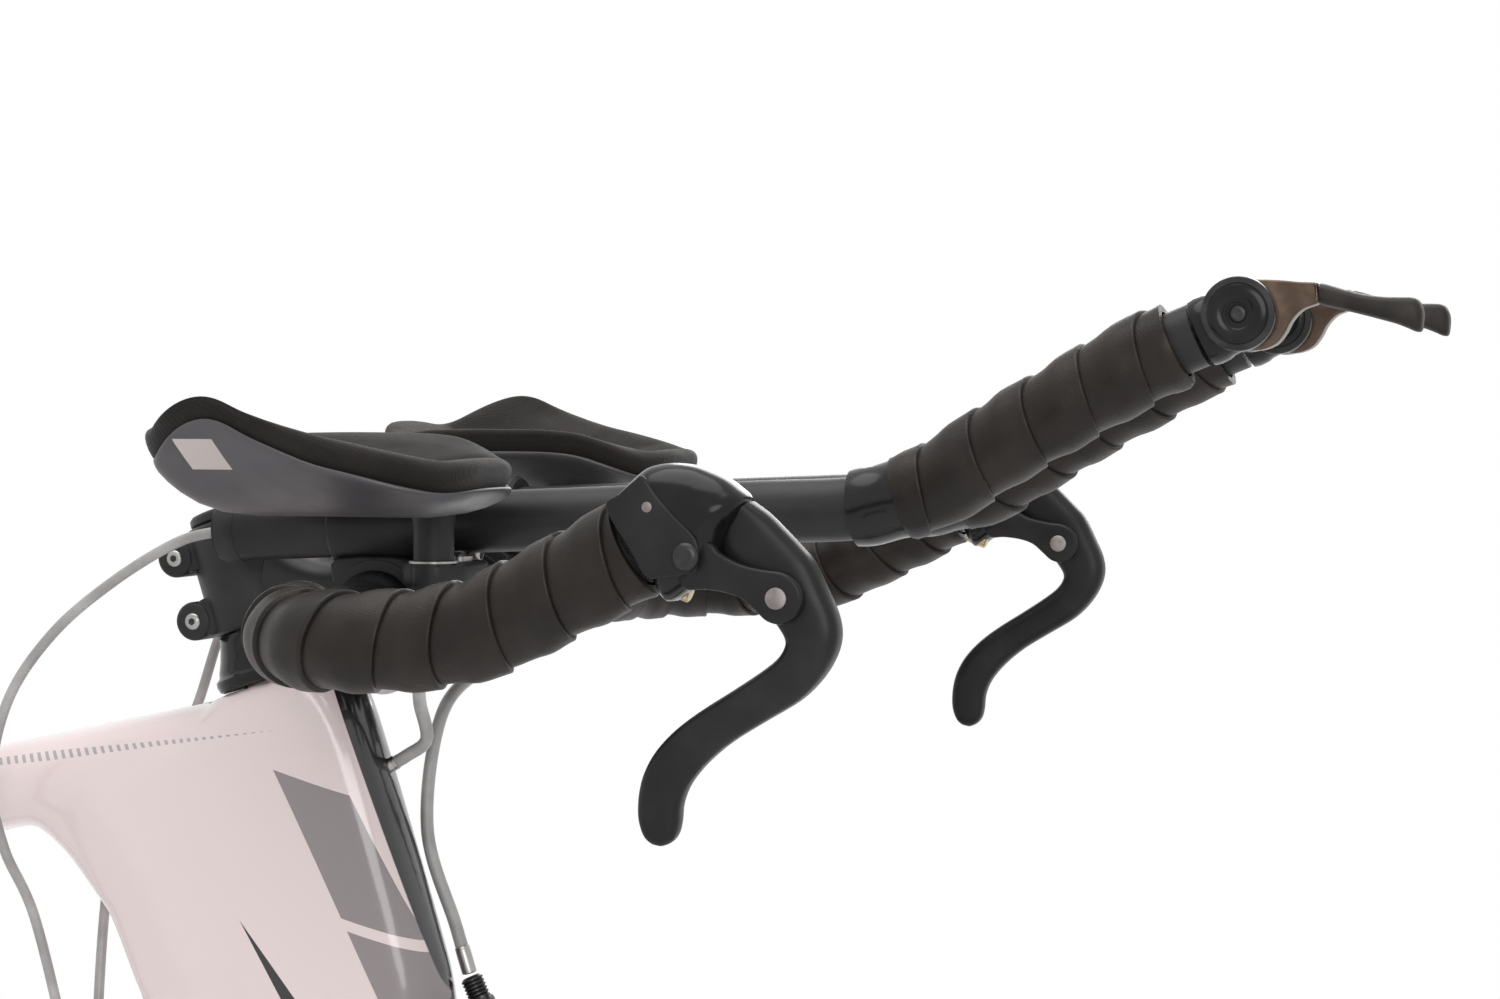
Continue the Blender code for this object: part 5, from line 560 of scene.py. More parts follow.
stem = Form()
stem_low = HEAD_LENGTH + 0.0215
stem.lathe(head(stem_low), HEAD_UP, mm((0.2, 14.8), (0.2, 19), (1.2, 20), (40, 20), (41.2, 19.4), (42, 18.4),
                                       (42, 14.8), (0.2, 14.8)), steps=64)
stem_middle = head(stem_low + 0.0210)
stem_ahead = (BAR_CENTRE - stem_middle).normalized()
stem_across = SIDE.cross(stem_ahead)
stem_reach = (BAR_CENTRE - stem_middle).length
body_sections = ((0.16, 0.0170, 0.0178, 0.0165), (0.30, 0.0115, 0.0170, 0.0168),
                 (0.45, 0.0100, 0.0163, 0.0172), (0.62, 0.0135, 0.0160, 0.0182),
                 (0.78, 0.0170, 0.0172, 0.0195), (0.90, 0.0188, 0.0188, 0.0205))
rings = []
for i in range(21):
    share, below, above, wide = between([Vector(row) for row in body_sections], i / 20)
    centre = stem_middle + stem_ahead * stem_reach * share
    rings.append([centre + SIDE * a + stem_across * (b * (above if b > 0 else below))
                  for a, b in ((wide * p[0], p[1]) for p in squarish(1.0, 1.0, square=0.62, count=40))])
stem.skin(rings)
for along in (0.0085, 0.0335):
    at = head(stem_low + along, -0.0218)
    stem.tone = satin_black
    stem.rod(at - SIDE * 0.0155, at + SIDE * 0.0155, 0.0074, steps=32, edge=0.0016)
    web = head(stem_low + along, -0.0155)
    stem.rod(web - SIDE * 0.0148, web + SIDE * 0.0148, 0.0072, steps=32, edge=0.0016)
    socket_bolt(stem, at - SIDE * 0.0152, -SIDE, 0.0031, 0.0012, bolt_steel, bolt_black)
    socket_bolt(stem, at + SIDE * 0.0152, SIDE, 0.0031, 0.0012, bolt_steel, bolt_black)
stem.tone = satin_black
OUTER = BAR_CLAMP_RADIUS + 0.0052
CLAMP_HALF = 0.0212
FACE_BOLT_RISE, FACE_BOLT_SIDE = 0.0205, 0.0150


def clamp_half(form, start, stop, inner, outer, half_width):
    """Part of a ring round the bar, between two angles from the stem's own direction."""
    count = 26
    rings = []
    for i in range(count + 1):
        t = start + (stop - start) * i / count
        out = stem_ahead * cos(t) + stem_across * sin(t)
        loop = []
        for a, b in squarish(1.0, 1.0, square=0.35, count=28):
            r = (inner + outer) / 2 + (outer - inner) / 2 * b
            loop.append(BAR_CENTRE + out * r + SIDE * half_width * a)
        rings.append(loop)
    form.skin(rings)


clamp_half(stem, pi / 2 + 0.05, 3 * pi / 2 - 0.05, BAR_CLAMP_RADIUS + 0.0002, OUTER, CLAMP_HALF)
face_bolts = [BAR_CENTRE + stem_across * rise * FACE_BOLT_RISE + SIDE * left * FACE_BOLT_SIDE
              for rise in (-1, 1) for left in (-1, 1)]
for bolt in face_bolts:
    at = bolt - stem_ahead * 0.0012
    stem.rod(at, at - stem_ahead * 0.0110, 0.0054, steps=28, edge=0.0015)
stem.tone = satin_black
stem.lathe(head(stem_low + 0.0420), HEAD_UP, mm((0.2, 5), (0.2, 16.5), (1.2, 17.2), (3.4, 17), (4.6, 15.8),
                                                (5, 14), (4.4, 7), (3, 6), (0.2, 5)), steps=56)
socket_bolt(stem, head(stem_low + 0.0428), HEAD_UP, 0.0052, 0.0026, bolt_black, bolt_black)
fitted(stem.object("stem_forging", [satin_black, bolt_steel, bolt_black]), "steering_body", "black_alloy",
       "stem")

face = Form()
clamp_half(face, -pi / 2 + 0.05, pi / 2 - 0.05, BAR_CLAMP_RADIUS + 0.0002, OUTER, CLAMP_HALF)
for bolt in face_bolts:
    at = bolt + stem_ahead * 0.0012
    face.tone = satin_black
    face.rod(at, at + stem_ahead * 0.0070, 0.0054, steps=28, edge=0.0015)
    socket_bolt(face, at + stem_ahead * 0.0068, stem_ahead, 0.0036, 0.0022, bolt_steel, bolt_black)
fitted(face.object("face_plate_forging", [satin_black, bolt_steel, bolt_black]), "steering_body",
       "black_alloy", "stem_face_plate")

# Base bar
# A cold-bent aluminium tube, 31.8 mm in the clamp and drawn down to 24 mm outside it, with upturned horns.
# Bead-blasted and anodised satin black.

HORN_Y = 0.200
BAR_RADIUS = 0.0119
HALF_BAR = mm((-198, -18, 64), (-195, -17.8, 95), (-189, -17.5, 133), (-181, -17.2, 162), (-172, -17.1, 180),
              (-158, -17, 194), (-142, -16.8, 200), (-120, -15.5, 200), (-98, -11, 200), (-80, -2.5, 200),
              (-48, 14.2, 200))


def bar_half(side):
    return [cockpit(x, z, side * y) for x, z, y in HALF_BAR]


def bar_radius(across):
    """Thick in the clamp, then a short cone to the thinner ends."""
    share = min(1.0, max(0.0, (abs(across) - 0.0560) / 0.0100))
    share = share * share * (3 - 2 * share)
    return BAR_CLAMP_RADIUS + (BAR_RADIUS - BAR_CLAMP_RADIUS) * share


bar = Form()
bar_route = Route(bar_half(-1)[::-1] + [BAR_CENTRE - SIDE * 0.030, BAR_CENTRE, BAR_CENTRE + SIDE * 0.030]
                  + bar_half(1))
rings = []
for i in range(301):
    point, _, up, side = bar_route.at(bar_route.length * i / 300)
    rings.append(hoop(point, up, side, bar_radius(point.y), 40))
bar.skin(rings)
fitted(bar.object("base_bar_tube", [satin_black]), "steering_body", "black_alloy", "base_bar")

# Bar tape
# Soft synthetic tape in a dark brown-black, wound along each horn, each turn lapping the next in a helix. A
# band of adhesive tape holds its end near the stem. The lapped edge is a millimetre high and slightly rolled.


def tape_finish():
    tape = Finish("brown_black_tape", (0.012, 0.009, 0.007), roughness=0.42, specular_ior_level=0.26)
    place = tape.place()
    marble = tape.band(tape.cloud(38.0, 6.0, place), 0.38, 0.68)
    colour = tape.blend(marble, (0.0090, 0.0064, 0.0048), (0.0185, 0.0132, 0.0100))
    # paler grey patches scattered at random over the tape
    grey_patches = tape.band(tape.cloud(14.0, 4.0, place), 0.50, 0.74)
    colour = tape.blend(grey_patches * 0.5, colour, (0.026, 0.024, 0.024))
    tape.feed("Base Color", colour)
    tape.feed("Roughness", 0.32 + tape.cloud(90.0, 3.0, place) * 0.22)
    pores = tape.node("ShaderNodeTexVoronoi", {"distance": "EUCLIDEAN"}, {"Vector": place, "Scale": 1300.0})
    creases = tape.cloud(260.0, 5.0, place)
    tape.relief(pores * 0.35 + creases, 0.35, 0.0004)
    return tape.material


def band_finish():
    band = Finish("adhesive_band", (0.007, 0.007, 0.0075), roughness=0.2, specular_ior_level=0.22,
                  coat_weight=0.12, coat_roughness=0.08)
    ripple = band.cloud(120.0, 3.0)
    band.feed("Base Color", band.blend(ripple, (0.006, 0.006, 0.0065), (0.013, 0.012, 0.012)))
    band.feed("Roughness", 0.16 + ripple * 0.14)
    band.relief(ripple, 0.25, 0.0006)
    return band.material


brown_tape = tape_finish()
adhesive_band = band_finish()
# over one turn, from one lapped edge to the next: the share of the step that the surface stands up
TURN = ((0.000, 0.00), (0.016, 0.02), (0.10, 0.10), (0.22, 0.22), (0.34, 0.46), (0.45, 0.84), (0.56, 1.08),
        (0.68, 1.10), (0.80, 1.04), (0.90, 1.00), (0.955, 1.04), (0.976, 1.02), (0.990, 0.80), (0.997, 0.42))


def wound(form, route, start, stop, turns, radius, step, hand, seed, sides=56):
    """Tape round a route: one strip whose front edge laps the next turn, so the edges run in a helix."""
    pitch = (stop - start) / turns
    per_turn = len(TURN)
    first = len(form.points)
    total = (turns + 1) * per_turn + 1
    runs = []
    for i in range(total):
        turn, k = divmod(i, per_turn)
        share, rise = TURN[k]
        for j in range(sides):
            angle = 2 * pi * j / sides
            at = turn - 1 + share + j / sides
            drift = noise.noise(Vector((at * 0.9, seed, angle * 0.35))) * 0.10
            drift *= min(1.0, max(0.0, min(at, turns - at)))
            run = min(max(start + pitch * (at + drift), start), stop)
            ruck = noise.noise(Vector((at * 2.1, cos(angle) * 1.4 + seed, sin(angle) * 1.4)))
            point, _, up, side = route.at(run)
            full = radius + step * (rise - 1.0) + ruck * 0.00035
            near = min(run - start, stop - run, 0.0012) / 0.0012
            full = full * near + (radius - step * 0.6) * (1.0 - near)
            form.points.append(point + (up * cos(hand * angle) + side * sin(hand * angle)) * full)
            runs.append(run)
    for i in range(total - 1):
        for j in range(sides):
            a, b = i * sides + j, (i + 1) * sides + j
            corners = (a, a + 1, b + 1, b)
            if j == sides - 1:
                c = (i + per_turn) * sides
                corners = (a, c, c + sides, b)
            near = [runs[k] for k in corners if k < len(runs)]
            if len(near) == 4 and max(near) - min(near) > 1e-6:
                form.faces.append(tuple(first + k for k in corners))
    inner, outer = radius - step - 0.0022, radius - step * 0.6
    for run in (start, stop):
        point, _, up, side = route.at(run)
        count = len(form.points)
        form.points += hoop(point, up, side * hand, outer, sides) + hoop(point, up, side * hand, inner, sides)
        for j in range(sides):
            k = (j + 1) % sides
            form.faces.append((count + j, count + k, count + sides + k, count + sides + j))
    form.tones += [form.tone] * (len(form.faces) - len(form.tones))


HALVES = (("right", -1), ("left", 1))
TAPE_START = 0.072
for word, side in HALVES:
    tape = Form()
    route = Route(bar_half(side))
    wound(tape, route, TAPE_START, route.length - 0.0002, turns=9, radius=0.0164, step=0.0014, hand=side,
          seed=3.0 + side)
    tape.tone = adhesive_band
    tape.tube(route, lambda s: 0.0137 + 0.0004 * sin(s * pi), sides=48, start=TAPE_START - 0.013,
              end=TAPE_START + 0.003, pace=0.002)
    fitted(tape.object(f"{word}_horn_tape", [brown_tape, adhesive_band], sharp=50.0), "steering_body",
           "cork_tape", f"{word}_bar_tape")

# Brake levers
# An aero lever plugs into each horn: a gloss hood, a matte side plate with a domed screw, and two cheeks that
# hold the blade on a steel pin. A brass adjuster takes the cable where it leaves the hood.


def lever_finish():
    black = Finish("lever_matte", (0.014, 0.013, 0.013), roughness=0.34, specular_ior_level=0.22)
    drift = black.band(black.cloud(45.0, 4.0), 0.40, 0.72)
    black.feed("Base Color", black.blend(drift, (0.011, 0.0103, 0.0103), (0.021, 0.019, 0.019)))
    black.feed("Roughness", 0.27 + black.cloud(130.0, 4.0) * 0.20)
    black.relief(black.cloud(1500.0, 2.0), 0.12, 0.0001)
    return black.material


lever_matte = lever_finish()
brass = grained_finish("brass", (0.48, 0.37, 0.20), roughness=0.3, metallic=1.0, dark=(0.40, 0.30, 0.16),
                       light=(0.62, 0.52, 0.33), low=0.20, rise=0.24, scale=240.0, detail=4.0).material
pin_steel = worn_finish("pin_steel", (0.24, 0.21, 0.205), roughness=0.5, metallic=0.6,
                        dark=(0.20, 0.175, 0.17), light=(0.32, 0.285, 0.28), low=0.42, high=0.6, scale=200.0)
HOOD = mm((-54.6, 27.5), (-50.8, 32.6), (-44.4, 38.2), (-40.1, 39.8), (-34.8, 40.3), (-28.4, 39.6),
          (-23.1, 37.8), (-18.9, 35.9), (-15, 33.2), (-11.8, 30), (-12.8, 25.5), (-16.5, 19), (-19, 13),
          (-20.5, 7.5), (-23, 3), (-28.6, 2.2), (-37, -2), (-43, 8), (-49, 18))
CHEEK = mm((-30, 18), (-31, 6), (-28.6, 2.2), (-23, 2.3), (-16.4, 1.5), (-10.9, -0.4), (-6.6, -4), (-3, -7),
           (1.5, -7.8), (5.8, -5.4), (7.9, -0.6), (6.8, 4.2), (2.2, 7.6), (-4.5, 8.6), (-12, 10.3),
           (-18, 13.5), (-21, 16.5))
SIDE_PLATE = mm((-53.2, 27), (-49, 31), (-44, 35.2), (-41.2, 36.6), (-37, 31), (-31, 24.5), (-25.2, 19),
                (-23.4, 15), (-23.8, 10.4), (-27, 7.2), (-33, 6.2), (-40, 6), (-45, 13))
BLADE = mm((-10.8, 28.8, -18.6, 22, 11.8), (-5.4, 25.1, -19.8, 15, 12.2), (-0.7, 20.7, -18.2, 9.2, 12.4),
           (4.5, 15.5, -13, 3.6, 12.6), (8.8, 10.6, -8.2, -0.6, 13), (13.2, 1.7, -5.2, -5.2, 13.2),
           (16.2, -5.1, -2.2, -8.8, 13.2), (17.2, -11.4, 0.1, -12.5, 13.2), (15.8, -17.5, 0.1, -15.3, 13),
           (11.8, -24.3, -2.4, -19, 12.8), (4.8, -31.3, -7.8, -23.2, 12.5), (-7.2, -38.6, -16.8, -29.1, 12),
           (-17, -44.7, -26.2, -35, 11.5), (-24.9, -51.3, -34.5, -41.1, 11.1),
           (-30.4, -57.9, -41, -47.8, 10.7), (-33, -64, -44.9, -54.5, 10.3), (-33.6, -69.5, -46.7, -61, 10),
           (-34.3, -72.8, -47.1, -67.5, 9.6), (-35.6, -75.1, -46.3, -71.8, 9),
           (-37.4, -76.6, -44.9, -74.8, 7.8), (-39.2, -77.3, -43, -76.5, 5.6))
HOOD_HEART = Vector((-0.0355, 0.0180))


def lever_at(side, x=0.0, z=0.0, y=0.0):
    return cockpit(x, z, side * HORN_Y + y)


for word, side in HALVES:
    hood = Form()
    rings = []
    for k in range(-11, 12):
        turn = pi / 2 * min(1.0, (11 - abs(k)) / 9)
        inset = 0.0118 * (1 - sin(turn))
        across = (0.0135 - 0.0118 * (1 - cos(turn))) * (1 if k > 0 else -1) if abs(k) > 2 else 0.0008 * k
        if abs(k) == 11:
            inset = 0.0118
        spokes = [p - HOOD_HEART for p in smooth_loop(HOOD)]
        rings.append([lever_at(side, *(HOOD_HEART + spoke * (1 - inset / spoke.length)), across)
                      for spoke in spokes])
    # each side ends in a small loop round the heart
    ends = [[p.lerp(lever_at(side, *HOOD_HEART, p.y - side * HORN_Y), 0.96) for p in ring]
            for ring in (rings[0], rings[-1])]
    hood.skin([ends[0]] + rings + [ends[1]])
    hood.tone = lever_matte
    cheek = [tuple(p) for p in smooth_loop(CHEEK)]
    for left in (-1, 1):
        low, high = (0.0071, 0.0112) if left < 0 else (-0.0112, -0.0071)
        hood.slab(cheek, lever_at(side), FORE, UP, low, high, soft=0.0012)
        plate = [tuple(p) for p in smooth_loop(SIDE_PLATE)]
        low, high = (0.0124, 0.0144) if left < 0 else (-0.0144, -0.0124)
        hood.slab(plate, lever_at(side), FORE, UP, low, high, soft=0.0008, steps=3)
        out = SIDE * left
        hood.tone = pin_steel
        hood.lathe(lever_at(side) + out * 0.0106, out, mm((0, 3.3), (1.1, 3.3), (1.4, 2.9), (1.4, 1)),
                   steps=32)
        hood.lathe(lever_at(side, -0.0398, 0.0272) + out * 0.0140, out,
                   mm((0, 1.7), (0.6, 1.6), (0.9, 1), (1, 0.4)), steps=24)
        socket_bolt(hood, lever_at(side, -0.0275, 0.0124) + out * 0.0142, out, 0.0042, 0.0020, bolt_black,
                    bolt_black)
        hood.tone = lever_matte
    hood.tone = brass
    barrel = lever_at(side, -0.0362, 0.0016, -side * 0.004)
    lean = Vector((0.86, 0, -0.34)).normalized()
    hood.lathe(barrel - lean * 0.003, lean, mm((0, 2.8), (3, 2.9), (3.4, 2.3), (4, 2.3), (4.3, 2.8),
                                               (7.4, 2.8), (7.8, 2.3), (7.8, 1.2)), steps=28)
    hood.tone = bolt_steel
    hood.rod(lever_at(side, 0, 0, -0.0100), lever_at(side, 0, 0, 0.0100), 0.0023)
    fitted(hood.object(f"{word}_lever_hood",
                       [gloss_black, lever_matte, bolt_steel, bolt_black, brass, pin_steel], sharp=38.0),
           "steering_body", "black_plastic", f"{word}_brake_lever_body")

    blade = Form()
    rings = []
    stations = [Vector(row) for row in BLADE]
    for i in range(81):
        ox, oz, ix, iz, wide = between(stations, i / 80)
        outer, inner = lever_at(side, ox, oz), lever_at(side, ix, iz)
        middle, along = (outer + inner) / 2, (outer - inner) / 2
        rings.append([middle + along * b + SIDE * a
                      for a, b in squarish(wide / 2, 1.0, square=0.62, count=36)])
    blade.skin(rings)
    fitted(blade.object(f"{word}_lever_blade", [lever_matte], sharp=50.0), f"{word}_brake_lever_blade",
           "lever_black", f"{word}_brake_lever")

# Extensions
# Two 22 mm aluminium tubes run forward over the bar and sweep up at the front. A rubber plug closes each rear
# end, where the gear housing goes in. The front is wound with the same tape, behind it an adhesive band.

EXTENSION_Y = 0.0426
EXTENSION_RADIUS = 0.0111
EXTENSION_SLOPE, EXTENSION_LIFT = 0.0442, 0.0225
EXTENSION = mm((-264, 10.8), (-220, 12.8), (-160, 15.4), (-100, 18.1), (-56, 20), (-24, 21.4), (-7.4, 24.7),
               (6, 29.4), (15, 34.8), (26.5, 42.1), (39, 50), (53, 58), (66.5, 65.8), (81, 73.8), (90, 78),
               (98.5, 81.5))


def extension_points(side):
    return [cockpit(x, z, side * EXTENSION_Y) for x, z in EXTENSION]


def housing_finish():
    grey = Finish("housing_grey", (0.36, 0.35, 0.34), roughness=0.36)
    drift = grey.band(grey.cloud(70.0, 3.0), 0.35, 0.7)
    grey.feed("Base Color", grey.blend(drift, (0.31, 0.30, 0.295), (0.42, 0.41, 0.40)))
    grey.feed("Roughness", 0.28 + grey.cloud(160.0) * 0.18)
    return grey.material


TAPE_BACK, TAPE_FRONT = 0.1180, 0.0085
housing_grey = housing_finish()
soft_rubber = worn_finish("soft_rubber", (0.017, 0.017, 0.017), roughness=0.62,
                          dark=(0.018, 0.018, 0.018), light=(0.032, 0.031, 0.030), low=0.52, high=0.72,
                          scale=50.0, grain=(1100.0, 3.0, 0.2, 0.0002), specular_ior_level=0.25)
for word, side in HALVES:
    route = Route(extension_points(side), SIDE)
    tube = Form()
    tube.tube(route, EXTENSION_RADIUS, sides=40, end=route.length - 0.0005, pace=0.003)
    tube.tone = soft_rubber
    back, ahead, _, _ = route.at(0.0)
    tube.lathe(back, ahead, mm((-0.4, 2.8), (-0.8, 9), (0, 10.6), (1.6, 11.6), (7.4, 11.7), (8.4, 11.2)),
               steps=40)
    fitted(tube.object(f"{word}_extension_tube", [satin_black, soft_rubber]), "steering_body", "black_alloy",
           f"{word}_extension")

    tape = Form()
    start = route.length - TAPE_BACK
    wound(tape, route, start, route.length - TAPE_FRONT, turns=5, radius=0.0154, step=0.0013, hand=side,
          seed=9.0 + side)
    tape.tone = adhesive_band
    tape.tube(route, lambda s: 0.0134 + 0.0008 * s + 0.0003 * sin(s * 7.0), sides=48, start=start - 0.0175,
              end=start + 0.0030, pace=0.0012)
    fitted(tape.object(f"{word}_extension_winding", [brown_tape, adhesive_band], sharp=50.0), "steering_body",
           "cork_tape", f"{word}_extension_tape")

# Extension brackets
# Each is a forged clamp round the bar with a ring on top for the extension, held by silver-ringed bolts, and
# an ear that carries the post of the arm rest. Satin black, with one silver washer under the post.

CUP_BACK = -0.2520
CUP_LENGTH = 0.1190
ARM_REST_Y = 0.1037
RISER_X = -0.1660
RISER_Y = ARM_REST_Y - 0.026
for word, side in HALVES:
    part = Form()
    centre = cockpit(BAR_X, BAR_Z, side * EXTENSION_Y)
    band = mm((-13, 16.2), (-13, 19.6), (-11.8, 20.8), (11.8, 20.8), (13, 19.6), (13, 16.2), (-13, 16.2))
    part.lathe(centre, SIDE, band, steps=56)
    slope = Vector((1, 0, EXTENSION_SLOPE)).normalized()
    tube_at = cockpit(BAR_X, EXTENSION_LIFT + BAR_X * EXTENSION_SLOPE, side * EXTENSION_Y)
    grip = mm((-19, 11.4), (-19, 14.2), (-17.8, 15.3), (17.8, 15.3), (19, 14.2), (19, 11.4), (-19, 11.4))
    part.lathe(tube_at, slope, grip)
    neck = mm((-15, -1), (15, -1), (16.8, 11), (15, 20), (-15, 20), (-16.8, 11))
    for across in (-0.0084, 0.0084):
        part.slab([tuple(p) for p in smooth_loop(neck, steps=3)], centre + SIDE * across, FORE, UP, -0.0044,
                  0.0044, soft=0.0010)
    inner = centre.y + side * 0.010
    post_y = side * RISER_Y
    ear = [(-0.0220, 0.0), (-0.0200, -0.0100), (-0.0120, -0.0130), (0.0040, -0.0090), (0.0100, 0.0),
           (0.0110, 0.0200), (0.0080, abs(post_y - inner) + 0.0020), (0.0040, abs(post_y - inner) + 0.0070),
           (-0.0040, abs(post_y - inner) + 0.0070), (-0.0080, abs(post_y - inner) + 0.0020),
           (-0.0150, 0.0180)]
    ear = [(a, b * side) for a, b in (tuple(p) for p in smooth_loop(ear))]
    part.slab(ear, cockpit(RISER_X, -0.0022, inner), FORE, SIDE, -0.0042, 0.0040, soft=0.0012)
    post = cockpit(RISER_X, 0.0, post_y)
    part.lathe(post, UP, mm((-7.5, 7), (-7, 7.8), (2.2, 7.8), (2.6, 7.2), (3, 7.2), (14, 7.2), (17.2, 7.6),
                            (20, 7.8)), steps=40)
    part.tone = bolt_steel
    part.lathe(post, UP, mm((2.1, 7.4), (2.1, 8.8), (2.8, 8.8), (2.8, 7.4), (2.1, 7.4)), steps=40)
    for x, y in ((-0.1750, 0.0355), (-0.1660, 0.0535)):
        at = cockpit(x, 0.0030, side * y)
        part.tone = bolt_steel
        part.lathe(at, UP, mm((-1.2, 3), (-1.2, 4.8), (0.4, 4.8), (0.4, 3), (-1.2, 3)), steps=28)
        socket_bolt(part, at, UP, 0.0038, 0.0026, bolt_black, bolt_black)
    fitted(part.object(f"{word}_bracket_forging", [satin_black, bolt_steel, bolt_black]), "steering_body",
           "black_alloy", f"{word}_extension_bracket")

# Arm rests
# Each is a moulded cup of dark grey composite, raised in a wing on its outer side and bolted down on its
# post, with one plain pale patch on the wing. Its rim catches the light.


def cup_finish():
    grey = Finish("cup_grey", (0.062, 0.058, 0.061), roughness=0.36)
    place = grey.place()
    drift = grey.band(grey.cloud(22.0, 4.0, place), 0.36, 0.70)
    colour = grey.blend(drift, (0.052, 0.049, 0.052), (0.078, 0.073, 0.077))
    apart = grey.node("ShaderNodeSeparateXYZ", None, {0: place})
    x, y, z = apart.part("X"), apart.part("Y"), apart.part("Z")
    u = x - (LEVER_X - 0.2240) + (z - (LEVER_Z + 0.0410)) * 0.46
    v = z - (LEVER_Z + 0.0410)
    patch = (grey.band(u.maths("ABSOLUTE", u), 0.0080, 0.0078)
             * grey.band(v.maths("ABSOLUTE", v), 0.0053, 0.0051))
    patch = patch * (y.maths("ABSOLUTE", y) > 0.110)
    grey.feed("Base Color", grey.blend(patch, colour, (0.52, 0.46, 0.44)))
    grey.feed("Roughness", 0.30 + grey.cloud(150.0, 3.0, place) * 0.20)
    grey.relief(grey.cloud(1300.0, 2.0, place), 0.15, 0.0001)
    return grey.material


CUP_HALF = 0.0460
CUP_FLOOR = 0.0190
OUTER_WALL = ((-1.0, -0.85, -0.72, -0.54, -0.38, -0.19, 0.05, 0.21, 0.45, 0.68, 0.90, 1.0),
              (0.0150, 0.0245, 0.0300, 0.0336, 0.0328, 0.0265, 0.0206, 0.0170, 0.0140, 0.0108, 0.0085,
               0.0080))
INNER_WALL = ((-1.0, -0.80, -0.60, 0.30, 0.50, 0.70, 0.88, 1.0),
              (0.0120, 0.0165, 0.0180, 0.0180, 0.0172, 0.0135, 0.0098, 0.0085))


def wall_height(table, at):
    """The wall's height at a place from the back (-1) to the front (1), read as a smooth line."""
    near = [float(np.interp(at + k * 0.05, *table)) for k in (-1.5, -1, -0.5, 0, 0.5, 1, 1.5)]
    return sum(near) / len(near)


def cup_rise(share, v):
    a = 2 * share - 1
    wall = wall_height(OUTER_WALL if v > 0 else INNER_WALL, a) * abs(v) ** 2.6
    lip = 0.0200 * max(0.0, (-a - 0.45) / 0.55) ** 2.2 + 0.0085 * max(0.0, (a - 0.6) / 0.4) ** 2
    return (wall**3 + lip**3) ** (1 / 3)


def cup_half(share):
    u = abs(2 * share - 1)
    return CUP_HALF * (max(0.0, 1 - u**3.2) ** (1 / 3.2) * 0.86 + 0.14)


def cup_loop(side, grow, lift, count=112):
    """A closed line on the cup's surface, a share of the way out to its rim, lifted off it."""
    loop = []
    for j in range(count):
        t = 2 * pi * j / count
        a = abs(cos(t)) ** 0.66 * (1 if cos(t) > 0 else -1) * grow
        w = abs(sin(t)) ** 0.66 * (1 if sin(t) > 0 else -1) * grow
        share = (min(max(a, -1.0), 1.0) + 1) / 2
        v = min(max(CUP_HALF * w / cup_half(share), -1.0), 1.0)
        loop.append(cockpit(CUP_BACK + CUP_LENGTH * (a + 1) / 2, CUP_FLOOR + cup_rise(share, v) + lift,
                            side * (ARM_REST_Y + CUP_HALF * w)))
    return loop


cup_grey = cup_finish()
for word, side in HALVES:
    cup = Form()
    spread = (0.02, 0.25, 0.45, 0.62, 0.75, 0.85, 0.92, 0.97)
    levels = [(g, 0.0) for g in spread]
    levels += [(0.988, 0.0002), (0.997, 0.0008), (1.0, 0.0014), (0.997, 0.0020), (0.988, 0.0026)]
    levels += [(g, 0.0028) for g in spread[::-1]]
    cup.skin([cup_loop(side, grow, lift) for grow, lift in levels])
    cup.tone = bolt_black
    for x in (-0.0120, 0.0120):
        seat = cockpit(RISER_X + x, CUP_FLOOR + 0.0026, side * RISER_Y)
        socket_bolt(cup, seat, UP, 0.0040, 0.0012, bolt_black, bolt_black)
    fitted(cup.object(f"{word}_arm_cup", [cup_grey, bolt_black], sharp=60.0), "steering_body",
           "black_plastic", f"{word}_arm_rest")

# Arm pads
# Foam 12 mm thick under a thin brown-black stretch cloth, die-cut to the cup, held in it by hook tape and a
# little proud of its rim. The sides swell out under the cloth.


def pad_finish():
    cloth = Finish("pad_cloth", (0.012, 0.010, 0.009), roughness=0.85, specular_ior_level=0.25,
                   sheen_weight=0.14, sheen_roughness=0.45)
    place = cloth.place()
    drift = cloth.band(cloth.cloud(28.0, 4.0, place), 0.35, 0.72)
    colour = cloth.blend(drift, (0.0095, 0.0080, 0.0072), (0.019, 0.0155, 0.0138))
    cloth.feed("Base Color", colour)
    cloth.feed("Roughness", 0.74 + cloth.cloud(200.0, 3.0, place) * 0.2)
    lines = cloth.node("ShaderNodeTexWave", {"bands_direction": "X"},
                       {"Vector": place, "Scale": 420.0, "Distortion": 0.6})
    rows = cloth.node("ShaderNodeTexWave", {"bands_direction": "Y"},
                      {"Vector": place, "Scale": 420.0, "Distortion": 0.6})
    cloth.relief(lines + rows + cloth.cloud(500.0, 4.0, place), 0.3, 0.0003)
    return cloth.material


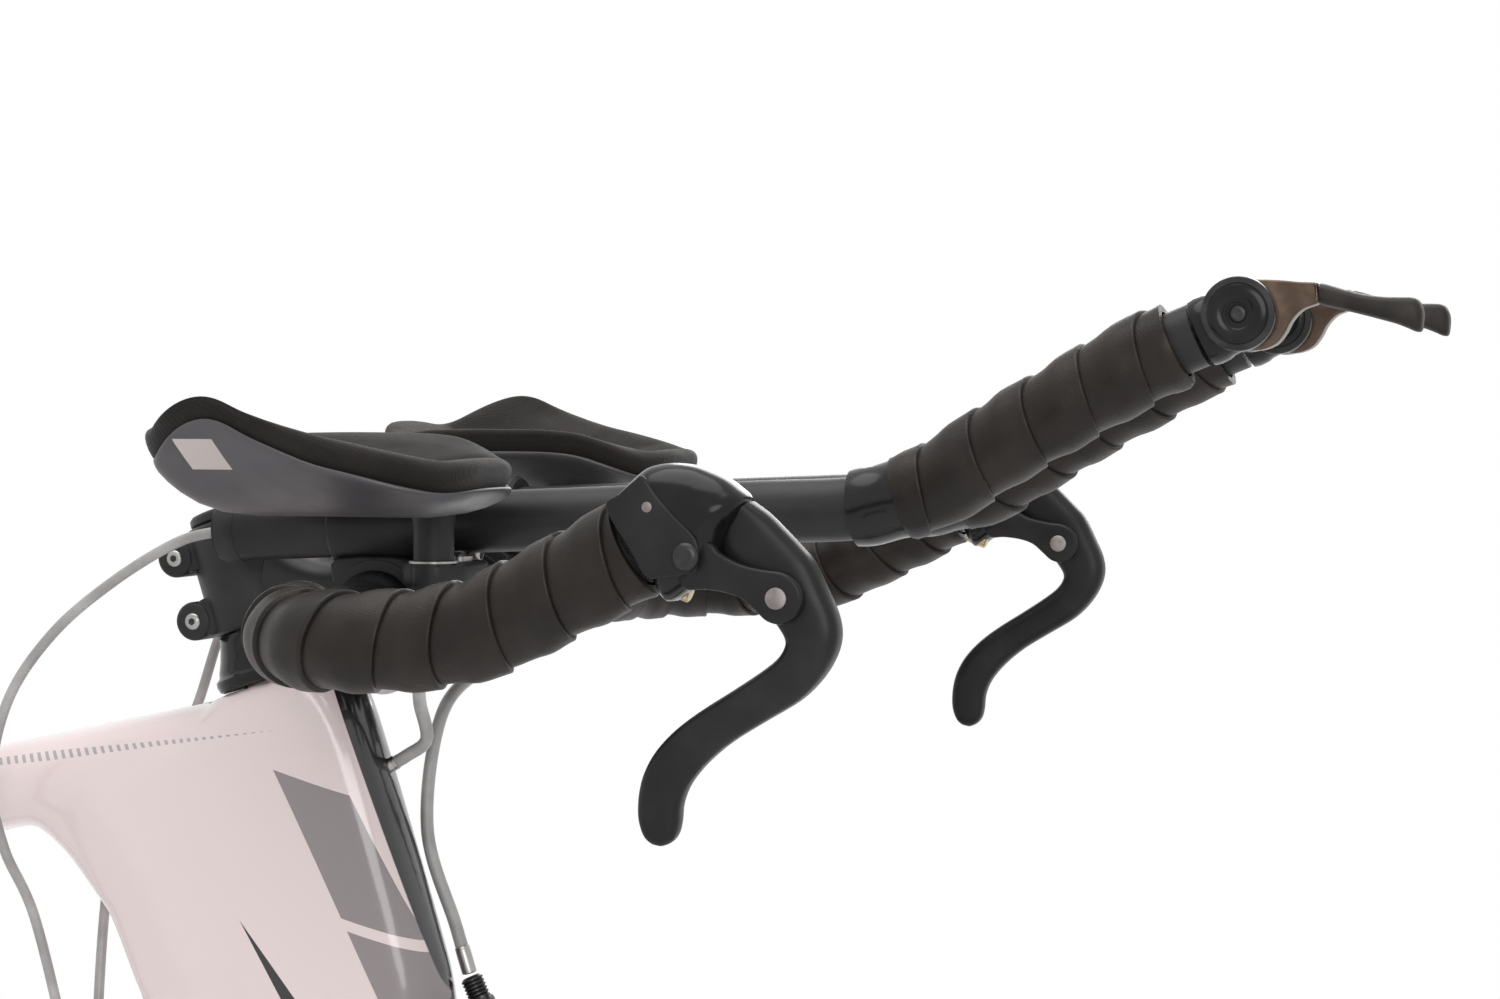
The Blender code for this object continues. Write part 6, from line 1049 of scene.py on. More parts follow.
def swollen(obj, pressure, cap, loose):
    """Cloth over foam: the skin is blown up a little, no point moving further than the cap, then it is fixed.
    loose says how freely each point moves: one that rests on the cup stays where it is."""
    mesh = obj.data
    rest = np.array([v.co for v in mesh.vertices], float)
    cloth = obj.modifiers.new("cloth", "CLOTH")
    cloth.settings.quality = 5
    cloth.settings.mass = 0.2
    cloth.settings.tension_stiffness = 18
    cloth.settings.compression_stiffness = 18
    cloth.settings.bending_stiffness = 2.0
    cloth.settings.use_pressure = True
    cloth.settings.uniform_pressure_force = pressure
    cloth.settings.effector_weights.gravity = 0.0
    scene = bpy.context.scene
    for step in range(1, 21):
        scene.frame_set(step)
    blown = kept_mesh(obj, obj.name)
    moved = np.array([v.co for v in blown.vertices], float)
    obj.modifiers.clear()
    scene.frame_set(1)
    if len(moved) == len(rest):
        shift = moved - rest
        far = np.linalg.norm(shift, axis=1)
        shift *= np.minimum(1.0, cap / np.maximum(far, 1e-9))[:, None]
        shift *= np.array([loose(Vector(p)) for p in rest])[:, None]
        for vertex, place in zip(mesh.vertices, rest + shift):
            vertex.co = place
    finer = obj.modifiers.new("finer", "SUBSURF")
    finer.levels = 1
    mesh = kept_mesh(obj, obj.name)
    obj.modifiers.clear()
    obj.data = mesh
    mesh.shade_smooth()


pad_cloth = pad_finish()


def pad_rest(side):
    def loose(p):
        share = (p.x - LEVER_X - CUP_BACK) / CUP_LENGTH
        v = side * (p.y - side * ARM_REST_Y) / max(cup_half(min(max(share, 0.0), 1.0)), 0.005)
        floor_z = LEVER_Z + CUP_FLOOR + cup_rise(min(max(share, 0.0), 1.0), max(-1.0, min(1.0, v))) + 0.0040
        return 1.0 if p.z > floor_z + 0.0040 else 0.0
    return loose


BACK_LONG = 0.040
BACK_END = LEVER_X + CUP_BACK + BACK_LONG
for word, side in HALVES:
    pad = Form()
    pad_rings = []
    spread = (0.02, 0.15, 0.29, 0.42, 0.54, 0.65, 0.75, 0.83, 0.90)
    levels = [(g, 0.0034) for g in spread]
    levels += [(0.955, 0.0036), (0.990, 0.0050), (1.004, 0.0076), (1.000, 0.0104), (0.980, 0.0128),
               (0.945, 0.0142)]
    levels += [(g, 0.0150) for g in spread[::-1]]
    for grow, lift in levels:
        loop = cup_loop(side, grow, lift)
        back = [max(0.0, (BACK_END - p.x) / BACK_LONG) ** 2 * max(0.0, (grow - 0.8) / 0.2) for p in loop]
        pad_rings.append([p - FORE * 0.0036 * b + UP * 0.0010 * b for p, b in zip(loop, back)])
    pad.skin(pad_rings)
    pad_object = pad.object(f"{word}_arm_cushion", [pad_cloth], sharp=80.0)
    swollen(pad_object, pressure=3.0, cap=0.0026, loose=pad_rest(side))
    fitted(pad_object, "steering_body", "arm_foam", f"{word}_arm_pad")

# Shift levers
# Each plugs into the end of an extension: a black turned drum across the tube, with a slot for a bronze
# anodised arm that carries a dull paddle for the thumb. A screw in the drum's face holds the arm on its pin.

POD_X = 0.1134
POD_Z = 0.0881


def pod(side, x=0.0, z=0.0, y=0.0):
    return cockpit(POD_X + x, POD_Z + z, side * EXTENSION_Y + y)


def bronze_finish():
    bronze = Finish("bronze_anodised", (0.10, 0.068, 0.050), roughness=0.3, metallic=0.85)
    drift = bronze.cloud(90.0, 4.0)
    bronze.feed("Base Color",
                bronze.blend(bronze.band(drift, 0.35, 0.7), (0.070, 0.047, 0.034), (0.125, 0.089, 0.067)))
    bronze.feed("Roughness", 0.20 + drift * 0.2)
    bronze.relief(bronze.cloud(1600.0, 2.0), 0.1, 0.0001)
    return bronze.material


bronze = bronze_finish()
drum_ring = worn_finish("drum_ring", (0.020, 0.019, 0.018), roughness=0.45,
                        dark=(0.014, 0.0135, 0.013), light=(0.034, 0.032, 0.031), low=0.38, high=0.56,
                        scale=120.0, grain=(1900.0, 2.0, 0.12, 0.0001), specular_ior_level=0.26)
paddle_dull = worn_finish("paddle_dull", (0.014, 0.011, 0.009), roughness=0.5,
                          dark=(0.011, 0.0085, 0.007), light=(0.026, 0.020, 0.016), low=0.4, high=0.6,
                          scale=70.0, grain=(1200.0, 3.0, 0.2, 0.0002), specular_ior_level=0.26)
ARM = mm((2, 11.2), (6, 11.6), (13, 11.3), (19, 10.7), (24.4, 10.4), (25.2, 9.4), (25.8, 5), (25, 3.4),
         (20, 1.4), (16.5, -2.2), (14, -6.8), (10.5, -10.5), (4, -12.2), (-6, -10.6), (-11.2, -3), (-10, 6))
PADDLE = mm((25.6, 6.8, 3.4, 5), (28, 6.1, 3.6, 6), (34, 4.5, 3.4, 6.4), (40, 3, 3.4, 6.6),
            (46, 1.8, 3.8, 6.6), (51, 1, 4.4, 6.4), (55, 0.2, 5.1, 6), (57.5, -0.8, 5.2, 5.5),
            (59, -2.2, 4, 4.5), (59.5, -3, 2.6, 3.2))
for word, side in HALVES:
    drum = Form()
    end, *_ = Route(extension_points(side), SIDE).at(9.0)
    ahead = (pod(side) - end).normalized()
    long = (pod(side) - end).length
    drum.lathe(end, ahead, [(0.0004, 0.0104), (0.0008, 0.0117), (0.0030, 0.0121), (0.0062, 0.0119),
                            (0.0080, 0.0113), (long - 0.004, 0.0111), (long - 0.003, 0.0100)])
    for out in (-1, 1):
        face = pod(side) + SIDE * out * 0.0052
        drum.tone = gloss_black
        drum.lathe(face, SIDE * out, mm((0, 4), (0, 11.9), (0.4, 12.4), (0.9, 12.5), (3.8, 12.5), (4.1, 12.2),
                                        (4.4, 12.2), (4.7, 12.5), (7.9, 12.5), (8.4, 12.3), (8.4, 4),
                                        (0, 4)), steps=72)
        drum.tone = drum_ring
        drum.lathe(face, SIDE * out, mm((8.2, 4), (8.4, 12.4), (8.8, 12.1), (8.9, 10.4), (8.6, 10.1),
                                        (8.2, 4)), steps=72)
        drum.tone = gloss_black
        drum.lathe(face, SIDE * out, mm((7, 4.8), (8.3, 10.1), (8.9, 9.9), (9.3, 9.2), (9.5, 7.4), (9.3, 5.6),
                                        (8.8, 5), (7, 4.8)), steps=72)
        socket_bolt(drum, face + SIDE * out * 0.0070, SIDE * out, 0.0030, 0.0014, bolt_black, bolt_black)
        drum.tone = soft_rubber
        drum.lathe(face, SIDE * out, [(0.0069, 0.0001), (0.0071, 0.0049)], steps=40)
    drum.tone = bolt_black
    drum.rod(pod(side) - SIDE * 0.0070, pod(side) + SIDE * 0.0070, 0.0040, steps=28)
    fitted(drum.object(f"{word}_shifter_drum", [gloss_black, drum_ring, bolt_black, soft_rubber]),
           "steering_body", "lever_black", f"{word}_shifter_body")

    arm = Form()
    arm.slab(smooth_loop(ARM, steps=5), pod(side), FORE, UP, -0.0047, 0.0047, soft=0.0010)
    arm.tone = paddle_dull
    rings = []
    for i in range(33):
        x, z, half, wide = between([Vector(row) for row in PADDLE], i / 32)
        rings.append([pod(side, x + b * half * 0.10, z + b * half, a * wide)
                      for a, b in squarish(1.0, 1.0, square=0.62, count=36)])
    arm.skin(rings)
    fitted(arm.object(f"{word}_shift_arm", [bronze, paddle_dull]), f"{word}_shift_lever_body", "bronze",
           f"{word}_shift_lever")

# Cable housings
# Housing in a grey plastic jacket, 4 mm for the gears and 5 mm for the brakes, with a turned metal ferrule
# where it enters the frame. The gear housings leave the rear ends of the extensions.

RIGHT_GEAR = mm((304.52, -42.6, 873.46), (290.52, -42.6, 872.63), (272.52, -42.6, 868.09),
                (245.52, -42.6, 852.59), (221.52, -43.6, 833.1), (202.52, -42.6, 808.09),
                (192.52, -38.5, 777.1), (193.02, -30, 750.1), (200.52, -20, 722.1), (210.21, -11.23, 667.71),
                (213.91, -10, 656.36), (217.61, -8.77, 645.01))
LEFT_GEAR = mm((304.52, 42.6, 873.46), (290.52, 42.6, 872.63), (276.52, 42.6, 869.1), (260.52, 42.6, 854.09),
               (248.52, 42.6, 827.09), (236.52, 40, 792.1), (216.52, 33, 760.1), (209.52, 23, 732.1),
               (210.21, 11.23, 667.71), (213.91, 10, 656.36), (217.61, 8.77, 645.01))
FRONT_BRAKE_LINE = mm((366.02, 118, 829.39), (366.52, 100, 828.4), (354.52, 60, 816.2), (350.52, 26, 800.1),
                      (349.5, 14, 758), (360.92, 14, 721.76), (366.82, 14, 703.07))
REAR_BRAKE_LINE = mm((366.02, -118, 829.39), (366.52, -100, 828.4), (362.52, -60, 818.19),
                     (360.52, -25, 818.09), (353.52, -2, 806.1), (353.52, 4, 793.09), (345.78, 4.17, 786.95),
                     (339.8, 3.5, 783.38), (332.11, 2.63, 778.79))
lines = (("right_shift_housing", RIGHT_GEAR, 0.0020, (0.20252, -0.0426, 0.80809), (0.2120, -0.0105, 0.662)),
         ("left_shift_housing", LEFT_GEAR, 0.0020, (0.2450, 0.0426, 0.8200), (0.2120, 0.0105, 0.662)),
         ("front_brake_housing", FRONT_BRAKE_LINE, 0.0025, None, None),
         ("rear_brake_housing", REAR_BRAKE_LINE, 0.0025, (0.3615, -0.0400, 0.8182), (0.3440, 0.0040, 0.7855)))
for name, points, radius, first, last in lines:
    route = Route(points, SIDE, steps=18)
    thick = radius > 0.0022
    metal = bolt_steel if thick else bolt_black
    line = Form()
    line.tube(route, radius, sides=20, end=route.length - 0.0008, pace=0.0022)
    line.tone = metal
    tip, way, _, _ = route.at(route.length)
    reach = 0.0110 if thick else 0.0090
    line.lathe(tip - way * reach, way, [(0.0, radius), (0.0002, radius + 0.0003), (0.0010, radius + 0.0004),
                                        (0.0014, radius + 0.00028), (0.0018, radius + 0.0004),
                                        (reach - 0.0006, radius + 0.00035), (reach - 0.0002, radius * 0.8)],
               steps=28)
    jacket = line.object(f"{name}_jacket", [housing_grey, metal])
    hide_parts(name)
    if first:
        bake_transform(jacket)
        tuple(first)
        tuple(last)
    else:
        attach(jacket, "steering_body")

# Rim brakes
# Dual-pivot calipers in forged black aluminium: two curved arms on steel pivots, each with a rubber shoe
# beside the rim, and a ribbed barrel on the first arm that takes up the cable.

FRONT_BRAKE = (Vector((0.34519, 0, 0.65821)), Vector((0.41367, 0, -0.91043)), Vector((0.91043, 0, 0.41367)))
REAR_BRAKE = (Vector((-0.22328, 0, 0.56846)), Vector((-0.75411, 0, -0.65675)), Vector((-0.65675, 0, 0.75411)))
NEAR_ARM = mm((-1.5, 8.4), (-6, 6), (-8.4, 1.2), (-7.6, -4), (4.5, -19), (7.5, -23), (19.5, -22), (20.5, -14),
              (27, -3), (33, 12), (34, 30), (30.5, 50.5), (20, 51.5), (22.5, 33), (21.5, 19), (14, 11.2))
FAR_ARM = mm((19, -14), (19, -7.5), (0, -5.8), (-10, -1), (-15, 11), (-21.8, 19), (-22.8, 33), (-20.5, 51.5),
             (-30.5, 50.5), (-34, 30), (-35, 10), (-30.5, -7.5), (-22, -12.5), (0, -14.5))
MOUNT_OUT = 0.0295
ARM_THICK = 0.0068
for word, (origin, down, out) in (("front", FRONT_BRAKE), ("rear", REAR_BRAKE)):
    first_level = MOUNT_OUT + 0.0053 + ARM_THICK / 2
    pieces = (("left", NEAR_ARM, first_level, (0, 0), 1),
              ("right", FAR_ARM, first_level + ARM_THICK + 0.0003, (-0.022, -0.003), -1))
    for which, outline, level, (a, b), sign in pieces:
        arm = Form()
        arm.slab(smooth_loop(outline), origin + out * level, SIDE, down, -ARM_THICK / 2, ARM_THICK / 2,
                 soft=0.0013)
        pivot = origin + SIDE * a + down * b + out * (level + ARM_THICK / 2 - 0.0006)
        if which == "right":
            socket_bolt(arm, pivot, out, 0.0046, 0.0026, bolt_steel, bolt_black)
        shoe = origin + SIDE * sign * 0.0155 + down * 0.0476 + out * (level - 0.004)
        arm.tone = soft_rubber
        rings = []
        for i in range(13):
            t = -1 + i / 6
            trim = (1 - abs(t) ** 8) ** 0.5 if abs(t) < 1 else 0.3
            trim = max(trim, 0.35)
            section = squarish(0.0028, 0.0037, square=0.5, count=24)
            ahead = out * 0.0198 * t
            rings.append([shoe + SIDE * (sign * -0.0003 + x * trim) + down * (z * trim + 0.0001) + ahead
                          for x, z in section])
        arm.skin(rings)
        stud = origin + SIDE * sign * 0.0175 + down * 0.046 + out * level
        arm.tone = bolt_steel
        arm.rod(stud, stud + SIDE * sign * 0.0160, 0.0034)
        if which == "left":
            seat = origin + SIDE * 0.014 + down * -0.0170 + out * level
            arm.tone = bolt_steel
            arm.lathe(seat, down * -1, mm((0, 3), (0.2, 4.4), (1.6, 4.6), (2.2, 4), (3, 4)), steps=36)
            arm.tone = bolt_black
            ribs = [(0.0028, 0.0028)]
            for k in range(7):
                ribs += [(0.0032 + k * 0.00145, 0.0038), (0.0037 + k * 0.00145, 0.0043),
                         (0.0042 + k * 0.00145, 0.0043), (0.0046 + k * 0.00145, 0.0038)]
            arm.lathe(seat, down * -1, ribs + [(0.0136, 0.0036), (0.0140, 0.0028)], steps=36)
        fitted(arm.object(f"{word}_brake_{which}_forging",
                          [satin_black, soft_rubber, bolt_steel, bolt_black]),
               f"{word}_brake_{which}_body", "black_alloy", f"{word}_brake_arm_{which}")

# Wheels
# Deep aluminium rims, anodised black with a machined brake track, laced with thin bladed steel spokes to
# turned hubs. The tyres are 23 mm road tyres with a smooth crown, held between the flanges of the rim.

FRONT_AXLE = Vector((0.4925, 0, 0.334))
REAR_AXLE = Vector((-0.4925, 0, 0.334))
tyre_rubber = worn_finish("tyre_rubber", (0.018, 0.018, 0.019), roughness=0.62,
                          dark=(0.017, 0.017, 0.018), light=(0.040, 0.038, 0.037), low=0.54, high=0.76,
                          scale=40.0, grain=(1500.0, 3.0, 0.3, 0.0002), specular_ior_level=0.25)
rim_black = worn_finish("rim_anodised", (0.022, 0.022, 0.023), roughness=0.36, metallic=0.3,
                        dark=(0.018, 0.018, 0.019), light=(0.034, 0.033, 0.034), low=0.28, high=0.44,
                        scale=25.0, grain=(1300.0, 2.0, 0.08, 0.0001))
brake_track = grained_finish("brake_track", (0.30, 0.30, 0.295), roughness=0.34, metallic=0.9,
                             dark=(0.20, 0.20, 0.197), light=(0.36, 0.36, 0.352), low=0.26, rise=0.24,
                             scale=420.0, detail=2.0).material
spoke_steel = grained_finish("spoke_steel", (0.42, 0.42, 0.41), roughness=0.3, metallic=1.0,
                             dark=(0.34, 0.34, 0.335), light=(0.52, 0.52, 0.51), low=0.22, rise=0.2,
                             scale=150.0).material
TYRE = mm((7.9, 311.3), (8.4, 315), (9.2, 318), (10.6, 320.5), (11.4, 323.2), (11.5, 325.6), (10.9, 328.2),
          (9.6, 330.6), (7.5, 332.5), (4.8, 333.6), (2.2, 334), (0, 334.05))
RIM = [(0.0086, 0.3162), (0.0098, 0.3158), (0.0100, 0.3148)]
RIM_TRACK = mm((10, 314.8), (10.1, 314.2), (10.1, 306.2), (10, 305.6))
RIM_BELLY = mm((10, 305.6), (9.4, 301), (8, 294), (6, 286.8), (3.6, 280), (1.8, 276.8), (0, 276))
FRONT_HUB = mm((-42.5, 5), (-42.5, 9.6), (-41.8, 10.2), (-37.2, 12), (-36.8, 19.4), (-36, 20.2),
               (-34.4, 20.2), (-33.6, 19.2), (-32.6, 13.4), (-30, 11.4), (-20, 10.8))
REAR_HUB = mm((-20.5, 5.4), (-20.5, 14.6), (-20.2, 23.2), (-19.6, 24.2), (-17.2, 24.2), (-16.4, 23.4),
              (-15, 16.8), (-11.8, 13), (6, 12), (29.8, 12), (33, 14.6), (33.6, 21.2), (34.4, 22.2),
              (35.8, 22.2), (36.6, 21), (37.4, 13.2), (42, 11.2), (56.6, 10.8), (57, 10.2), (57, 5.4),
              (-20.5, 5.4))
front_hub = FRONT_HUB + [(-a, r) for a, r in FRONT_HUB[::-1]] + [FRONT_HUB[0]]
wheels = (("front", FRONT_AXLE, front_hub, 16, (-0.035, 0.035), 0.0188, 0.0, 0.0),
          ("rear", REAR_AXLE, REAR_HUB, 20, (-0.018, 0.035), 0.0212, 40.0, 0.0011))
TRACK_LOW, TRACK_TOP = 0.30555, 0.31485
for word, axle, hub, count, flanges, seat_radius, lean, stagger in wheels:
    casing = Form()
    around = [(-a, r) for a, r in TYRE] + [(a, r) for a, r in TYRE[-2::-1]]
    inside = [(0.0066, 0.3112), (-0.0066, 0.3112)]
    casing.lathe(axle, SIDE, around + inside + [around[0]], steps=224)
    fitted(casing.object(f"{word}_tyre_casing", [tyre_rubber], sharp=70.0), f"{word}_wheel_body", "tyre",
           f"{word}_tyre")

    wheel = Form()
    half = [(0.0084, 0.3112), (0.0084, 0.3160)] + RIM + RIM_TRACK[1:] + RIM_BELLY[1:]
    turned = [(-a, r) for a, r in half] + half[-2::-1]
    wheel.lathe(axle, SIDE, turned + [turned[0]], steps=192)
    for face in range(len(wheel.faces)):
        radii = [((wheel.points[i] - axle) - SIDE * (wheel.points[i] - axle).y).length
                 for i in wheel.faces[face]]
        if min(radii) > TRACK_LOW and max(radii) < TRACK_TOP:
            wheel.tones[face] = brake_track
    wheel.tone = rim_black
    wheel.lathe(axle, SIDE, hub, steps=56)
    wheel.tone = spoke_steel
    for i in range(count):
        side = i % 2
        turn = 2 * pi * (i + 0.37) / count
        way = 1 if (i // 2) % 2 else -1
        start = axle + Vector((seat_radius * sin(turn + radians(lean) * way), flanges[side] + stagger * way,
                               seat_radius * cos(turn + radians(lean) * way)))
        end = axle + Vector((0.2790 * sin(turn), 0.0015 * (1 if side else -1), 0.2790 * cos(turn)))
        ahead = (end - start).normalized()
        flat = ahead.cross(SIDE).normalized()
        thin = ahead.cross(flat)
        rings = []
        for share, broad, deep in ((0.0, 0.0010, 0.0010), (0.05, 0.0010, 0.0010), (0.09, 0.0013, 0.0006),
                                   (0.93, 0.0013, 0.0006), (0.955, 0.0009, 0.0009), (0.957, 0.0017, 0.0017),
                                   (1.0, 0.0017, 0.0017)):
            centre = start.lerp(end, share)
            turns = [2 * pi * j / 10 for j in range(10)]
            rings.append([centre + flat * broad * cos(t) + thin * deep * sin(t) for t in turns])
        wheel.skin(rings)
        wheel.rod(start - SIDE * 0.0026, start + SIDE * 0.0026, 0.0015, steps=10, edge=0.0004)
    valve = axle + UP * -0.2775
    wheel.lathe(valve, UP, mm((-0.5, 3), (0.4, 3.2), (2.2, 3.1), (2.4, 2.3), (6, 2.3), (6.4, 2.8), (12, 2.8),
                              (12.6, 2.4)), steps=24)
    fitted(wheel.object(f"{word}_wheel_built", [rim_black, brake_track, spoke_steel]), f"{word}_wheel_body",
           "black_alloy", f"{word}_wheel")

# Axles and release levers
# A hollow steel axle with lock nuts, and a skewer through it: a knurled nut on the right and, on the left, a
# head that a polished cam lever turns in to clamp the wheel in its dropouts.

axle_steel = grained_finish("axle_steel", (0.36, 0.36, 0.355), roughness=0.32, metallic=1.0,
                            dark=(0.28, 0.28, 0.275), light=(0.46, 0.46, 0.45), low=0.24, rise=0.24,
                            scale=260.0).material
LEVER_WAY = mm((5, 0, 11.5, 3, 7.5), (-4, 0, 12.1, 3.4, 7.6), (-13, 0, 12.1, 3.7, 7.2), (-24, 0, 9.6, 4, 5.8),
               (-34, 0.5, 6.6, 4.8, 4.6), (-44, 1, 4.6, 5.8, 4), (-51, 1, 3.4, 5.6, 3.6),
               (-54.5, 1, 3, 4, 2.6))
for word, axle, half, radius in (("front", FRONT_AXLE, 0.050, 0.0044), ("rear", REAR_AXLE, 0.065, 0.0048)):
    over = half + 0.0065
    spindle = Form()
    spindle.lathe(axle, SIDE, [
        (-over - 0.0130, 0.0040), (-over - 0.0128, 0.0056), (-over - 0.0120, 0.0080),
        (-over - 0.0112, 0.0085), (-over - 0.0010, 0.0087), (-over - 0.0003, 0.0084),
        (-over - 0.0003, radius), (-half + 0.0004, radius), (-half + 0.0004, 0.0078),
        (-half + 0.0010, 0.0081), (-half + 0.0050, 0.0081), (-half + 0.0056, 0.0076),
        (-half + 0.0057, radius), (half - 0.0057, radius), (half - 0.0056, 0.0076), (half - 0.0050, 0.0081),
        (half - 0.0010, 0.0081), (half - 0.0004, 0.0078), (half - 0.0004, radius), (over + 0.0003, radius),
        (over + 0.0003, 0.0085), (over + 0.0010, 0.0088), (over + 0.0042, 0.0088), (over + 0.0052, 0.0076),
        (over + 0.0054, 0.0060)])
    for i in range(20):
        turn = 2 * pi * i / 20
        at = axle + Vector((0.0086 * cos(turn), 0, 0.0086 * sin(turn)))
        spindle.rod(at - SIDE * (over + 0.0108), at - SIDE * (over + 0.0016), 0.0005, steps=8, edge=0.0002)
    rings = []
    for y, trim in ((over + 0.0050, 0.92), (over + 0.0056, 1.0), (over + 0.0168, 1.0), (over + 0.0175, 0.90)):
        rings.append([axle + Vector((a * trim, y, b * trim))
                      for a, b in squarish(0.0074, 0.0074, square=0.4, count=40)])
    spindle.skin(rings)
    fitted(spindle.object(f"{word}_axle_turned", [axle_steel]),
           "steering_body" if word == "front" else "frame_body", "steel", f"{word}_axle")

    lever = Form()
    centre = axle + SIDE * (over + 0.0115)
    lever.rod(centre - UP * 0.0092, centre + UP * 0.0124, 0.0040, steps=28)
    rings = []
    for i in range(29):
        row = between([Vector(row[:3]) for row in LEVER_WAY], i / 28)
        deep, broad, _ = between([Vector((*row[3:], 0)) for row in LEVER_WAY], i / 28)
        rings.append([centre + Vector((row.x, -row.y + a * broad, row.z + b * deep * 0.55))
                      for a, b in squarish(1.0, 1.0, square=0.75, count=24)])
    lever.skin(rings)
    fitted(lever.object(f"{word}_release_cam", [bolt_steel]), f"{word}_release_body", "steel",
           f"{word}_release_lever")

# Chainrings and cranks
# A forged five-arm spider carries two toothed aluminium rings on five bolts. The right arm is one piece with
# the spider and its hollow steel spindle, and the left arm clamps on the spindle's far end.

BB = Vector((-0.09325, 0, 0.26600))
CHAIN_Y = -0.0447
PITCH = 0.0127
RING_GAP = 0.0058
CRANK_LONG = 0.1725
RING_THICK = 0.0018


def pitch_radius(teeth):
    return PITCH / 2 / sin(pi / teeth)


def tooth_line(teeth, phase, root, tip, steps=10):
    """The outline of a sprocket as angles and radii; its first pocket lies at phase, a share of a turn."""
    line = []
    for i in range(teeth * steps):
        share = (i % steps) / steps
        swell = (0.5 - 0.5 * cos(2 * pi * share)) ** 0.8
        turn = 2 * pi * (phase + i / (teeth * steps))
        line.append((turn, pitch_radius(teeth) - root + (tip + root) * swell))
    return line


def sprocket(form, centre, line, bore, half):
    """A toothed disc with a round hole, its teeth thinned at the tips."""
    rings = []
    for y, inset, hole in ((-half, 0.0008, False), (-half * 0.5, 0.0, False), (half * 0.5, 0.0, False),
                           (half, 0.0008, False), (half, 0.0, True), (-half, 0.0, True)):
        rings.append([centre + Vector(((bore if hole else r - inset) * sin(t), y,
                                       (bore if hole else r - inset) * cos(t)))
                      for t, r in line])
    form.skin(rings, looped=True)


ring_metal = grained_finish("ring_alloy", (0.26, 0.26, 0.255), roughness=0.3, metallic=0.95,
                            dark=(0.20, 0.20, 0.196), light=(0.36, 0.36, 0.352), low=0.22, rise=0.22,
                            scale=240.0)
ring_metal.relief(ring_metal.cloud(1500.0, 2.0), 0.1, 0.0001)
ring_alloy = ring_metal.material
ring = Form()
sprocket(ring, BB + SIDE * CHAIN_Y, tooth_line(53, phase=0.00017, root=0.0042, tip=0.0023), bore=0.0862,
         half=RING_THICK / 2)
ring.lathe(BB + SIDE * CHAIN_Y, SIDE, mm((-1.6, 60), (-1.8, 60.6), (-1.8, 85.8), (-0.9, 87.6), (0.9, 87.6),
                                         (1.2, 85.8), (0.9, 60.6), (0.9, 58), (-0.9, 58), (-1.6, 60)),
                                         steps=120)
fitted(ring.object("outer_ring_machined", [ring_alloy], sharp=30.0), "crank_body", "black_alloy",
       "outer_chainring")


def crank_sections(form, side, direction):
    """The tapered arm from the spindle to the pedal axle."""
    stations = mm((-19, 53.5, 6, 10), (-16, 53.5, 12.5, 13.5), (-8, 53.5, 16.8, 15.5), (12, 54, 17, 15.5),
                  (50, 58, 14, 13), (90, 62.5, 12.6, 12.7), (130, 66, 12.1, 12.5), (160, 66.5, 13.2, 12.9),
                  (176, 66.5, 13.2, 12.9), (183, 66.5, 10.5, 11.5), (186.8, 66.5, 5.5, 9))
    up = direction.cross(SIDE)
    rings = []
    for i in range(49):
        run, across, tall, wide = between([Vector(row) for row in stations], i / 48)
        centre = BB + direction * run + SIDE * side * across
        rings.append([centre + up * a * tall + SIDE * b * wide * 0.5
                      for a, b in squarish(1.0, 1.0, square=0.7, count=36)])
    form.skin(rings)
    end = BB + direction * CRANK_LONG
    form.tone = axle_steel
    form.rod(end + SIDE * side * 0.0665, end + SIDE * side * 0.1280, 0.0045, steps=28)
    form.lathe(end + SIDE * side * 0.0722, SIDE * side, mm((0, 9), (1, 9.2), (2.4, 9), (2.6, 7)), steps=36)
    form.tone = satin_black


right = Form()
low, top = CHAIN_Y + RING_THICK / 2 + 0.0003, CHAIN_Y + RING_GAP - RING_THICK / 2 + 0.0006
spider = []
for i in range(5):
    for offset, reach in ((-8.5, 0.0690), (0, 0.0710), (8.5, 0.0690), (14, 0.0560), (24, 0.0360),
                          (36, 0.0300), (48, 0.0360), (58, 0.0560)):
        angle = radians(72 * i + offset)
        spider.append((reach * sin(angle), reach * cos(angle)))
right.slab(smooth_loop(spider), BB, FORE, UP, -top, -low, soft=0.0011)
right.tone = axle_steel
for i in range(5):
    turn = 2 * pi * i / 5
    at = BB + Vector((0.065 * sin(turn), CHAIN_Y - 0.0008, 0.065 * cos(turn)))
    socket_bolt(right, at, -SIDE, 0.0046, 0.0018, axle_steel, bolt_black)
    right.rod(at, at + SIDE * 0.0052, 0.0038)
right.tone = ring_alloy
sprocket(right, BB + SIDE * (CHAIN_Y + RING_GAP), tooth_line(39, phase=0.0, root=0.0042, tip=0.0023),
         bore=0.0585, half=RING_THICK / 2)
right.tone = satin_black
crank_sections(right, -1, FORE)
right.lathe(BB, SIDE, [(-0.0505, 0.0225), (-0.0505, 0.0278), (-0.0498, 0.0286), (-0.0440, 0.0300),
                       (top - 0.0006, 0.0312), (top, 0.0306), (top, 0.0225), (-0.0505, 0.0225)], steps=72)
right.lathe(BB, -SIDE, mm((60, 6), (60.8, 12), (61.8, 12.4), (62.6, 11.8), (62.8, 7)), steps=40)
right.tone = axle_steel
right.rod(BB - SIDE * 0.0465, BB + SIDE * 0.0600, 0.0120, steps=48)
fitted(right.object("crank_right_forged", [satin_black, axle_steel, bolt_black, ring_alloy]), "crank_body",
       "black_alloy", "crank_right")
left = Form()
crank_sections(left, 1, -FORE)
left.lathe(BB, SIDE, mm((61.2, 6), (61.6, 11.8), (62.2, 12.4), (63.2, 12), (63.4, 7)), steps=40)
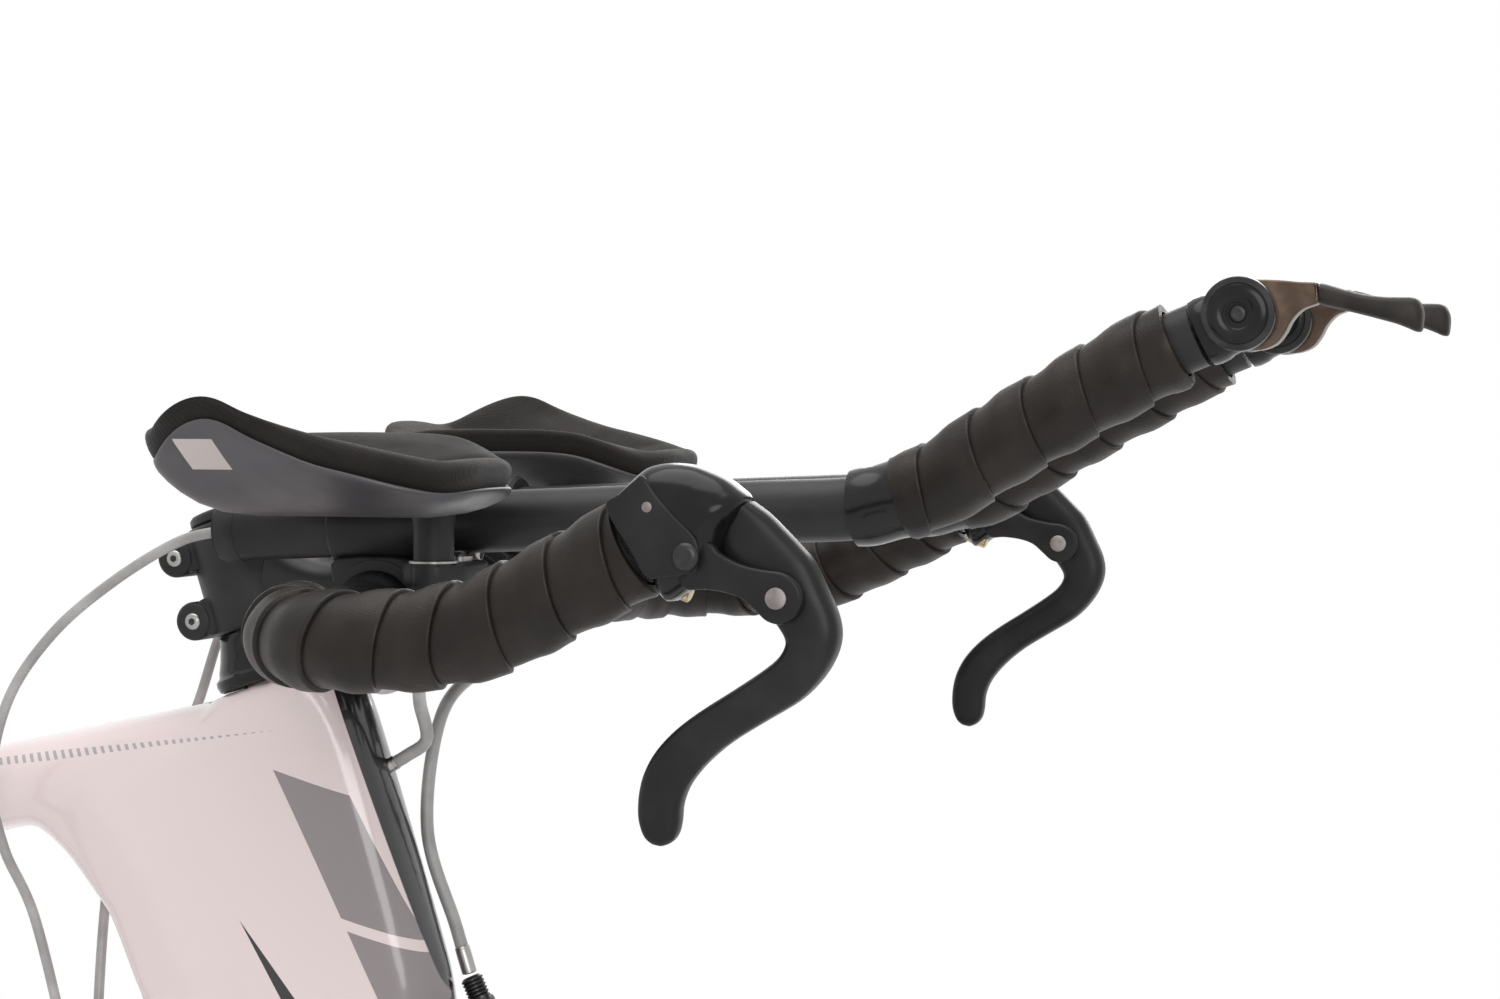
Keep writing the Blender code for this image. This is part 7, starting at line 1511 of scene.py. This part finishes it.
for run in (0.0195, 0.0270):
    socket_bolt(left, BB - FORE * run + SIDE * 0.0540 - UP * 0.0150, -UP, 0.0030, 0.0014, axle_steel,
                bolt_black)
fitted(left.object("crank_left_forged", [satin_black, axle_steel, bolt_black]), "crank_body", "black_alloy",
       "crank_left")

# Bottom bracket
# Two aluminium cups screwed into the shell with their bearings, joined by a plastic sleeve.

bracket = Form()
bracket.lathe(BB, SIDE, mm((-44, 12.3), (-44, 20), (-43.4, 21), (-42, 21.3), (-35.2, 21.3), (-34.3, 20.8),
                           (-34.3, 17.2), (34.3, 17.2), (34.3, 20.8), (35.2, 21.3), (42, 21.3), (43.4, 21),
                           (44, 20), (44, 12.3), (-44, 12.3)), steps=64)
for i in range(16):
    turn = 2 * pi * i / 16
    for low_y in (-0.0436, 0.0372):
        at = BB + Vector((0.0211 * cos(turn), low_y, 0.0211 * sin(turn)))
        bracket.rod(at, at + SIDE * 0.0064, 0.0011, steps=10, edge=0.0004)
fitted(bracket.object("bearing_cups", [satin_black]), "frame_body", "black_alloy", "bottom_bracket")

# Pedals
# Single-sided clipless pedals: a black moulded body with a steel plate on top and a sprung catch behind.

PEDAL = mm((-40, 4), (-34, 9.6), (-25, 9.8), (-16, 8.5), (10, 10.5), (24, 9), (38, 6), (48, 2.2), (50, 0.4),
           (46, -3), (18, -10), (-12, -11.5), (-34, -6), (-39.5, -1))
for word, side, axle_x in (("right", -1, 0.07925), ("left", 1, -0.26575)):
    middle = Vector((axle_x, side * 0.1080, 0.266))
    pedal = Form()
    for low_y, high_y in ((-0.0290, -0.0168), (0.0168, 0.0290)):
        pedal.slab(smooth_loop(PEDAL), middle, FORE, UP, low_y, high_y, soft=0.0022)
    pedal.slab(smooth_loop(mm((-39.2, 3.6), (-33.5, 9), (-16, 8.2), (6, 10), (13.5, 9.8), (13.8, -10.2),
                              (-12, -11.2), (-33.5, -5.8)), steps=3), middle, FORE, UP,
               -0.0175, 0.0175, soft=0.0014)
    pedal.slab(smooth_loop(mm((34.4, 6.4), (38, 5.6), (48, 1.8), (49.6, 0.2), (45.5, -2.8),
                              (34.6, -6.4)), steps=3), middle, FORE, UP, -0.0175, 0.0175, soft=0.0012)
    pedal.tone = bolt_steel
    plate = middle + UP * 0.0098
    rings = []
    for level, trim in ((-0.0006, 0.96), (0.0004, 1.0), (0.0010, 0.99), (0.0012, 0.96)):
        rings.append([plate + Vector((a * trim - 0.0040, b * trim, level))
                      for a, b in squarish(0.0100, 0.0150, square=0.35, count=40)])
    pedal.skin(rings)
    for y in (-0.0080, -0.0040, 0.0, 0.0040, 0.0080):
        coil = middle + Vector((-0.0330, y, 0.0018))
        pedal.lathe(coil, SIDE, mm((-1.4, 3), (-1.2, 4), (1.2, 4), (1.4, 3)), steps=24)
    fitted(pedal.object(f"{word}_pedal_moulded", [soft_rubber, bolt_steel]), f"{word}_pedal_body",
           "black_plastic", f"{word}_pedal")

# Cassette
# Ten sprockets from 11 to 23 teeth, stamped from steel and nickel plated, stacked on the freehub with
# spacers and held by a lock ring.

COG_GAP = 0.00395
COGS = (11, 12, 13, 14, 15, 16, 17, 19, 21, 23)
stack = Form()
for i, teeth in enumerate(COGS):
    y = CHAIN_Y + (i - 4) * COG_GAP
    phase = -0.40169 if i == 4 else 0.03 * i
    stack.tone = ring_alloy
    sprocket(stack, REAR_AXLE + SIDE * y, tooth_line(teeth, phase, 0.0042, 0.0022, steps=8), bore=0.0166,
             half=0.0008)
    stack.tone = satin_black
    if i < 9:
        stack.lathe(REAR_AXLE + SIDE * y, SIDE, mm((0.9, 15), (1, 18.2), (3, 18.2), (3.1, 15), (0.9, 15)))
stack.lathe(REAR_AXLE, SIDE, mm((-62.3, 5.8), (-62.3, 15), (-61.9, 16), (-60.6, 16.2), (-60.6, 5.8),
                                (-62.3, 5.8)))
stack.lathe(REAR_AXLE, SIDE, mm((-60.4, 5.8), (-60.4, 16.3), (-23.6, 16.3), (-23.6, 5.8), (-60.4, 5.8)))
fitted(stack.object("cassette_stack", [ring_alloy, satin_black], sharp=30.0), "cassette_body", "steel",
       "cassette")

# Chain
# Half-inch roller chain for ten speeds in plated steel: outer and inner links in turn, each a pair of waisted
# side plates on rollers and pins. It runs over the large ring, the fifth sprocket and the two pulleys.

GUIDE = Vector((-0.4865, 0, 0.26400))
TENSION = Vector((-0.46552, 0, 0.21208))


def chain_finish():
    steel = Finish("chain_plated", (0.33, 0.325, 0.315), roughness=0.34, metallic=0.95)
    grime = steel.band(steel.cloud(180.0, 4.0), 0.4, 0.7)
    steel.feed("Base Color", steel.blend(grime, (0.38, 0.375, 0.365), (0.17, 0.16, 0.145)))
    steel.feed("Roughness", 0.26 + grime * 0.25)
    return steel.material


def pin_places():
    """Pin centres round the loop: evenly on each toothed wheel, then along the straight run that follows it.
    The marks are the first pin of each wheel and of each run."""
    loop = ((BB, 53, -1), (TENSION, 11, -1), (GUIDE, 11, 1), (REAR_AXLE, 15, -1))
    runs = []
    for (c1, t1, s1), (c2, t2, s2) in zip(loop, loop[1:] + loop[:1]):
        span = Vector((c2.x - c1.x, c2.z - c1.z))
        swing = s2 * pitch_radius(t2) - s1 * pitch_radius(t1)
        angle = atan2(span.y, span.x) - asin(swing / span.length)
        left_of = Vector((-sin(angle), cos(angle)))
        runs.append((Vector((c1.x, c1.z)) - s1 * pitch_radius(t1) * left_of,
                     Vector((c2.x, c2.z)) - s2 * pitch_radius(t2) * left_of))
    arcs = []
    for k, (centre, teeth, sense) in enumerate(loop):
        arrive, leave = runs[k - 1][1], runs[k][0]
        start = atan2(arrive.y - centre.z, arrive.x - centre.x)
        sweep = (atan2(leave.y - centre.z, leave.x - centre.x) - start) * sense % (2 * pi)
        step = 2 * pi / teeth
        count = int(sweep / step + 0.25)
        first = start + sense * (sweep - count * step) / 2
        radius = pitch_radius(teeth)
        arcs.append([Vector((centre.x + cos(first + sense * step * i) * radius, 0,
                             centre.z + sin(first + sense * step * i) * radius)) for i in range(count + 1)])
    pins, marks = [], []
    for k in range(4):
        marks.append(len(pins))
        pins += arcs[k]
        marks.append(len(pins))
        start, end = arcs[k][-1], arcs[(k + 1) % 4][0]
        count = round((end - start).length / PITCH) + (1 if k == 0 else 0)
        pins += [start.lerp(end, i / count) for i in range(1, count)]
    return pins, marks


PLATE_END = 0.0041
chain_steel = chain_finish()
pins, marks = pin_places()
split = marks[2] - 5
# the loop in six lengths: each that lies on one body hangs on it, and each that spans two bodies stays
# unattached
lengths = (("chain_links", marks[6], len(pins) + marks[1] - 1, "frame_body", None, 0, 0),
           ("chain_lower_run", marks[1] - 1, split, "frame_body", "derailleur_body", marks[1] - 1, split),
           ("chain_lower_end", split, marks[2], "derailleur_body", "cage_body", split, marks[2]),
           ("chain_tension_wrap", marks[2], marks[3] - 1, "cage_body", None, 0, 0),
           ("chain_guide_wrap", marks[3] - 1, marks[5] - 1, "derailleur_body", "cage_body", marks[5] - 1,
            marks[3] - 1),
           ("chain_upper_drop", marks[5] - 1, marks[6], "frame_body", "derailleur_body", marks[6],
            marks[5] - 1))
for name, first, last, body, other, start, end in lengths:
    links = Form()
    for i in range(first, last):
        place, following = pins[i % len(pins)], pins[(i + 1) % len(pins)]
        ahead = (following - place).normalized()
        rise = ahead.cross(SIDE)
        pitch = (following - place).length
        plate = []
        for t in range(90, 271, 36):
            plate.append((PLATE_END * cos(radians(t)), PLATE_END * sin(radians(t))))
        plate += [(pitch * 0.3, -0.0035), (pitch * 0.5, -0.0030), (pitch * 0.7, -0.0035)]
        for t in range(-90, 91, 36):
            plate.append((pitch + PLATE_END * cos(radians(t)), PLATE_END * sin(radians(t))))
        plate += [(pitch * 0.7, 0.0035), (pitch * 0.5, 0.0030), (pitch * 0.3, 0.0035)]
        for out in (-1, 1):
            near, far = (0.0020, 0.0028) if i % 2 == 0 else (0.0012, 0.0020)
            low_y, high_y = sorted((out * near, out * far))
            links.slab(plate, place + SIDE * CHAIN_Y, ahead, rise, low_y, high_y, soft=0.00025, steps=1)
        at = place + SIDE * CHAIN_Y
        links.rod(at - SIDE * 0.0030, at + SIDE * 0.0030, 0.0018, steps=10, edge=0.0003)
        links.rod(at - SIDE * 0.0011, at + SIDE * 0.0011, 0.0038, steps=14, edge=0.0002)
    length = links.object(name, [chain_steel], sharp=30.0)
    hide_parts("chain")
    if other:
        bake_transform(length)
    else:
        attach(length, body)

# Rear derailleur
# A forged black link hangs from the dropout and carries a knuckle with the sprung cage: two plates on either
# side of two toothed plastic pulleys, which run on steel pins.

for word, centre, phase in (("guide", GUIDE, 0.30985), ("tension", TENSION, -0.46085)):
    pulley = Form()
    sprocket(pulley, centre + SIDE * CHAIN_Y, tooth_line(11, phase, root=0.0044, tip=0.0020), bore=0.0062,
             half=0.0009)
    pulley.tone = bolt_steel
    pulley.lathe(centre + SIDE * CHAIN_Y, SIDE, mm((-1.6, 2.9), (-1.7, 6), (-1, 7.2), (1, 7.2), (1.7, 6),
                                                   (1.6, 2.9), (-1.6, 2.9)), steps=40)
    fitted(pulley.object(f"{word}_pulley_moulded", [soft_rubber, bolt_steel], sharp=30.0),
           f"{word}_pulley_body", "black_plastic", f"{word}_pulley")
cage = Form()
down = (TENSION - GUIDE).normalized()
across = Vector((-down.z, 0, down.x))
CAGE = mm((0, 10.8), (-6.8, 8.6), (-10.6, 3), (-10.6, -3), (-6.8, -8.6), (0, -10.8), (12, -8.8), (28, -7),
          (44, -8), (56, -9.4), (62, -7), (65.2, 0), (62, 7), (56, 9.4), (44, 7.4), (28, 6), (12, 8.4))
for y in (CHAIN_Y - 0.0068, CHAIN_Y + 0.0068):
    cage.tone = satin_black
    cage.slab(smooth_loop(CAGE), GUIDE + SIDE * y, down, across, -0.0008, 0.0008, soft=0.0004, steps=2)
for centre in (GUIDE, TENSION):
    cage.tone = bolt_steel
    cage.rod(centre + SIDE * (CHAIN_Y - 0.0086), centre + SIDE * (CHAIN_Y + 0.0084), 0.0025)
    socket_bolt(cage, centre + SIDE * (CHAIN_Y + 0.0072), SIDE, 0.0036, 0.0012, bolt_steel, bolt_black)
fitted(cage.object("derailleur_cage_plates", [satin_black, bolt_steel, bolt_black]), "cage_body",
       "black_alloy", "derailleur_cage")
knuckle = Form()
axis = GUIDE + Vector((-0.0030, 0, 0.0050))
far, near = -0.0688, -0.0538
knuckle.lathe(axis, SIDE,
              [(far, 0.0066), (far + 0.0004, 0.0084), (far + 0.0014, 0.0097), (far + 0.0030, 0.0100),
                           (near - 0.0052, 0.0100), (near - 0.0048, 0.0094), (near - 0.0040, 0.0094),
                           (near - 0.0036, 0.0100), (near - 0.0006, 0.0100), (near, 0.0094)], steps=56)
socket_bolt(knuckle, axis + SIDE * far, -SIDE, 0.0050, 0.0012, bolt_steel, bolt_black)
fitted(knuckle.object("derailleur_knuckle_forged", [satin_black, bolt_steel, bolt_black]), "derailleur_body",
       "black_alloy", "derailleur_pulley_knuckle")
link = Form()
hanger = REAR_AXLE + Vector((-0.0140, -0.0718, -0.0270))
link.lathe(hanger, -SIDE, mm((0, 7.8), (0.4, 8.8), (1.2, 9.1), (9, 9.5), (10.8, 9.2), (12, 7.8)), steps=56)
socket_bolt(link, hanger - SIDE * 0.0116, -SIDE, 0.0054, 0.0014, bolt_steel, bolt_black)
fitted(link.object("derailleur_hanger_pivot", [satin_black, bolt_steel, bolt_black]), "frame_body",
       "black_alloy", "derailleur_link")
link = Form()
end = axis + Vector((-0.0100, near - 0.0085, 0.0020))
way = Route([hanger + Vector((-0.002, -0.0062, -0.003)), hanger + Vector((-0.0065, -0.0060, -0.0155)),
             end + Vector((-0.0055, -0.0030, 0.0070)), end], SIDE)
rings = []
for i in range(25):
    share = i / 24
    point, _, up, side_way = way.at(way.length * share)
    tall, wide, _ = between([Vector((0.0070, 0.0090, 0)), Vector((0.0064, 0.0090, 0)),
                             Vector((0.0050, 0.0108, 0)), Vector((0.0038, 0.0118, 0))], share)
    rings.append([point + up * b * wide * 0.5 + side_way * a * tall
                  for a, b in squarish(1.0, 1.0, square=0.75)])
link.skin(rings)
arm = link.object("derailleur_link_forged", [satin_black])
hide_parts("derailleur_link")
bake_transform(arm)
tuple(end)

# Front derailleur
# A folded steel cage over the large ring, on a short black linkage that is clamped round the seat tube.

tip = pitch_radius(53) + 0.0024
cage = Form()
for y, low_r, high_r, first, last in ((CHAIN_Y - 0.0044, tip + 0.0020, tip + 0.0175, 70, 124),
                                      (CHAIN_Y + 0.0056, tip + 0.0020, tip + 0.0195, 72, 122)):
    rings = []
    for i in range(49):
        t = radians(first + (last - first) * i / 48)
        trim = min(1.0, 0.55 + 0.45 * min(i, 48 - i) / 5)
        inset = (high_r - low_r) * (1 - trim) * 0.5
        inner, outer = low_r + inset, high_r - inset
        rings.append([BB + Vector((r * cos(t), y + d, r * sin(t)))
                      for r, d in ((inner, -0.0007), (outer - 0.0006, -0.0007), (outer, -0.0003),
                                   (outer, 0.0003), (outer - 0.0006, 0.0007), (inner, 0.0007),
                                   (inner - 0.0003, 0.0))])
    cage.skin(rings)
rings = []
for i in range(13):
    t = radians(83 + 18 * i / 12)
    rings.append([BB + Vector((r * cos(t), y, r * sin(t)))
                  for r, y in ((tip + 0.0161, CHAIN_Y - 0.0048), (tip + 0.0175, CHAIN_Y - 0.0048),
                               (tip + 0.0177, CHAIN_Y + 0.0058), (tip + 0.0163, CHAIN_Y + 0.0058))])
cage.skin(rings)
fitted(cage.object("front_cage_folded", [spoke_steel], sharp=35.0), "front_derailleur_moving", "steel",
       "front_derailleur_cage")
carrier = moulded("front_derailleur_body", voxel=0.0011, passes=4, name="front_carrier_forged")
carrier.data.materials.append(satin_black)
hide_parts("front_derailleur_body")
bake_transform(carrier)

# Seatpost
# An aero post in black composite that slides in the seat tube, with a two-bolt aluminium head that grips the
# rails.

SEAT_UP = Vector((-0.24192, 0, 0.97030))
SEAT_FORE = Vector((0.97030, 0, 0.24192))
RAILS = Vector((-0.26240, 0, 0.94420))
post = Form()
post_low, post_top = Vector((-0.17430, 0, 0.59100)), Vector((-0.25850, 0, 0.92870))
rings = []
POST = ((0.0, 0.0200, 0.0190, 0.0105), (0.5, 0.0200, 0.0190, 0.0105), (0.90, 0.0200, 0.0190, 0.0105),
        (0.94, 0.0199, 0.0189, 0.0105), (0.97, 0.0186, 0.0180, 0.0112), (0.99, 0.0175, 0.0173, 0.0124),
        (1.0, 0.0160, 0.0160, 0.0120))
for share, nose, tail, wide in POST:
    centre = post_low.lerp(post_top, share)
    ring = []
    for j in range(56):
        t = 2 * pi * j / 56
        reach = nose if cos(t) > 0 else tail
        ring.append(centre + SEAT_FORE * reach * cos(t) + SIDE * wide * sin(t)
                    * (1 - 0.12 * (cos(t) < 0) * cos(t) ** 2))
    rings.append(ring)
post.skin(rings)
post.tone = satin_black
post.lathe(post_top - SEAT_UP * 0.0060, SEAT_UP, mm((0, 12), (0.6, 12.5), (12, 12.5), (12.5, 12)))
for low_z, high_z, long in ((-0.0105, -0.0006, 0.0190), (0.0006, 0.0065, 0.0180)):
    rings = []
    for level, trim in ((low_z, 0.94), (low_z + 0.0008, 1.0), (high_z - 0.0008, 1.0), (high_z, 0.94)):
        rings.append([RAILS + Vector((a * trim, b * trim, level))
                      for a, b in squarish(long, 0.0286, square=0.28, count=48)])
    post.skin(rings)
for fore in (-0.0140, 0.0140):
    socket_bolt(post, RAILS + Vector((fore, 0, 0.0062)), UP, 0.0042, 0.0026, bolt_steel, bolt_black)
    post.tone = bolt_steel
    post.rod(RAILS + Vector((fore, 0, -0.0135)), RAILS + Vector((fore, 0, 0.0060)), 0.0024, steps=20)
fitted(post.object("seatpost_moulded", [gloss_black, satin_black, bolt_steel, bolt_black]), "frame_body",
       "black_plastic", "seatpost")

# Saddle
# A moulded black shell on two steel rails, padded with thin foam under a smooth black cover that is
# stretched over it and glued round the edge, with a shallow groove down the middle.

SADDLE_LONG = 0.272


def saddle_line(share):
    """Centre, half width and lift of the saddle from its tail (0) to its nose (1)."""
    half = (0.040 + 0.094 / (1 + (share / 0.46) ** 4)) / 2
    half *= min(1.0, (share / 0.10 + 0.02) ** 0.5, ((1 - share) / 0.08 + 0.02) ** 0.5)
    lift = 0.008 * (1 - share / 0.45) ** 2 if share < 0.45 else 0.0
    return Vector((-0.3785 + share * SADDLE_LONG, 0, 0.98885 + lift)), half


def under(share, v, drop):
    centre, half = saddle_line(share)
    return centre + Vector((0, half * 0.92 * v, -0.0144 * abs(v) ** 2.4 - drop))


def cover_finish():
    cover = Finish("saddle_cover", (0.020, 0.020, 0.021), roughness=0.48, specular_ior_level=0.3)
    drift = cover.band(cover.cloud(30.0), 0.35, 0.7)
    cover.feed("Base Color", cover.blend(drift, (0.018, 0.018, 0.019), (0.036, 0.035, 0.035)))
    cover.feed("Roughness", 0.4 + cover.cloud(69.0) * 0.2)
    grain = cover.node("ShaderNodeTexVoronoi", {"feature": "DISTANCE_TO_EDGE"},
                       {"Vector": cover.place(), "Scale": 900.0})
    cover.relief(cover.band(grain, 0.0, 0.3), 0.25, 0.0002)
    return cover.material


saddle_cover = cover_finish()
pad = Form()
rings = []
shares = [0.004, 0.012, 0.03, 0.055] + [0.08 + 0.84 * i / 34 for i in range(35)] + [0.945, 0.97, 0.988, 0.996]
for share in shares:
    centre, half = saddle_line(share)
    top = []
    for i in range(25):
        v = -1 + i / 12
        groove = 0.0022 * max(0.0, 1 - (v * half / 0.011) ** 2) ** 2
        groove *= min(1.0, max(0.0, (0.86 - share) / 0.3))
        top.append(centre + Vector((0, half * 0.975 * v, -0.0160 * abs(v) ** 2.4 - groove - 0.0008)))
    edge = 0.0174 * (0.62 + 0.38 * min(1.0, share / 0.05, (1 - share) / 0.05))
    rings.append(top + [under(share, v, edge) for v in (0.98, 0.8, 0.5, 0.2, 0.0, -0.2, -0.5, -0.8, -0.98)])
pad.skin(rings)
cushion = pad.object("saddle_padding", [], sharp=180.0)
swollen(cushion, pressure=3.0, cap=0.0030, loose=lambda p: 1.0)
cushion.data.materials.append(saddle_cover)
fitted(cushion, "frame_body", "saddle_cover", "saddle_cushion")

shell = Form()
rings = []
for i in range(33):
    share = 0.08 + 0.86 * i / 32
    rings.append([under(share, v, 0.0187) for v in (-0.99, -0.75, -0.5, -0.25, 0, 0.25, 0.5, 0.75, 0.99)]
                 + [under(share, v, 0.0232) for v in (0.97, 0.75, 0.5, 0.25, 0, -0.25, -0.5, -0.75, -0.97)])
shell.skin(rings)
nose, _ = saddle_line(0.90)
tail, _ = saddle_line(0.12)
for side in (-1, 1):
    shell.tone = bolt_steel
    rail = Route([Vector((nose.x, side * 0.0075, nose.z - 0.0255)),
                  Vector((nose.x - 0.022, side * 0.0105, nose.z - 0.0335)),
                  Vector((RAILS.x + 0.050, side * 0.0220, RAILS.z)),
                  Vector((RAILS.x - 0.045, side * 0.0220, RAILS.z)),
                  Vector((tail.x + 0.018, side * 0.0300, tail.z - 0.0380)),
                  Vector((tail.x + 0.0075, side * 0.0315, tail.z - 0.0280))], SIDE)
    shell.tube(rail, 0.0035, pace=0.003)
    shell.tone = satin_black
    for at, wide in ((Vector((tail.x + 0.0085, side * 0.0312, tail.z - 0.0275)), 0.0090),
                     (Vector((nose.x + 0.0005, side * 0.0078, nose.z - 0.0245)), 0.0070)):
        shell.lathe(at - UP * 0.0030, UP, [(0.0, wide * 0.55), (0.0010, wide * 0.7), (0.0060, wide * 0.85),
                                           (0.0070, wide * 0.8)], steps=28)
fitted(shell.object("saddle_shell", [satin_black, bolt_steel]), "frame_body", "black_plastic", "saddle_base")
